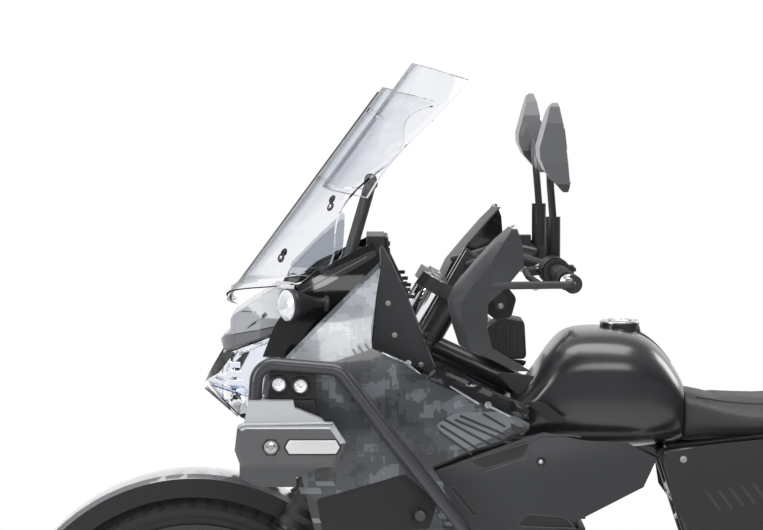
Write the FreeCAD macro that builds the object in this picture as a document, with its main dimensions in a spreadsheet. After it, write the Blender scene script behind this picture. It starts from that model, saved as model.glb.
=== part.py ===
import FreeCAD, Part
import math
import os
import Sketcher
from FreeCAD import Placement, Rotation, Vector

# Adventure motorcycle on its centre stand, millimetres.
# X runs forward, Y to the left and Z up, with the origin on the ground below the middle of the length.

SIZES = {
    # Whole machine
    "overall_length": 2280, "wheelbase": 1540, "rear_lift": 12, "trail": 123, "fork_offset": 45,
    "overrun": 40, "soft_gap": 0.3, "turn_gap": 0.5,
    # Wheels
    "front_tyre_radius": 347.7, "front_tyre_half": 45, "front_bead_radius": 267, "front_bead_half": 25,
    "rear_tyre_radius": 319.9, "rear_tyre_half": 65, "rear_bead_radius": 216, "rear_bead_half": 40,
    "tyre_wall": 9, "tread_deep": 15, "crown_drop": 24, "rim_flange": 9, "rim_wall": 4, "rim_deep": 20,
    "rim_well_half": 12, "spoke_radius": 2, "hub_radius": 24, "hub_flange_radius": 37, "hub_flange_half": 30,
    "hub_flange_wall": 5, "axle_radius": 10, "axle_slack": 0.3, "front_hub_half": 50, "rear_hub_half": 52,
    "carrier_radius": 62, "carrier_wall": 6,
    "disc_wall": 5, "front_disc_radius": 150, "front_disc_bore": 52, "rear_disc_radius": 120,
    "rear_disc_bore": 48, "disc_hole_radius": 5, "disc_hole_circle": 22,
    # Chain drive
    "sprocket_radius": 102.5, "sprocket_wall": 6, "sprocket_bore": 45, "tooth_deep": 8,
    "chain_side": 80, "chain_wide": 14, "chain_tall": 13, "chain_pitch": 15.875, "chain_nip": 2.5, "chain_slack": 1.2,
    "drive_radius": 30, "drive_x": -120, "drive_z": 405,
    # Fork, in lengths along the steering axis from the ground
    "leg_half_track": 100, "leg_radius": 28, "leg_low": 372, "leg_top": 690, "leg_collar": 31, "collar_tall": 20,
    "lug_radius": 24, "stanchion_radius": 20.5, "gaiter_radius": 31, "gaiter_neck": 25, "gaiter_top": 990,
    "low_crown": 1002, "low_crown_wall": 26, "high_crown": 1222, "high_crown_wall": 26,
    "crown_wall": 8, "stem_radius": 14, "stem_slack": 0.4, "head_radius": 30,
    "bar_along": 1300, "bar_radius": 11, "riser_side": 45, "riser_wide": 26, "riser_half": 20,
    "caliper_reach": 44, "caliper_wall": 10, "caliper_gap": 5, "caliper_low": 30, "caliper_tall": 100,
   
    # Handlebar and controls, as steps from the middle of the bar
    "bar_flat": 85, "bar_knee_back": 75, "bar_knee_side": 170, "bar_knee_rise": 24, "bar_back": 143,
    "bar_bend_side": 245, "bar_bend_rise": 6, "bar_end_back": 171, "bar_end_side": 440, "bar_end_drop": 8,
    "bar_bend_radius": 60, "grip_radius": 17, "grip_flange": 25, "grip_flange_wall": 6, "grip_inner_side": 306,
    "bar_cap_long": 14, "switch_radius": 27, "switch_inner": 262, "switch_outer": 300,
    "lever_ahead": 45, "lever_radius": 6, "perch_side": 238, "perch_radius": 18, "perch_wide": 22,
    "lever_tip_side": 425, "lever_drop": 6, "reservoir_long": 60, "reservoir_tall": 30, "reservoir_wide": 34,
    # Handguards
    "guard_wall": 4, "guard_inner_side": 268, "guard_corner_side": 425, "guard_side": 458, "guard_lean": 12,
    "guard_low": 960, "guard_tall": 257, "guard_rear": 159, "guard_long": 157, "guard_arm_radius": 7,
    # Mirrors
    "mirror_rear": 99, "mirror_low": 1282, "mirror_long": 56, "mirror_tall": 161, "mirror_inner": 328,
    "mirror_wide": 157, "boot_radius": 14, "boot_low": 1132, "boot_tall": 96, "boot_x": 118,
    "boot_side": 250, "stem_rod": 7, "stem_knee_z": 1313,
    # Front fender
    "fender_gap": 28, "fender_wall": 4, "fender_half": 66, "fender_skirt": 46, "fender_edge": 10,
    # Main frame
    "downtube_radius": 18, "backbone_radius": 22, "cradle_radius": 14, "cradle_side": 62, "cradle_z": 246,
    "cradle_front": 262, "split_z": 420, "rail_radius": 12, "rail_front_x": -105, "rail_front_side": 82,
    "rail_front_z": 765, "rail_rear_x": -760, "rail_rear_side": 95, "rail_rear_z": 834,
    "plate_inner": 56, "plate_wall": 12, "plate_rear": -322, "plate_low": 227, "plate_long": 227, "plate_tall": 243,
    "pivot_x": -205, "pivot_z": 400, "pivot_radius": 28, "pin_radius": 9,
    "stay_half": 8, "stay_tall": 46, "stay_front": 640, "stay_z": 985, "stay_side": 165, "stay_radius": 9,
    "stay_bar_x": 585, "stay_bar_z": 1012,
    # Engine
    "case_rear": -150, "case_long": 350, "case_low": 262, "case_tall": 238, "case_half": 54, "case_round": 14,
    "cover_radius": 78, "left_cover_side": 112, "right_cover_side": 130, "cover_x": 88, "cover_z": 385,
    "clutch_x": -5, "clutch_z": 400, "clutch_radius": 84, "guard_plate_side": 90, "guard_plate_wall": 8,
    "cover_boss": 7, "cover_step": 4, "pump_x": 166, "pump_z": 450, "pump_radius": 24,
    "barrel_x": 118, "barrel_half": 62, "barrel_base": 492, "barrel_top": 640, "fin_reach": 12, "fin_wall": 4,
    "fin_pitch": 14, "head_half": 74, "head_top": 712, "head_boss": 27, "valve_half": 58, "valve_top": 742,
    # Radiator
    "radiator_x": 348, "radiator_thick": 30, "radiator_half": 138, "radiator_low": 565, "radiator_tall": 205,
    "radiator_tank": 24, "hose_radius": 13,
    # Exhaust
    "pipe_radius": 20, "pipe_bend": 55, "muffler_front": -425, "muffler_long": 430, "muffler_side": 190,
    "muffler_z": 560, "muffler_rise": 118, "muffler_radius": 60, "tip_radius": 20,
    "tip_long": 30,
    # Skid plate
    "skid_wall": 5, "skid_half": 92, "skid_rear": -110, "skid_front": 318, "skid_nose_rise": 150,
    "skid_flange": 50,
    # Tank and seat
    "tank_rear": -142, "tank_long": 412, "tank_low": 776, "tank_tall": 228, "tank_half": 150,
    "cap_radius": 38, "cap_rise": 9, "cap_x": -25,
    "seat_rear": -790, "seat_long": 690, "seat_half": 140, "seat_low": 778, "seat_tall": 162,
    # Body panels
    "panel_wall": 5,
    "shroud_rear": 156, "shroud_low": 560, "shroud_long": 484, "shroud_tall": 579,
    "shroud_side": 235, "shroud_rear_side": 165, "shroud_top_side": 152,
    "knee_rear": -85, "knee_low": 600, "knee_long": 425, "knee_tall": 218, "knee_side": 200, "knee_rear_side": 158,
    "cover_rear": -470, "cover_low": 600, "cover_long": 370, "cover_tall": 215, "cover_side": 160,
    "inner_rear": 325, "inner_low": 920, "inner_long": 127, "inner_tall": 252, "inner_side": 150,
    "cowl_rear": 438, "cowl_low": 958, "cowl_long": 221, "cowl_tall": 192, "cowl_side": 166, "cowl_front_side": 124,
    "strip_rear": 436, "strip_low": 1083, "strip_long": 159, "strip_tall": 90,
    "nose_rear": 600, "nose_low": 962, "nose_long": 143, "nose_tall": 122, "nose_half": 112,
    "lamp_rear": 600, "lamp_low": 842, "lamp_long": 171, "lamp_tall": 166, "lamp_half": 120,
    # Screen
    "screen_wall": 3.5, "screen_base_x": 732, "screen_base_z": 1056, "screen_run": 300, "screen_rise": 408,
    "screen_half": 188, "screen_setback": 130, "screen_edge_drop": 30, "upper_back": 57, "upper_rise": 46,
    "post_radius": 5,
    # Dash and hoop
    "dash_x": 428, "dash_deep": 34, "dash_low": 1108, "dash_tall": 74, "dash_half": 82,
    "hoop_radius": 10, "hoop_side": 112, "hoop_foot_x": 498, "hoop_foot_z": 1130, "hoop_top_x": 454,
    "hoop_top_z": 1282, "hoop_bend": 34,
    # Crash bars, pads and lamps
    "bar_tube": 12.5, "bar_side": 262, "bar_bend": 34,
    "pad_wall": 44, "pad_side": 310, "pad_rear": 502, "pad_low": 766, "pad_long": 205, "pad_tall": 83,
    "pad_top_rear": 540, "pad_top_low": 849, "pad_top_long": 150, "pad_top_tall": 41,
    "pad_foot_rear": 528, "pad_foot_low": 731, "pad_foot_long": 170, "pad_foot_tall": 35, "pad_step": 9,
    "spot_rear": 557, "spot_long": 86, "spot_low": 889, "spot_tall": 60, "spot_inner": 216, "spot_outer": 256,
    "spot_lens": 13, "spot_proud": 6, "spot_front_x": 627, "spot_back_x": 587, "spot_lens_z": 915,
    # Indicators
    "blinker_root_x": 541, "blinker_z": 1060, "blinker_root_side": 158, "blinker_reach": 98, "blinker_radius": 31,
    "blinker_neck": 13, "blinker_plate": 19, "blinker_dome": 24, "rear_blinker_x": -1010, "rear_blinker_z": 770,
    "rear_blinker_side": 48, "rear_blinker_reach": 120,
    # Swingarm and shock
    "arm_inner": 97, "arm_outer": 125, "arm_rear": -800, "arm_low": 300, "arm_long": 628, "arm_tall": 132,
    "arm_root_half": 53.5, "shock_low_x": -318, "shock_low_z": 436, "shock_top_x": -130, "shock_top_z": 690,
    "shock_radius": 17, "spring_radius": 31, "spring_wire": 6, "shock_eye": 14,
    # Pegs, levers and stands
    "peg_x": -132, "peg_z": 318, "peg_inner": 104, "peg_outer": 226, "peg_long": 52, "peg_tall": 18,
    "rear_peg_x": -400, "rear_peg_z": 520, "lever_rod": 6, "shift_x": 25, "brake_x": 40, "pedal_z": 325,
    "pedal_side": 142,
    "stand_x": -300, "stand_z": 266, "stand_tube": 11, "stand_top_side": 28, "stand_foot_x": -286,
    "stand_foot_side": 148, "foot_tall": 8, "foot_half": 30, "foot_wide": 22, "stand_brace_z": 172,
    "side_x": 22, "side_y": 112, "side_z": 268, "side_leg": 262, "side_leg_radius": 10, "side_hub": 16,
    "side_hub_wall": 22, "side_foot_half": 24, "side_foot_wall": 8,
    # Tail
    "tail_rear": -1140, "tail_low": 582, "tail_long": 500, "tail_tall": 286, "tail_half": 92, "tail_tip_half": 78,
    "tail_lamp_x": -1004, "tail_lamp_z": 815, "tail_lamp_tall": 46, "tail_lamp_half": 62,
    "tail_lamp_deep": 22,
    "rack_z": 924, "rack_wall": 8, "rack_front": -735, "rack_rear": -1010, "rack_half": 120, "rack_tube": 9,
    "rack_slot": 14, "rack_hole": 4.5, "rack_hole_long": 180, "rack_hole_wide": 160, "rack_foot_x": -740,
   
}

RAKE = 30
SPLAY = 27.6
SPOKES = 36
SPOKE_LEAN = 62
TEETH = 43
DISC_HOLES = 18

doc = FreeCAD.newDocument("AdventureMotorcycle")
sheet = doc.addObject("Spreadsheet::Sheet", "dims")
for row, (alias, amount) in enumerate(SIZES.items(), start=1):
    sheet.set(f"A{row}", alias)
    sheet.set(f"B{row}", str(amount))
    sheet.setAlias(f"B{row}", alias)
doc.recompute()


class SheetSizes:
    """Reads a size from the sheet by its alias."""

    def __getattr__(self, alias):
        return float(sheet.get(alias))


d = SheetSizes()

# Places that more than one piece shares, as formulas for the sheet and as numbers

FRONT_X = "(dims.overall_length / 2 - dims.front_tyre_radius)"
FRONT_Z = "dims.front_tyre_radius"
REAR_X = "(dims.overall_length / 2 - dims.front_tyre_radius - dims.wheelbase)"
REAR_Z = "(dims.rear_tyre_radius + dims.rear_lift)"
front_x = d.overall_length / 2 - d.front_tyre_radius
front_z = d.front_tyre_radius
rear_x = front_x - d.wheelbase
rear_z = d.rear_tyre_radius + d.rear_lift

# The steering axis meets the ground at the trail ahead of the front axle
steer_foot = Vector(front_x + d.trail, 0, 0)
axis_up = Vector(-math.sin(math.radians(RAKE)), 0, math.cos(math.radians(RAKE)))
axis_ahead = Vector(math.cos(math.radians(RAKE)), 0, math.sin(math.radians(RAKE)))
STEERED = Placement(steer_foot, Rotation(Vector(0, 1, 0), -RAKE))


def steer(ahead, side, along):
    """A point given along, ahead of and beside the steering axis."""
    return steer_foot + axis_up * along + axis_ahead * ahead + Vector(0, side, 0)


axle_from_foot = Vector(front_x, 0, front_z) - steer_foot
axle_along = axle_from_foot.dot(axis_up)
axle_ahead = axle_from_foot.dot(axis_ahead)
bar_centre = steer(0, 0, d.bar_along)


# Helpers for shapes

def keep(name, shape, placement=None):
    """Makes one sub-part from a shape built with Part's functions."""
    feature = doc.addObject("Part::Feature", name)
    feature.Label = name
    feature.Shape = shape
    if placement:
        feature.Placement = placement
    return feature


def fuse(shapes):
    """Joins touching or overlapping shapes into one clean solid."""
    return shapes[0].multiFuse(shapes[1:]).removeSplitter()


def flipped(shape):
    """The same shape on the other side of the machine."""
    return shape.mirror(Vector(0, 0, 0), Vector(0, 1, 0))


def pair(shape):
    """A left piece and its twin on the right."""
    return Part.makeCompound([shape, flipped(shape)])


def rod(start, end, radius):
    """A round bar between two points."""
    return Part.makeCylinder(radius, (end - start).Length, start, end - start)


def block(low, high):
    """A box between two corners."""
    step = high - low
    return Part.makeBox(step.x, step.y, step.z, low)


def path(points, bend):
    """Straight runs joined by tangent arcs, each no larger than its runs allow."""
    edges = []
    last = points[0]
    for before, corner, after in zip(points, points[1:], points[2:]):
        back = (before - corner).normalize()
        on = (after - corner).normalize()
        half = back.getAngle(on) / 2
        room = 0.45 * min((before - corner).Length, (after - corner).Length)
        radius = min(bend, room * math.tan(half))
        reach = radius / math.tan(half)
        start = corner + back * reach
        end = corner + on * reach
        middle = corner + (back + on).normalize() * (radius / math.sin(half) - radius)
        edges.append(Part.LineSegment(last, start).toShape())
        edges.append(Part.Arc(start, middle, end).toShape())
        last = end
    edges.append(Part.LineSegment(last, points[-1]).toShape())
    return Part.Wire(edges)


def tube(points, radius, bend):
    """A bent round bar along a path."""
    spine = path(points, bend)
    ring = Part.Wire([Part.makeCircle(radius, points[0], points[1] - points[0])])
    return spine.makePipeShell([ring], True, False)


def side_points(rear, low, length, height, shares):
    """An outline seen from the side, from shares of its own length and height."""
    return [(rear + length * along, low + height * up) for along, up in shares]


def side_prism(points, inner, outer):
    """A side outline as thick as from inner to outer."""
    wire = Part.makePolygon([Vector(x, inner, z) for x, z in points + points[:1]])
    return Part.Face(wire).extrude(Vector(0, outer - inner, 0))


def plan_prism(points, low, high):
    """An outline seen from above, from low to high."""
    wire = Part.makePolygon([Vector(x, y, low) for x, y in points + points[:1]])
    return Part.Face(wire).extrude(Vector(0, 0, high - low))


def front_prism(points, rear, front):
    """An outline seen from the front, from rear to front."""
    wire = Part.makePolygon([Vector(rear, y, z) for y, z in points + points[:1]])
    return Part.Face(wire).extrude(Vector(front - rear, 0, 0))


def panel(outline, rows, wall):
    """A curved panel: rows of points give its outer face, and the outline its edge from the side."""
    skin = Part.BSplineSurface()
    skin.interpolate(rows)
    slab = skin.toShape().extrude(Vector(0, -wall, 0))
    cutter = side_prism(outline, 0, d.overall_length / 2)
    return slab.common(cutter).Solids[0]


def rounded_ring(x, half, low, high, square):
    """A closed smooth section across the machine, squarer as the power square grows."""
    points = []
    for step in range(RING_POINTS):
        turn = 2 * math.pi * (step + 0.5) / RING_POINTS
        across = math.copysign(abs(math.cos(turn)) ** (2 / square), math.cos(turn))
        upward = math.copysign(abs(math.sin(turn)) ** (2 / square), math.sin(turn))
        points.append(Vector(x, half * across, (low + high) / 2 + (high - low) / 2 * upward))
    curve = Part.BSplineCurve()
    curve.interpolate(points, PeriodicFlag=True)
    return Part.Wire([curve.toShape()])


RING_POINTS = 20


def ribbed(bore, neck, ridge, length, ribs):
    """A turned sleeve with pointed ribs, standing on the origin."""
    pitch = length / ribs
    profile = [Vector(bore, 0, 0)]
    for index in range(ribs):
        profile.append(Vector(neck, 0, pitch * index))
        profile.append(Vector(ridge, 0, pitch * (index + 0.5)))
    profile.append(Vector(neck, 0, length))
    profile.append(Vector(bore, 0, length))
    return Part.Face(Part.makePolygon(profile + profile[:1])).revolve(Vector(0, 0, 0), Vector(0, 0, 1), 360)


def loft(rings):
    """A closed solid through sections."""
    return Part.makeLoft(rings, True)


def turned(name, points, x=None, z=None):
    """A body turned about its own Y axis, from radius and side formulas bound to the sheet."""
    body = doc.addObject("PartDesign::Body", name)
    body.Label = name
    plane = [each for each in body.Origin.OriginFeatures if each.Role == "XY_Plane"][0]
    sketch = body.newObject("Sketcher::SketchObject", name + "_section")
    sketch.AttachmentSupport = [(plane, "")]
    sketch.MapMode = "FlatFace"
    draw_outline(sketch, points)
    turn = body.newObject("PartDesign::Revolution", name + "_turn")
    turn.Profile = sketch
    turn.ReferenceAxis = (sketch, ["V_Axis"])
    turn.Angle = 360
    if x:
        body.setExpression("Placement.Base.x", x)
        body.setExpression("Placement.Base.z", z)
    doc.recompute()
    return body


def draw_outline(sketch, points):
    """Draws a closed outline whose corners are bound to formulas."""
    places = [Vector(sketch.evalExpression(across), sketch.evalExpression(up), 0) for across, up in points]
    count = len(points)
    for index, place in enumerate(places):
        sketch.addGeometry(Part.LineSegment(place, places[(index + 1) % count]), False)
    for index in range(count):
        sketch.addConstraint(Sketcher.Constraint("Coincident", index, 2, (index + 1) % count, 1))
    for index, (point, place) in enumerate(zip(points, places)):
        for kind, formula, amount, axis in zip(("DistanceX", "DistanceY"), point, place, (-2, -1)):
            if formula == "0":
                sketch.addConstraint(Sketcher.Constraint("PointOnObject", index, 1, axis))
                continue
            bound = sketch.addConstraint(Sketcher.Constraint(kind, -1, 1, index, 1, amount))
            sketch.setExpression(f"Constraints[{bound}]", formula)


def both_sides(half_outline):
    """Closes an outline given for the left side with its image on the right."""
    return half_outline + [(across, f"-({up})") for across, up in reversed(half_outline) if up != "0"]


# Wheels, the same builder for front and rear

CROWN_SHARE = 0.62
TYRE_SIDES = 72


def faceted_ring(profile, sides):
    """A closed profile of radius and side, carried round the Y axis in flat facets, with a corner lowest."""
    rings = []
    for step in range(sides):
        turn = 2 * math.pi * step / sides - math.pi / 2
        rings.append([Vector(radius * math.cos(turn), side, radius * math.sin(turn)) for radius, side in profile])
    faces = []
    for ring, after in zip(rings, rings[1:] + rings[:1]):
        for index in range(len(profile)):
            onward = (index + 1) % len(profile)
            corners = [ring[index], ring[onward], after[onward], after[index], ring[index]]
            faces.append(Part.Face(Part.makePolygon(corners)))
    shell = Part.makeShell(faces)
    shell.sewShape()
    solid = Part.makeSolid(shell)
    if solid.Volume < 0:
        solid.reverse()
    return solid


def tyre(end, x, z):
    """A hollow tyre whose open inner side the rim closes."""
    radius = getattr(d, f"{end}_tyre_radius")
    half = getattr(d, f"{end}_tyre_half")
    bead = getattr(d, f"{end}_bead_radius")
    seat = getattr(d, f"{end}_bead_half")
    shoulder = radius - d.crown_drop * CROWN_SHARE ** 2
    # The flats of the rings that meet the round rim touch it
    flat_share = math.cos(math.pi / TYRE_SIDES)
    outside = [
        (bead / flat_share, seat),
        ((bead + d.rim_flange) / flat_share, seat),
        ((bead + radius) / 2, half),
        (shoulder, half * CROWN_SHARE),
        (radius, 0),
    ]
    inside = [
        (shoulder - d.tread_deep, half * CROWN_SHARE),
        (bead + d.rim_flange, seat - d.tyre_wall),
    ]
    left = outside + [(across, -side) for across, side in reversed(outside) if side]
    right = [(across, -side) for across, side in reversed(inside)] + inside
    return keep(f"{end}_tyre", faceted_ring(left + right, TYRE_SIDES), Placement(Vector(x, 0, z), Rotation()))


def rim_and_hub(end):
    """Rim, hub and laced spokes in one piece, turned about the origin."""
    bead = f"dims.{end}_bead_radius"
    seat = f"dims.{end}_bead_half"
    rim = turned(f"{end}_rim_form", both_sides([
        (bead, seat),
        (f"{bead} + dims.rim_flange", seat),
        (f"{bead} + dims.rim_flange", f"{seat} + dims.rim_wall"),
        (f"{bead} - dims.rim_wall", f"{seat} + dims.rim_wall"),
        (f"{bead} - dims.rim_deep", "dims.rim_well_half"),
    ]))
    flange_in = "dims.hub_flange_half - dims.hub_flange_wall"
    end_half = f"dims.{end}_hub_half"
    hub = turned(f"{end}_hub_form", both_sides([
        ("dims.axle_radius + dims.axle_slack", end_half),
        ("dims.hub_radius", end_half),
        ("dims.hub_radius", "dims.hub_flange_half"),
        ("dims.hub_flange_radius", "dims.hub_flange_half"),
        ("dims.hub_flange_radius", flange_in),
        ("dims.hub_radius", flange_in),
    ]))
    bead_radius = sketch_number(bead)
    lace_radius = d.hub_flange_radius - d.hub_flange_wall
    nipple_radius = bead_radius - d.rim_deep + d.rim_wall
    spokes = []
    for index in range(SPOKES):
        side = 1 if index % 2 else -1
        lean = SPOKE_LEAN if index % 4 < 2 else -SPOKE_LEAN
        out = math.radians(360 / SPOKES * index)
        root = out + math.radians(lean)
        start = Vector(lace_radius * math.cos(root), side * (d.hub_flange_half - d.hub_flange_wall / 2),
                       lace_radius * math.sin(root))
        finish = Vector(nipple_radius * math.cos(out), side * d.rim_well_half / 2, nipple_radius * math.sin(out))
        spokes.append(rod(start, finish, d.spoke_radius))
    shapes = [rim.Shape, hub.Shape] + spokes
    return fuse(shapes)


def sketch_number(formula):
    """The value of a sheet formula."""
    return sheet_reader.evalExpression(formula)


sheet_reader = doc.addObject("Part::Box", "size_reader")


def carrier(side_from, side_to, radius):
    """A round flange on a hub that carries a disc or a sprocket."""
    ring = Part.makeCylinder(radius, abs(side_to - side_from), Vector(0, min(side_from, side_to), 0), Vector(0, 1, 0))
    bore = Part.makeCylinder(d.axle_radius + d.axle_slack, d.overall_length, Vector(0, -d.overall_length / 2, 0),
                             Vector(0, 1, 0))
    return ring.cut(bore)


def drilled_disc(name, radius, bore, side, x, z):
    """A brake disc as a padded ring with a circle of holes, patterned about its axis."""
    body = doc.addObject("PartDesign::Body", name)
    body.Label = name
    plane = [each for each in body.Origin.OriginFeatures if each.Role == "XZ_Plane"][0]
    ring = body.newObject("Sketcher::SketchObject", name + "_ring")
    ring.AttachmentSupport = [(plane, "")]
    ring.MapMode = "FlatFace"
    for formula in (radius, bore):
        circle = ring.addGeometry(Part.Circle(Vector(0, 0, 0), Vector(0, 0, 1), sketch_number(formula)), False)
        ring.addConstraint(Sketcher.Constraint("Coincident", circle, 3, -1, 1))
        bound = ring.addConstraint(Sketcher.Constraint("Radius", circle, sketch_number(formula)))
        ring.setExpression(f"Constraints[{bound}]", formula)
    pad = body.newObject("PartDesign::Pad", name + "_pad")
    pad.Profile = ring
    pad.Midplane = True
    pad.setExpression("Length", "dims.disc_wall")
    doc.recompute()
    hole = body.newObject("Sketcher::SketchObject", name + "_hole")
    hole.AttachmentSupport = [(plane, "")]
    hole.MapMode = "FlatFace"
    place = f"{radius} - dims.disc_hole_circle"
    centre = Vector(sketch_number(place), 0, 0)
    hole.addGeometry(Part.Circle(centre, Vector(0, 0, 1), d.disc_hole_radius), False)
    hole.addConstraint(Sketcher.Constraint("PointOnObject", 0, 3, -1))
    bound = hole.addConstraint(Sketcher.Constraint("DistanceX", -1, 1, 0, 3, centre.x))
    hole.setExpression(f"Constraints[{bound}]", place)
    bound = hole.addConstraint(Sketcher.Constraint("Radius", 0, d.disc_hole_radius))
    hole.setExpression(f"Constraints[{bound}]", "dims.disc_hole_radius")
    pocket = body.newObject("PartDesign::Pocket", name + "_pocket")
    pocket.Profile = hole
    pocket.Type = 1
    pocket.Midplane = True
    doc.recompute()
    ring_of_holes = body.newObject("PartDesign::PolarPattern", name + "_holes")
    ring_of_holes.Originals = [pocket]
    axis = [each for each in body.Origin.OriginFeatures if each.Role == "Y_Axis"][0]
    ring_of_holes.Axis = (axis, [""])
    ring_of_holes.Angle = 360
    ring_of_holes.Occurrences = DISC_HOLES
    body.Tip = ring_of_holes
    body.setExpression("Placement.Base.x", x)
    body.setExpression("Placement.Base.y", side)
    body.setExpression("Placement.Base.z", z)
    doc.recompute()
    return body


def toothed_ring(radius, bore, deep, wall, teeth):
    """A sprocket: straight sided teeth round a ring, centred on the origin."""
    points = []
    for tooth in range(teeth):
        for share, reach in ((-0.3, 0), (-0.14, 1), (0.14, 1), (0.3, 0)):
            turn = 2 * math.pi * (tooth + share) / teeth
            at = radius - deep * (1 - reach)
            points.append((at * math.cos(turn), at * math.sin(turn)))
    ring = side_prism(points, -wall / 2, wall / 2)
    hole = Part.makeCylinder(bore, wall * 2, Vector(0, -wall, 0), Vector(0, 1, 0))
    return ring.cut(hole)


front_tyre = tyre("front", front_x, front_z)
rear_tyre = tyre("rear", rear_x, rear_z)

front_hub_end = d.front_hub_half
front_wheel = keep("front_wheel", fuse([
    rim_and_hub("front"),
    carrier(front_hub_end - d.carrier_wall, front_hub_end, d.carrier_radius),
]), Placement(Vector(front_x, 0, front_z), Rotation()))
front_disc = drilled_disc("front_disc", "dims.front_disc_radius", "dims.front_disc_bore",
                          "dims.front_hub_half + dims.disc_wall / 2", FRONT_X, FRONT_Z)

rear_hub_end = d.rear_hub_half
sprocket_face = d.chain_side - d.sprocket_wall / 2
rear_wheel = keep("rear_wheel", fuse([
    rim_and_hub("rear"),
    carrier(rear_hub_end - d.carrier_wall, sprocket_face, d.carrier_radius),
    carrier(-rear_hub_end, d.carrier_wall - rear_hub_end, d.carrier_radius),
]), Placement(Vector(rear_x, 0, rear_z), Rotation()))
rear_disc = drilled_disc("rear_disc", "dims.rear_disc_radius", "dims.rear_disc_bore",
                         "-(dims.rear_hub_half + dims.disc_wall / 2)", REAR_X, REAR_Z)
rear_sprocket = keep("rear_sprocket", toothed_ring(d.sprocket_radius, d.sprocket_bore, d.tooth_deep,
                                                   d.sprocket_wall, TEETH),
                     Placement(Vector(rear_x, d.chain_side, rear_z), Rotation()))


# Axles: a bar through the hub, with a spacer at each end

def axle(name, half, spacer_from, spacer_to, x, z):
    body = turned(name, [
        ("0", f"-({half})"),
        ("dims.axle_radius", f"-({half})"),
        ("dims.axle_radius", f"-({spacer_to})"),
        ("dims.hub_radius - dims.rim_wall", f"-({spacer_to})"),
        ("dims.hub_radius - dims.rim_wall", f"-({spacer_from})"),
        ("dims.axle_radius", f"-({spacer_from})"),
        ("dims.axle_radius", spacer_from),
        ("dims.hub_radius - dims.rim_wall", spacer_from),
        ("dims.hub_radius - dims.rim_wall", spacer_to),
        ("dims.axle_radius", spacer_to),
        ("dims.axle_radius", half),
        ("0", half),
    ], x, z)
    return body


front_axle = axle("front_axle", "dims.leg_half_track + dims.leg_radius + dims.rim_wall",
                  "dims.front_hub_half + dims.disc_wall + dims.turn_gap", "dims.leg_half_track - dims.leg_radius",
                  FRONT_X, FRONT_Z)
rear_axle = axle("rear_axle", "dims.arm_outer + dims.rim_deep",
                 "dims.chain_side + dims.sprocket_wall / 2 + dims.turn_gap", "dims.arm_inner", REAR_X, REAR_Z)

# Chain: a closed loop round both sprockets


def chain_loop(front_radius, rear_radius, inner, outer):
    """The hull of two circles, the driving sprocket's and the rear one's."""
    front = Vector(d.drive_x, 0, d.drive_z)
    rear = Vector(rear_x, 0, rear_z)
    gap = rear - front
    lean = math.atan2(gap.z, gap.x)
    open_angle = math.acos((front_radius - rear_radius) / gap.Length)
    ends = []
    for side in (1, -1):
        turn = lean + side * open_angle
        normal = Vector(math.cos(turn), 0, math.sin(turn))
        ends.append((front + normal * front_radius, rear + normal * rear_radius))
    away = gap.normalize()
    wire = Part.Wire([
        Part.Arc(ends[0][0], front - away * front_radius, ends[1][0]).toShape(),
        Part.LineSegment(ends[1][0], ends[1][1]).toShape(),
        Part.Arc(ends[1][1], rear + away * rear_radius, ends[0][1]).toShape(),
        Part.LineSegment(ends[0][1], ends[0][0]).toShape(),
    ])
    return Part.Face(wire).extrude(Vector(0, outer - inner, 0)).translated(Vector(0, inner, 0))


chain_inner = d.chain_side - d.chain_wide / 2
chain_outer = d.chain_side + d.chain_wide / 2
chain_rear_radius = d.sprocket_radius + d.chain_slack
chain_band = chain_loop(d.drive_radius + d.chain_tall, chain_rear_radius + d.chain_tall, chain_inner, chain_outer)
chain_band = chain_band.cut(chain_loop(d.drive_radius, chain_rear_radius, chain_inner - d.overrun,
                                       chain_outer + d.overrun))


def link_outline(band_edge, depth):
    """One edge of the chain as a closed line, nipped in between the links."""
    steps = 2 * int(band_edge.Length / d.chain_pitch)
    points = band_edge.discretize(steps + 1)[:-1]
    centre = Vector((d.drive_x + rear_x) / 2, points[0].y, (d.drive_z + rear_z) / 2)
    outline = []
    for index, point in enumerate(points):
        along = points[(index + 1) % steps] - points[index - 1]
        across = Vector(along.z, 0, -along.x).normalize()
        if across.dot(point - centre) < 0:
            across = -across
        outline.append(point + across * (depth if index % 2 else 0))
    return Part.Face(Part.makePolygon(outline + outline[:1]))


def band_wire(grow):
    """The chain's edge on the inner side of the band, grown outwards."""
    loop = chain_loop(d.drive_radius + grow, chain_rear_radius + grow, chain_inner, chain_outer)
    side = min(loop.Faces, key=lambda face: face.BoundBox.YMax)
    return side.OuterWire


links = link_outline(band_wire(d.chain_tall), -d.chain_nip).cut(link_outline(band_wire(0), d.chain_nip))
chain = keep("chain", links.extrude(Vector(0, d.chain_wide, 0)))

# Engine: crankcase with its round covers, the drive boss for the chain, and the upright barrel


def upright(points, radius, side_from, side_to):
    """A round cover on the side of the case."""
    x, z = points
    return Part.makeCylinder(radius, side_to - side_from, Vector(x, side_from, z), Vector(0, 1, 0))


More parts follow.
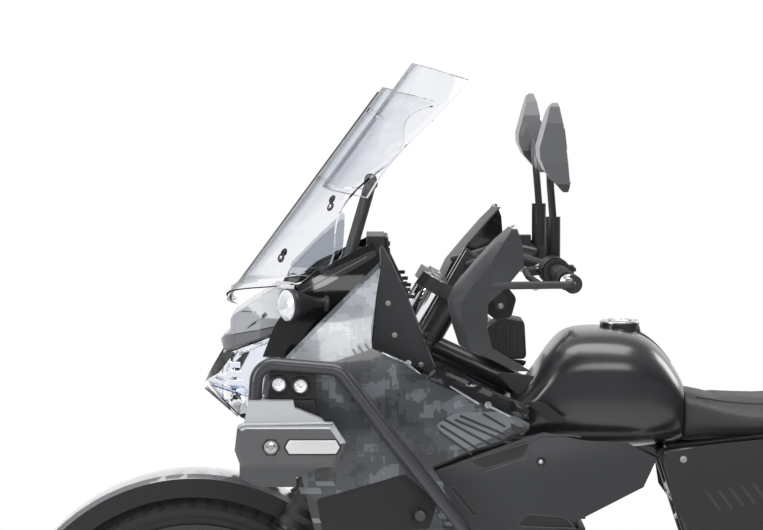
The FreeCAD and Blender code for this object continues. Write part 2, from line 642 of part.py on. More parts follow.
CASE_SHARES = ((0, 0.3), (0.05, 0.06), (0.16, 0), (0.83, 0), (1, 0.2), (0.98, 0.62), (0.87, 0.97),
               (0.62, 0.97), (0.5, 1), (0.08, 0.8), (0, 0.66))
case_core = side_prism(side_points(d.case_rear, d.case_low, d.case_long, d.case_tall, CASE_SHARES),
                       -d.case_half, d.case_half)
left_cover = upright((d.cover_x, d.cover_z), d.cover_radius, d.case_half, d.left_cover_side)
left_cover = left_cover.makeChamfer(d.case_round, [edge for edge in left_cover.Edges
                                                   if edge.BoundBox.YMin > d.left_cover_side - d.turn_gap])
right_cover = upright((d.cover_x, d.cover_z), d.cover_radius, -d.right_cover_side + d.case_round, -d.case_half)
clutch_cover = upright((d.clutch_x, d.clutch_z), d.clutch_radius, -d.right_cover_side, -d.case_half)
clutch_cover = clutch_cover.makeChamfer(d.case_round, [edge for edge in clutch_cover.Edges
                                                       if edge.BoundBox.YMax < d.turn_gap - d.right_cover_side])
drive_boss = upright((d.drive_x, d.drive_z), d.drive_radius, d.case_half, d.guard_plate_side + d.guard_plate_wall)
guard_plate = upright((d.drive_x, d.drive_z), d.drive_radius + d.chain_tall + d.panel_wall, d.guard_plate_side,
                      d.guard_plate_side + d.guard_plate_wall)
bosses = []
BOLTS = 6
for x, z, radius, side_from, side_to in (
        (d.cover_x, d.cover_z, d.cover_radius, d.case_half, d.left_cover_side - d.case_round * 1.2),
        (d.clutch_x, d.clutch_z, d.clutch_radius, d.case_round * 1.2 - d.right_cover_side, -d.case_half)):
    for index in range(BOLTS):
        turn = math.radians(360 / BOLTS * (index + 0.5))
        bosses.append(upright((x + radius * math.cos(turn), z + radius * math.sin(turn)), d.cover_boss, side_from,
                              side_to))
left_cap = upright((d.cover_x, d.cover_z), d.cover_radius * 0.56, d.case_half, d.left_cover_side + d.cover_step)
left_hole = upright((d.cover_x, d.cover_z), d.cover_radius * 0.3, d.left_cover_side, d.overall_length)
clutch_cap = upright((d.clutch_x, d.clutch_z), d.clutch_radius * 0.6, -d.right_cover_side - d.cover_step,
                     -d.case_half)
pump = upright((d.pump_x, d.pump_z), d.pump_radius, d.case_half, d.case_half + d.pump_radius * 1.2)
engine_shape = fuse([case_core, left_cover, right_cover, clutch_cover, drive_boss, guard_plate, left_cap, clutch_cap,
                     pump] + bosses).cut(left_hole)
engine_case = keep("engine_case", engine_shape.cut(chain_band))

barrel = block(Vector(d.barrel_x - d.barrel_half, -d.barrel_half, d.barrel_base),
               Vector(d.barrel_x + d.barrel_half, d.barrel_half, d.barrel_top))
fins = []
fin_count = int((d.barrel_top - d.barrel_base) / d.fin_pitch) - 1
for index in range(fin_count):
    fin_low = d.barrel_base + d.fin_pitch * (index + 1)
    reach = d.barrel_half + d.fin_reach
    fins.append(block(Vector(d.barrel_x - reach, -reach, fin_low),
                      Vector(d.barrel_x + reach, reach, fin_low + d.fin_wall)))
head = block(Vector(d.barrel_x - d.head_half, -d.head_half, d.barrel_top),
             Vector(d.barrel_x + d.head_half, d.head_half, d.head_top))
valve_cover = block(Vector(d.barrel_x - d.valve_half, -d.valve_half, d.head_top),
                    Vector(d.barrel_x + d.valve_half, d.valve_half, d.valve_top))
valve_cover = valve_cover.makeChamfer(d.fin_reach, [edge for edge in valve_cover.Edges
                                                    if edge.BoundBox.ZMin > d.valve_top - d.turn_gap])
head_round = upright((d.barrel_x, (d.barrel_top + d.head_top) / 2), d.head_boss, -d.head_half - d.cover_step,
                     d.head_half + d.cover_step)
cam_ends = []
for end in (1, -1):
    cam_ends.append(upright((d.barrel_x + end * d.head_boss * 1.3, d.head_top + d.fin_reach / 2), d.fin_reach,
                            -d.head_half, d.head_half))
engine_cylinder = keep("engine_cylinder", fuse([barrel, head, valve_cover, head_round] + cam_ends + fins)
                       .cut(engine_case.Shape))

# Main frame: head tube, backbone, downtube, cradle, pivot plates and seat rails

head_low = d.low_crown + d.low_crown_wall + d.turn_gap
head_high = d.high_crown - d.turn_gap
head_tube = rod(steer(0, 0, head_low), steer(0, 0, head_high), d.head_radius)
head_bore = rod(steer(0, 0, head_low - d.overrun), steer(0, 0, head_high + d.overrun), d.stem_radius + d.stem_slack)
head_middle = steer(0, 0, (head_low + head_high) / 2)
rail_cross = Vector(d.rail_front_x, 0, d.rail_front_z)
backbone = rod(head_middle, rail_cross, d.backbone_radius)
split = Vector((d.cradle_front + head_middle.x) / 2, 0, d.split_z)
downtube = rod(steer(-d.downtube_radius, 0, head_low + d.head_radius * 2), split, d.downtube_radius)
frame_parts = [head_tube, backbone, downtube]
plate_shares = ((0.33, 0.88), (0.47, 1), (0.65, 1), (0.76, 0.41), (1, 0.41), (1, 0.28), (0.76, 0), (0.54, 0),
                (0, 0.07), (0, 0.21), (0.34, 0.41))
plate_outline = side_points(d.plate_rear, d.plate_low, d.plate_long, d.plate_tall, plate_shares)
for side in (1, -1):
    cradle_side = side * d.cradle_side
    frame_parts.append(tube([split, Vector(d.cradle_front + d.cradle_z / 4, cradle_side, d.cradle_z * 1.25),
                             Vector(d.cradle_front, cradle_side, d.cradle_z),
                             Vector(d.pivot_x, cradle_side, d.cradle_z)], d.cradle_radius, d.pivot_radius * 2))
    inner = d.plate_inner if side > 0 else -d.plate_inner - d.plate_wall
    frame_parts.append(side_prism(plate_outline, inner, inner + d.plate_wall))
    rail_front = Vector(d.rail_front_x, side * d.rail_front_side, d.rail_front_z)
    rail_rear = Vector(d.rail_rear_x, side * d.rail_rear_side, d.rail_rear_z)
    frame_parts.append(rod(rail_front, rail_rear, d.rail_radius))
    plate_top = Vector(d.pivot_x, side * (d.plate_inner + d.plate_wall / 2), d.pivot_z + d.pivot_radius * 2)
    frame_parts.append(rod(plate_top, rail_front, d.rail_radius))
    strut_top = plate_top + (rail_rear - plate_top) * 0.94
    frame_parts.append(rod(plate_top, strut_top, d.rail_radius))
frame_parts.append(rod(Vector(d.rail_front_x, -d.rail_front_side, d.rail_front_z),
                       Vector(d.rail_front_x, d.rail_front_side, d.rail_front_z), d.rail_radius))
frame_parts.append(rod(Vector(d.rail_rear_x, -d.rail_rear_side, d.rail_rear_z),
                       Vector(d.rail_rear_x, d.rail_rear_side, d.rail_rear_z), d.rail_radius))
frame_parts.append(rod(Vector(d.shock_top_x, -d.rail_front_side, d.shock_top_z),
                       Vector(d.shock_top_x, d.rail_front_side, d.shock_top_z), d.rail_radius))
plate_outer = d.plate_inner + d.plate_wall
for x, z, radius in ((d.pivot_x, d.pivot_z, d.pin_radius), (d.stand_x, d.stand_z, d.pin_radius)):
    frame_parts.append(rod(Vector(x, -plate_outer - d.rim_wall, z), Vector(x, plate_outer + d.rim_wall, z), radius))
for side in (1, -1):
    frame_parts.append(block(Vector(d.peg_x - d.peg_long / 2, min(side * d.plate_inner, side * d.peg_inner),
                                    d.peg_z - d.peg_tall / 2),
                             Vector(d.peg_x + d.peg_long / 2, max(side * d.plate_inner, side * d.peg_inner),
                                    d.peg_z + d.peg_tall / 2)))
    rear_peg = Vector(d.rear_peg_x, side * d.peg_inner, d.rear_peg_z)
    strut_foot = Vector(d.pivot_x, side * (d.plate_inner + d.plate_wall / 2), d.pivot_z + d.pivot_radius * 2)
    strut_head = Vector(d.rail_rear_x, side * d.rail_rear_side, d.rail_rear_z)
    for share in (0.28, 0.46):
        frame_parts.append(rod(rear_peg, strut_foot + (strut_head - strut_foot) * share, d.lever_rod * 1.2))
    frame_parts.append(rod(rear_peg, rear_peg - Vector(0, side * d.rail_radius * 2, 0), d.rail_radius))
side_pivot = Vector(d.side_x, d.side_y, d.side_z)
splay_axis = Vector(0, math.cos(math.radians(SPLAY)), math.sin(math.radians(SPLAY)))
side_root = side_pivot - splay_axis * ((d.side_y - d.cradle_side) / splay_axis.y)
side_hub_low = side_pivot - splay_axis * (d.side_hub_wall / 2 + d.turn_gap)
frame_parts.append(rod(side_root, side_hub_low, d.side_hub))
frame_parts.append(rod(side_hub_low, side_pivot + splay_axis * d.side_hub_wall, d.pin_radius))

# Fairing stay: a flat plate between the fork legs, then a cross bar that carries the cowls
stay_rear = steer(0, 0, (head_low + head_high) / 2)
stay_plate = side_prism([(stay_rear.x, d.stay_z - d.stay_tall / 2), (d.stay_front, d.stay_z - d.stay_tall / 2),
                         (d.stay_front, d.stay_z + d.stay_tall / 2), (stay_rear.x, d.stay_z + d.stay_tall / 2)],
                        -d.stay_half, d.stay_half)
frame_parts.append(stay_plate)
stay_end = Vector(d.stay_bar_x, 0, d.stay_bar_z)
frame_parts.append(rod(stay_end - Vector(0, d.stay_side, 0), stay_end + Vector(0, d.stay_side, 0), d.stay_radius))
engine_lug = block(Vector(d.case_rear + d.case_long - d.case_round, -d.case_half / 2, d.case_low + d.case_half),
                   Vector(split.x + d.cradle_radius, d.case_half / 2, d.split_z))
frame_parts.append(engine_lug)
frame_parts.append(block(Vector(d.barrel_x - d.stay_half, -d.rail_radius, d.valve_top),
                         Vector(d.barrel_x + d.stay_half, d.rail_radius, d.valve_top + d.case_tall / 2)))
frame_solid = fuse(frame_parts).cut(head_bore)
main_frame = keep("main_frame", frame_solid.cut([engine_case.Shape, engine_cylinder.Shape]))

# Swingarm: pivot tube between the plates, then two box arms round the tyre

arm_shares = ((1, 1), (0.73, 0.94), (0.16, 0.58), (0, 0.53), (0, 0), (0.16, 0.03), (0.73, 0.35), (1, 0.52))
arm_side = side_prism(side_points(d.arm_rear, d.arm_low, d.arm_long, d.arm_tall, arm_shares),
                      -d.arm_outer, d.arm_outer)
tyre_front = rear_x + d.rear_tyre_radius
fork_root = tyre_front + d.overrun
plate_back = d.pivot_x - d.pivot_radius - d.plate_wall
arm_plan = [(d.pivot_x, d.arm_root_half), (plate_back, d.arm_root_half),
            (plate_back - d.arm_outer / 2, d.arm_outer), (d.arm_rear, d.arm_outer),
            (d.arm_rear, d.arm_inner), (fork_root, d.arm_inner), (fork_root, 0), (d.pivot_x, 0)]
left_arm = arm_side.common(plan_prism(arm_plan, 0, d.overall_length / 2))
pivot_tube = rod(Vector(d.pivot_x, -d.arm_root_half, d.pivot_z), Vector(d.pivot_x, d.arm_root_half, d.pivot_z),
                 d.pivot_radius)
shock_foot = block(Vector(d.shock_low_x - d.shock_eye, -d.shock_eye, d.pivot_z),
                   Vector(d.shock_low_x + d.shock_eye, d.shock_eye, d.shock_low_z - d.shock_eye / 2))
disc_side = -d.rear_hub_half - d.disc_wall
caliper_arc = Part.makeCylinder(d.rear_disc_radius + d.caliper_low / 2, d.arm_inner + disc_side
                                + d.disc_wall + d.caliper_gap + d.caliper_wall,
                                Vector(rear_x, -d.arm_inner, rear_z), Vector(0, 1, 0))
caliper_hole = Part.makeCylinder(d.rear_disc_radius - d.caliper_reach, d.overall_length,
                                 Vector(rear_x, -d.overall_length / 2, rear_z), Vector(0, 1, 0))
caliper_zone = block(Vector(rear_x + d.caliper_low, -d.overall_length, rear_z + d.caliper_reach),
                     Vector(rear_x + d.overall_length, d.overall_length, rear_z + d.overall_length))
disc_room = Part.makeCylinder(d.rear_disc_radius + d.caliper_gap, d.disc_wall + 2 * d.caliper_gap,
                              Vector(rear_x, disc_side - d.caliper_gap, rear_z), Vector(0, 1, 0))
rear_caliper = caliper_arc.cut([caliper_hole, disc_room]).common(caliper_zone)
arms = fuse([left_arm, flipped(left_arm), pivot_tube, shock_foot])
arms = arms.cut(rod(Vector(d.pivot_x, -d.arm_outer, d.pivot_z), Vector(d.pivot_x, d.arm_outer, d.pivot_z),
                    d.pin_radius))
swingarm = keep("swingarm", fuse([arms, rear_caliper]).cut([rear_axle.Shape, chain_band]))

# Rear shock: a damper with a coil spring round it

shock_low = Vector(d.shock_low_x, 0, d.shock_low_z)
shock_top = Vector(d.shock_top_x, 0, d.shock_top_z)
shock_line = (shock_top - shock_low).normalize()
shock_length = (shock_top - shock_low).Length
shock_parts = [rod(shock_low, shock_top, d.shock_radius)]
for share in (0.14, 0.84):
    seat_at = shock_low + shock_line * (shock_length * share)
    shock_parts.append(rod(seat_at, seat_at + shock_line * d.spring_wire, d.spring_radius))
spring_at = shock_low + shock_line * (shock_length * 0.14)
SPRING_TURNS = 7
spring = ribbed(d.shock_radius - d.rim_wall, d.spring_radius - d.spring_wire, d.spring_radius, shock_length * 0.7,
                SPRING_TURNS)
spring.Placement = Placement(spring_at, Rotation(Vector(0, 0, 1), shock_line))
shock_parts.append(spring)
rear_shock = keep("rear_shock", fuse(shock_parts).cut([main_frame.Shape, swingarm.Shape]))

# Radiator with its side tanks

radiator_core = block(Vector(d.radiator_x, -d.radiator_half, d.radiator_low),
                      Vector(d.radiator_x + d.radiator_thick, d.radiator_half, d.radiator_low + d.radiator_tall))
side_tank = block(Vector(d.radiator_x - d.rim_wall, d.radiator_half, d.radiator_low + d.radiator_tank / 2),
                  Vector(d.radiator_x + d.radiator_thick + d.rim_wall, d.radiator_half + d.radiator_tank,
                         d.radiator_low + d.radiator_tall - d.radiator_tank / 2))
grooves = []
FIN_ROWS = 16
for index in range(FIN_ROWS):
    groove_low = d.radiator_low + d.radiator_tall * (index + 1) / (FIN_ROWS + 1)
    for face_x in (d.radiator_x, d.radiator_x + d.radiator_thick):
        grooves.append(block(Vector(face_x - d.rim_wall, d.radiator_tank - d.radiator_half, groove_low - d.rim_wall / 2),
                             Vector(face_x + d.rim_wall, d.radiator_half - d.radiator_tank,
                                    groove_low + d.rim_wall / 2)))
hose_side = d.radiator_half - d.radiator_tank
high_hose = tube([
    Vector(d.radiator_x + d.rim_wall, hose_side, d.head_top + d.fin_reach),
    Vector(d.radiator_x - d.hose_radius * 4, hose_side, d.head_top + d.fin_reach),
    Vector(d.barrel_x + d.head_half, d.head_half / 2, d.head_top - d.hose_radius * 1.5)], d.hose_radius, d.bar_bend)
low_hose = tube([
    Vector(d.radiator_x + d.rim_wall, hose_side, d.radiator_low + d.radiator_tank),
    Vector(d.radiator_x - d.hose_radius * 5, hose_side, d.radiator_low + d.radiator_tank),
    Vector(d.pump_x + d.pump_radius, d.case_half + d.hose_radius, d.pump_z)], d.hose_radius, d.bar_bend)
radiator_shape = fuse([radiator_core.cut(grooves), side_tank, flipped(side_tank), high_hose, low_hose])
radiator = keep("radiator", radiator_shape.cut([main_frame.Shape, engine_cylinder.Shape, engine_case.Shape]))

# Exhaust: from the head down the front of the engine and back along the right side

port = Vector(d.barrel_x + d.head_half, -d.head_half / 2, (d.barrel_top + d.head_top) / 2 - d.fin_reach)
muffler_start = Vector(d.muffler_front, -d.muffler_side, d.muffler_z)
pipe_route = [
    port,
    port + Vector(d.head_half, 0, -d.fin_reach),
    Vector(port.x + d.head_half, -d.right_cover_side, d.barrel_base + d.case_half),
    Vector(d.barrel_x, -d.right_cover_side - d.pipe_radius, d.barrel_base + d.pipe_radius),
    Vector(d.case_rear, -d.right_cover_side - d.pipe_radius, d.barrel_base + d.pipe_radius),
    muffler_start,
]
exhaust_pipe = keep("exhaust_pipe", tube(pipe_route, d.pipe_radius, d.pipe_bend)
                    .cut([engine_cylinder.Shape, main_frame.Shape]))
muffler_line = Vector(-d.muffler_long, 0, d.muffler_rise).normalize()
muffler_shares = ((0, 0.4), (0.1, 0.86), (0.16, 1), (0.9, 1), (0.97, 0.84), (1, 0.5))
muffler_points = [Vector(0, 0, 0)]
for along, out in muffler_shares:
    muffler_points.append(Vector(d.muffler_radius * out, 0, d.muffler_long * along))
muffler_points.append(Vector(0, 0, d.muffler_long))
muffler_face = Part.Face(Part.makePolygon(muffler_points + [muffler_points[0]]))
muffler_can = muffler_face.revolve(Vector(0, 0, 0), Vector(0, 0, 1), 360)
muffler_tip = Part.makeCylinder(d.tip_radius, d.tip_long, Vector(0, 0, d.muffler_long), Vector(0, 0, 1))
tip_bore = Part.makeCylinder(d.tip_radius - d.rim_wall, d.tip_long, Vector(0, 0, d.muffler_long + d.rim_wall),
                             Vector(0, 0, 1))
muffler_shape = fuse([muffler_can, muffler_tip]).cut(tip_bore)
muffler_place = Placement(muffler_start, Rotation(Vector(0, 0, 1), muffler_line))
muffler_strap_top = Vector(d.rail_rear_x + d.overrun * 3, -d.rail_rear_side, d.rail_rear_z)
muffler_shape.Placement = muffler_place
strap_foot = muffler_start + muffler_line * (d.muffler_long / 2)
strap = rod(strap_foot, strap_foot + (muffler_strap_top - strap_foot), d.lever_rod)
muffler = keep("muffler", fuse([muffler_shape, strap]).cut([exhaust_pipe.Shape, main_frame.Shape]))

# Skid plate under the cradle, bent up at its nose

skid_top = d.cradle_z - d.cradle_radius
skid_outline = [
    (d.skid_rear, skid_top), (d.cradle_front, skid_top), (d.skid_front, skid_top + d.skid_nose_rise),
    (d.skid_front + d.skid_wall, skid_top + d.skid_nose_rise), (d.cradle_front + d.skid_wall, skid_top - d.skid_wall),
    (d.skid_rear, skid_top - d.skid_wall),
]
skid_floor = side_prism(skid_outline, -d.skid_half, d.skid_half)
skid_wing = side_prism([(d.skid_rear, skid_top - d.skid_wall), (d.cradle_front, skid_top - d.skid_wall),
                        (d.skid_front, skid_top + d.skid_nose_rise),
                        (d.cradle_front - d.skid_flange, skid_top + d.skid_flange),
                        (d.skid_rear, skid_top + d.skid_flange / 2)], d.skid_half - d.skid_wall, d.skid_half)
skid_shape = fuse([skid_floor, skid_wing, flipped(skid_wing)]).cut([main_frame.Shape, exhaust_pipe.Shape])
skid_plate = keep("skid_plate", max(skid_shape.Solids, key=lambda solid: solid.Volume))

# Tank and seat as lofts of rounded sections, each section given as shares of length, width and height

TANK_SHARES = ((0, 0.62, 0.06, 0.55), (0.1, 0.84, 0.02, 0.82), (0.25, 0.98, 0, 0.98), (0.42, 1, 0, 1),
               (0.55, 0.98, 0, 0.95), (0.68, 0.92, 0, 0.66), (0.8, 0.8, 0.02, 0.42), (0.92, 0.6, 0.06, 0.32),
               (1, 0.4, 0.1, 0.27))
TANK_POWER = 3.2
tank_rings = []
for along, wide, low, high in TANK_SHARES:
    tank_rings.append(rounded_ring(d.tank_rear + d.tank_long * along, d.tank_half * wide,
                                   d.tank_low + d.tank_tall * low, d.tank_low + d.tank_tall * high, TANK_POWER))
tank_cap = Part.makeCylinder(d.cap_radius, d.cap_rise * 4,
                             Vector(d.cap_x, 0, d.tank_low + d.tank_tall - d.cap_rise * 3), Vector(0, 0, 1))
fuel_tank = keep("fuel_tank", fuse([loft(tank_rings), tank_cap]).cut([main_frame.Shape, engine_cylinder.Shape]))

SEAT_SHARES = ((0, 0.5, 0.6, 0.8), (0.05, 0.72, 0.52, 0.93), (0.2, 0.92, 0.42, 0.98), (0.42, 1, 0.3, 0.92),
               (0.52, 1, 0.26, 0.74), (0.62, 1, 0.2, 0.6), (0.78, 0.92, 0.12, 0.57), (0.92, 0.7, 0.06, 0.66),
               (1, 0.52, 0.04, 0.68))
SEAT_POWER = 3.4
seat_rings = []
for along, wide, low, high in SEAT_SHARES:
    seat_rings.append(rounded_ring(d.seat_rear + d.seat_long * along, d.seat_half * wide,
                                   d.seat_low + d.seat_tall * low, d.seat_low + d.seat_tall * high, SEAT_POWER))
rail_room = []
for side in (1, -1):
    rail_room.append(rod(Vector(d.rail_front_x + d.overrun, side * d.rail_front_side, d.rail_front_z - d.rim_wall),
                         Vector(d.rail_rear_x - d.overrun, side * d.rail_rear_side, d.rail_rear_z + d.rim_wall),
                         d.rail_radius + d.soft_gap * 4))
seat = keep("seat", loft(seat_rings).cut(rail_room).cut([fuel_tank.Shape, main_frame.Shape]))

# Body panels, each a curved sheet with its own outline


def panel_rows(rear, front, low, high, rear_side, mid_side, front_side, top_side):
    """Four by four places for a panel's outer face, widest low and in the middle."""
    rows = []
    for along, side in ((0, rear_side), (0.33, (rear_side + mid_side) / 2), (0.67, mid_side), (1, front_side)):
        column = []
        for up, pull in ((0, 0.12), (0.34, 0), (0.67, 0.08), (1, 1)):
            column.append(Vector(rear + (front - rear) * along, side + (min(top_side, side) - side) * pull,
                                 low + (high - low) * up))
        rows.append(column)
    return rows


shroud_shares = ((0.583, 1), (0.835, 0.794), (0.944, 0.701), (1, 0.63), (0.975, 0.518), (0.926, 0.415),
                 (0.89, 0.335), (0.866, 0.242), (0.835, 0.14), (0.789, 0.043), (0.669, 0), (0.463, 0.026),
                 (0.267, 0.09), (0.236, 0.14), (0.38, 0.339), (0.004, 0.453), (0, 0.473), (0.08, 0.511),
                 (0.314, 0.608), (0.434, 0.649), (0.618, 0.729))
shroud = panel(side_points(d.shroud_rear, d.shroud_low, d.shroud_long, d.shroud_tall, shroud_shares),
               panel_rows(d.shroud_rear - d.overrun, d.shroud_rear + d.shroud_long + d.overrun,
                          d.shroud_low - d.overrun, d.shroud_low + d.shroud_tall + d.overrun,
                          d.shroud_rear_side, d.shroud_side, d.shroud_side - d.fender_edge, d.shroud_top_side),
               d.panel_wall)
boss_high = rod(Vector(d.tank_rear + d.tank_long * 0.8, 0, d.tank_low + d.tank_tall * 0.3),
                Vector(d.tank_rear + d.tank_long * 0.8, d.shroud_rear_side + d.rim_flange,
                       d.tank_low + d.tank_tall * 0.3), d.fender_edge)
boss_low = rod(Vector(d.radiator_x + d.radiator_thick / 2, d.radiator_half + d.radiator_tank, d.radiator_low
                      + d.radiator_tall / 2),
               Vector(d.radiator_x + d.radiator_thick / 2, d.shroud_side - d.panel_wall / 2, d.radiator_low
                      + d.radiator_tall / 2), d.fender_edge)
shroud = fuse([shroud, boss_high, boss_low]).cut([fuel_tank.Shape, main_frame.Shape])
shroud = max(shroud.Solids, key=lambda solid: solid.Volume)
shrouds = keep("shrouds", Part.makeCompound([shroud, flipped(shroud).cut(fuel_tank.Shape)]))

knee_shares = ((1, 0.676), (0.569, 0.968), (0.504, 1), (0.329, 0.928), (0.129, 0.9), (0, 0.766), (0.06, 0.518),
               (0.341, 0.248), (0.647, 0), (0.816, 0.113))
knee = panel(side_points(d.knee_rear, d.knee_low, d.knee_long, d.knee_tall, knee_shares),
             panel_rows(d.knee_rear - d.overrun, d.knee_rear + d.knee_long + d.overrun,
                        d.knee_low - d.overrun, d.knee_low + d.knee_tall + d.overrun,
                        d.knee_rear_side, d.knee_side, d.knee_side, d.knee_rear_side), d.panel_wall)
knee_trim = rod(Vector(d.barrel_x, d.head_half, (d.barrel_top + d.head_top) / 2 + d.fin_reach),
                Vector(d.barrel_x, d.knee_rear_side, (d.barrel_top + d.head_top) / 2 + d.fin_reach), d.fender_edge)
knee = fuse([knee, knee_trim.cut(engine_cylinder.Shape)]).cut([shroud, fuel_tank.Shape])
knee_panels = keep("knee_panels", pair(knee.Solids[0]))

cover_shares = ((1, 0.814), (0.773, 0.893), (0.133, 1), (0, 0.93), (0.107, 0.628), (0.373, 0.186), (0.587, 0),
                (0.827, 0.047), (0.96, 0.372))
cover = panel(side_points(d.cover_rear, d.cover_low, d.cover_long, d.cover_tall, cover_shares),
              panel_rows(d.cover_rear - d.overrun, d.cover_rear + d.cover_long + d.overrun,
                         d.cover_low - d.overrun, d.cover_low + d.cover_tall + d.overrun,
                         d.cover_side - d.fender_edge, d.cover_side, d.cover_side, d.cover_side - d.fender_edge),
              d.panel_wall)
rail_mid = Vector((d.rail_front_x + d.rail_rear_x) / 2, (d.rail_front_side + d.rail_rear_side) / 2,
                  (d.rail_front_z + d.rail_rear_z) / 2)
cover_boss = rod(rail_mid + Vector(d.overrun, 0, 0), Vector(rail_mid.x + d.overrun, d.cover_side - d.panel_wall / 2,
                                                         rail_mid.z - d.fender_edge), d.fender_edge)
cover = fuse([cover, cover_boss.cut(main_frame.Shape)]).cut([seat.Shape, fuel_tank.Shape])
side_covers = keep("side_covers", pair(cover.Solids[0]))

inner_shares = ((0.874, 1), (0.591, 0.738), (0.102, 0.139), (0, 0), (1, 0.222), (0.874, 0.833))
inner_panel = panel(side_points(d.inner_rear, d.inner_low, d.inner_long, d.inner_tall, inner_shares),
                    panel_rows(d.inner_rear - d.overrun, d.inner_rear + d.inner_long + d.overrun,
                               d.inner_low - d.overrun, d.inner_low + d.inner_tall + d.overrun,
                               d.inner_side, d.inner_side, d.inner_side, d.inner_side), d.panel_wall)

cowl_shares = ((0.701, 0.651), (0.475, 0.688), (0.009, 1), (0, 0.922), (0.796, 0.01), (1, 0), (0.891, 0.323))
cowl = panel(side_points(d.cowl_rear, d.cowl_low, d.cowl_long, d.cowl_tall, cowl_shares),
             panel_rows(d.cowl_rear - d.overrun, d.cowl_rear + d.cowl_long + d.overrun,
                        d.cowl_low - d.overrun, d.cowl_low + d.cowl_tall + d.overrun,
                        d.cowl_side, d.cowl_side, d.cowl_front_side, d.cowl_front_side), d.panel_wall)
strip_shares = ((1, 0.089), (0.78, 0.422), (0.101, 1), (0, 0.711), (0.673, 0.078), (0.956, 0))
strip = panel(side_points(d.strip_rear, d.strip_low, d.strip_long, d.strip_tall, strip_shares),
              panel_rows(d.cowl_rear - d.overrun, d.cowl_rear + d.cowl_long + d.overrun,
                         d.cowl_low - d.overrun, d.cowl_low + d.cowl_tall + d.overrun,
                         d.cowl_side, d.cowl_side, d.cowl_front_side, d.cowl_front_side), d.panel_wall * 2)
cowl = fuse([cowl, strip]).cut([shroud, main_frame.Shape])
cowl = max(cowl.Solids, key=lambda solid: solid.Volume)
cowl_sides = keep("cowl_sides", pair(cowl))
inner_panel = max(inner_panel.cut([shroud, cowl]).Solids, key=lambda solid: solid.Volume)
inner_panels = keep("inner_panels", pair(inner_panel))

# Nose cowl and headlamp, each cut from its side outline, its plan and its front

nose_shares = ((0.853, 0.336), (0.853, 0.5), (0.811, 0.582), (0.385, 0.91), (0.252, 1), (0, 0.967), (0, 0.393),
               (0.378, 0.254), (0.944, 0), (1, 0.148))
nose_side = side_prism(side_points(d.nose_rear, d.nose_low, d.nose_long, d.nose_tall, nose_shares),
                       -d.nose_half, d.nose_half)
plan_shares = ((0, 1), (0.45, 0.96), (0.8, 0.7), (0.95, 0.36), (1, 0), (0.95, -0.36), (0.8, -0.7), (0.45, -0.96),
               (0, -1))
nose_plan = plan_prism([(d.nose_rear + d.nose_long * along, d.nose_half * side) for along, side in plan_shares],
                       d.nose_low - d.overrun, d.nose_low + d.nose_tall + d.overrun)
nose_front = front_prism([(d.nose_half, d.nose_low - d.overrun), (d.nose_half, d.nose_low + d.nose_tall / 2),
                          (d.nose_half * 0.62, d.nose_low + d.nose_tall), (-d.nose_half * 0.62, d.nose_low
                                                                           + d.nose_tall),
                          (-d.nose_half, d.nose_low + d.nose_tall / 2), (-d.nose_half, d.nose_low - d.overrun)],
                         d.nose_rear - d.overrun, d.nose_rear + d.nose_long + d.overrun)
nose_solid = nose_side.common(nose_plan).common(nose_front).cut([main_frame.Shape, cowl, flipped(cowl)])
nose_cowl = keep("nose_cowl", nose_solid)

lamp_shares = ((0.789, 0.711), (1, 0.367), (0.62, 0), (0.351, 0.048), (0, 0.349), (0, 1), (0.316, 0.904))
lamp_side = side_prism(side_points(d.lamp_rear, d.lamp_low, d.lamp_long, d.lamp_tall, lamp_shares),
                       -d.lamp_half, d.lamp_half)
lamp_plan = plan_prism([(d.lamp_rear + d.lamp_long * along, d.lamp_half * side) for along, side in plan_shares],
                       d.lamp_low - d.overrun, d.lamp_low + d.lamp_tall + d.overrun)
lamp_solid = lamp_side.common(lamp_plan).cut([main_frame.Shape, nose_solid, cowl, flipped(cowl)])
headlamp = keep("headlamp", lamp_solid)

# Windscreen: a curved pane that narrows to its foot, and a smaller pane behind it, held by short posts

# Each row: share up the pane, share of the half width, share of the setback, share of the edge's drop
SCREEN_SHARES = ((0, 0.32, 0.18, 0.1), (0.12, 0.66, 0.62, 0.4), (0.26, 0.97, 0.98, 0.3), (0.42, 1, 0.66, 0.4),
                 (0.6, 0.96, 0.64, 0.4), (0.8, 0.89, 0.74, 0.7), (1, 0.8, 0.8, 1))
ACROSS_SHARES = (-1, -0.55, 0, 0.55, 1)


def screen_rows(shares, back, rise, shrink):
    """Rows of points across a pane, each row bowed back towards its edges."""
    rows = []
    for up, wide, setback, drop in shares:
        row = []
        for across in ACROSS_SHARES:
            bow = across ** 2
            row.append(Vector(d.screen_base_x - d.screen_run * up - d.screen_setback * setback * bow - back,
                              d.screen_half * wide * across * shrink,
                              d.screen_base_z + d.screen_rise * up - d.screen_edge_drop * drop * bow + rise))
        rows.append(row)
    return rows


def pane(rows):
    """A clear sheet of even thickness through rows of points."""
    skin = Part.BSplineSurface()
    skin.interpolate(rows)
    slope = Vector(-d.screen_rise, 0, -d.screen_run).normalize()
    return skin.toShape().extrude(slope * d.screen_wall)


main_pane = pane(screen_rows(SCREEN_SHARES, 0, 0, 1))
upper_pane = pane(screen_rows(SCREEN_SHARES[3:], d.upper_back, d.upper_rise, 0.96))
post_line = Vector(-d.screen_rise, 0, -d.screen_run).normalize()
posts = []
for up, side in ((0.58, 1), (0.58, -1), (0.9, 1), (0.9, -1)):
    post_from = Vector(d.screen_base_x - d.screen_run * up, side * d.screen_half * 0.2,
                       d.screen_base_z + d.screen_rise * up)
    posts.append(rod(post_from, post_from + post_line * d.overrun, d.post_radius))
screen_solid = fuse([main_pane, upper_pane] + posts)
windscreen = keep("windscreen", screen_solid.cut([nose_solid, cowl, flipped(cowl)]))

# Instrument panel with its hoop, feet on the fairing stay

